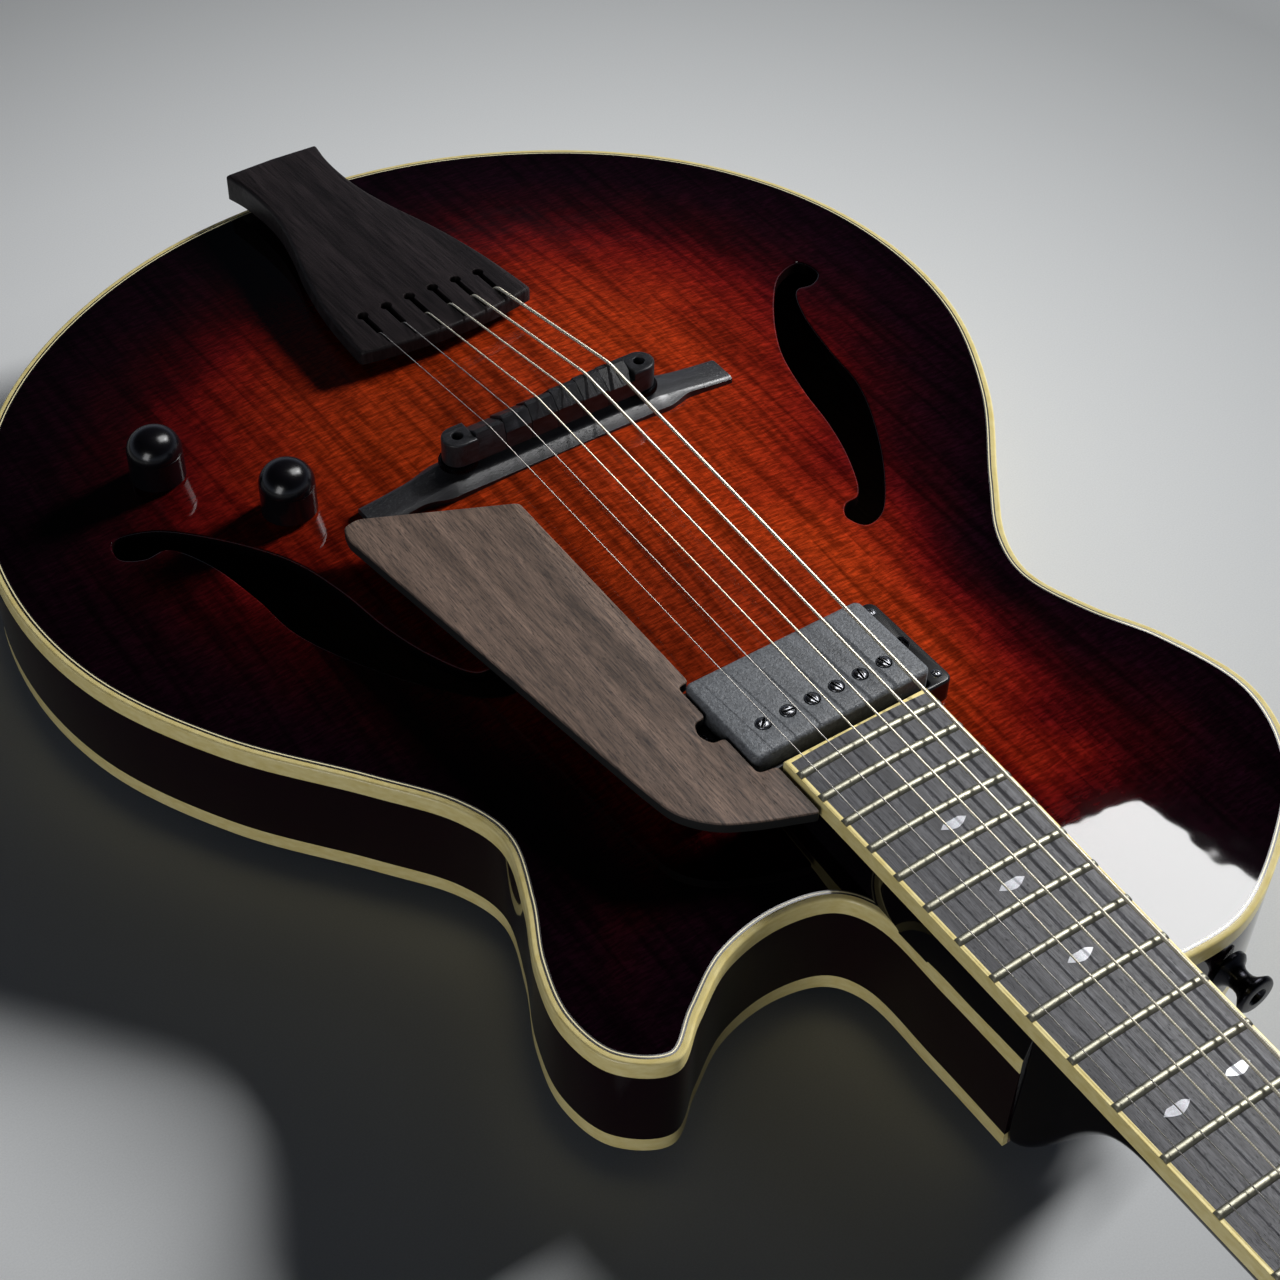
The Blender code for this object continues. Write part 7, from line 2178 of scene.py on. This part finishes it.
# %% Veneer and truss rod cover
ROD_COVER_PLAN = ((5.5, 3.0), (7.5, 5.0), (7.8, 12.0), (6.0, 22.0), (3.0, 31.0))
ROD_COVER_TIP = 34.0
ROD_COVER_THICKNESS = 1.8
ROD_COVER_CORNER = 1.6
LID_SCREW_RADIUS = 1.4
LID_CROSS_HEAD = (0.5, 0.18, 0.85, 0.2)
LID_SCREW_PLACES = (5.5, 29.0)
SLEEVE_RADIUS = 4.8
SLEEVE_SPACE = 0.2
VENEER_EDGE = 0.5

tuners = tuner_places()
half_plan = [(float(half), float(along)) for along, half in head_plan]
outline = half_plan + [(-x, y) for x, y in reversed(half_plan)]
bores = [(clockwise(circle((side * TUNER_X, along), SLEEVE_RADIUS + SLEEVE_SPACE)), DRILLED_EDGE)
         for side, along in tuners]
FACE_EBONY = dense_wood("polished_ebony_veneer", "#0d0d0f", "#1f1f22", (0.2, 1.4, 0.9), 0.3)
shape = plate([(np.array(outline), VENEER_EDGE)] + bores, level(0.0), level(-VENEER), cell=7.0)
piece("ebony_head_veneer", in_head(shape[:2]), (FACE_EBONY,), replaces=("headstock_veneer",))

outline = list(ROD_COVER_PLAN) + [(0.0, ROD_COVER_TIP)]
outline += [(-x, y) for x, y in reversed(ROD_COVER_PLAN)]
COVER_PLASTIC = moulded("rod_cover_plastic", "#0a0a0c", 0.16, 0.004)
lid_top = SEAT_GAP + ROD_COVER_THICKNESS
lid = plate([(eased(outline, ROD_COVER_CORNER), VENEER_EDGE)], level(lid_top), level(SEAT_GAP), cell=4.0)
piece("pointed_rod_cover", in_head(lid[:2]), (COVER_PLASTIC,), replaces=("truss_rod_cover",))
lid_screws = [moved(cross_head(LID_SCREW_RADIUS, *LID_CROSS_HEAD), (0.0, y, lid_top - SANDED_GAP))
              for y in LID_SCREW_PLACES]
piece("rod_cover_screws", in_head(joined(*lid_screws)), (BLACK_PLATED,))
print("veneer bores:", len(bores), "cover screws:", len(lid_screws))

# %% [markdown]
# ## Tuning machines
# Each tuner has a geared case behind the headstock, a sleeve with a washer and a nut in front, a
# post that the string winds on, and an oval button on a worm shaft. The case stands still, and the
# post and the button turn on bodies of their own.

# %% Six tuners
HOUSING_DEPTH = 9.0
HOUSING_HALF = 8.0
HOUSING_OUTER = 10.0
HOUSING_INNER = 7.5
HOUSING_CORNER = 2.5
WASHER_RADIUS = 6.6
WASHER_THICKNESS = 1.4
WASHER_RIM = ((0.2, 0.0), (0.0, 0.25), (0.5, 1.1))
CASE_EDGE = ((1.2, 0.0), (0.5, 0.3), (0.0, 1.1))
SLEEVE_BORE = POST_RADIUS + 0.25
SLEEVE_SINK = 0.5
POST_HEIGHT = 10.0
POST_FOOT = 2.0
POST_WAIST = ((0.0, -2.6), (0.35, -1.4), (0.35, 0.8), (0.0, 1.8))
POST_TIP = ((3.0, -0.7), (2.4, 0.0), (1.2, 0.0), (1.0, -0.8))
WOOD_BACK = -HEAD_THICKNESS - VENEER - 0.6
BUTTON_PROFILE = ((-4.6, 2.0, 2.0), (6.4, 2.0, 2.0), (7.2, 2.1, 2.6), (8.4, 2.7, 4.6), (10.0, 3.0, 6.5),
                  (12.0, 3.15, 7.5), (14.5, 3.2, 7.9), (17.0, 3.05, 7.8), (19.0, 2.6, 7.1),
                  (20.3, 2.0, 6.0), (21.0, 1.2, 4.6))
BUTTON_SIDES = 36
BUTTON_BLACK = moulded("button_black", "#0b0a0c", 0.14, 0.003)

for number, (side, along) in enumerate(tuners, start=1):
    x = side * TUNER_X
    low = WOOD_BACK - HOUSING_DEPTH
    middle_x = x + side * (HOUSING_OUTER - HOUSING_INNER) / 2
    case_line = rounded_box((HOUSING_OUTER + HOUSING_INNER) / 2, HOUSING_HALF, HOUSING_CORNER,
            (middle_x, along))
    rings = [(inset, low + up) for inset, up in CASE_EDGE] + [(0.0, WOOD_BACK)]
    case = loft([[(*p, z) for p in offset(case_line, inset)] for inset, z in rings])
    sleeve_foot = WOOD_BACK - SLEEVE_SINK
    washer = [(WASHER_RADIUS - inward, SEAT_GAP + up) for inward, up in WASHER_RIM]
    sleeve = turned([(SLEEVE_RADIUS, sleeve_foot), (SLEEVE_RADIUS, SEAT_GAP), *washer,
                     (SLEEVE_BORE, WASHER_THICKNESS), (SLEEVE_BORE, sleeve_foot)],
                    (x, along, 0.0), bored=True)
    piece("tuner_case_%d" % number, in_head(joined(case, sleeve)), (BLACK_PLATED,),
          replaces=("tuner_housing_%d" % number,))
    profile = [(POST_RADIUS, low + POST_FOOT)]
    profile += [(POST_RADIUS - inward, WRAP_HEIGHT + up) for inward, up in POST_WAIST]
    profile += [(radius, POST_HEIGHT + up) for radius, up in POST_TIP]
    post = turned(profile, (x, along, 0.0))
    name = "tuner_post_%d" % number
    piece("string_post_%d" % number, in_head(post), (BLACK_PLATED,), body=name, replaces=(name,))
    sweep = np.linspace(0.0, 2 * math.pi, BUTTON_SIDES, endpoint=False)
    sections = [[(x + side * (HOUSING_OUTER + reach), along + tall * math.cos(a),
                  WOOD_BACK - HOUSING_DEPTH / 2 + thick * math.sin(a)) for a in sweep]
                for reach, thick, tall in BUTTON_PROFILE]
    name = "tuner_button_%d" % number
    piece("oval_button_%d" % number, in_head(loft(sections)), (BUTTON_BLACK,), body=name,
          replaces=(name,))
print("tuners:", len(tuners))

# %% [markdown]
# ## What stays as it is
# A few solids are hidden inside the guitar or already have their final shape: the centre block, the
# truss rod, the pickup's baseplate and the potentiometers. They keep their mesh and only get a real
# finish in place of the plain one.

# %% Finishes for the solids that stay
PLATED_STEEL = bright_metal("nickel_plated_steel", "#b9b8b2", 0.3, (0.24, 0.24, 0.24))
# The centre block takes the maple whose colour is painted dark as shade inside the body.
STAYING = {"centre_block": INSIDE_MAPLE_SHADED, "truss_rod": PLATED_STEEL, "pickup_baseplate": PLATED_STEEL,
           "volume_pot": PLATED_STEEL, "tone_pot": PLATED_STEEL}
for node, made in STAYING.items():
    for slot in bpy.data.objects[node].material_slots:
        slot.material = made
print("solids that stay:", len(STAYING))

# %% [markdown]
# ## Lamps for some pieces only
# Metal is read by what it mirrors, so the frets, strings, screws and plated parts get large soft
# boxes of their own. Satin wood and wrinkle paint are read by their shading instead: one small hard
# lamp rakes over the fretboard, the bridge, the pickguard and the cover, and draws the shadow of
# each string on them. Light linking keeps these lamps off the lacquer. The low fill lights the
# upright faces but neither the top nor the floor, whose shadows stay deep.

# %% Light linking
glint = soft_box("fittings_box", target=(0.0, 100.0, RIM_TOP), direction=(-0.53, -0.22, 0.82),
                 distance=2000.0, size=(1100.0, 900.0), power=23.0)
raking = soft_box("raking_lamp", target=(0.0, 100.0, RIM_TOP), direction=(-0.62, -0.1, 0.78),
                  distance=2000.0, size=(110.0, 110.0), power=24.0)
strings = soft_box("strings_box", target=(0.0, 60.0, RIM_TOP), direction=(-0.5, -0.5, 0.7),
                   distance=1800.0, size=(1000.0, 900.0), power=22.0)
LACQUERED = {TOP_LACQUER, BACK_LACQUER, SIDE_LACQUER, CREAM}
SATIN = ("ebony_", "inlay_", "rosewood_", "wooden_", "humbucker_cover", "pickup_mounting_ring",
         "fretboard_celluloid", "frets")
MIRRORING_TOO = ("frets", "ebony_bridge_base")
whole_guitar = [o for o in bpy.context.scene.objects if o.type == "MESH" and o is not floor]
wires = [o for o in whole_guitar if o.name.startswith("string_") and o.name.endswith("_wire")]
satin = [o for o in whole_guitar if o.name.startswith(SATIN)]
shiny = [o for o in whole_guitar if not LACQUERED & set(o.data.materials)
         and o not in wires and (o not in satin or o.name in MIRRORING_TOO)]
but_the_top = [o for o in whole_guitar if o.name != "arched_top"]
for lamp, receivers in ((glint, shiny), (raking, satin), (fill, but_the_top), (strings, wires)):
    group = bpy.data.collections.new(lamp.name + "_receivers")
    for made in receivers:
        group.objects.link(made)
    lamp.light_linking.receiver_collection = group
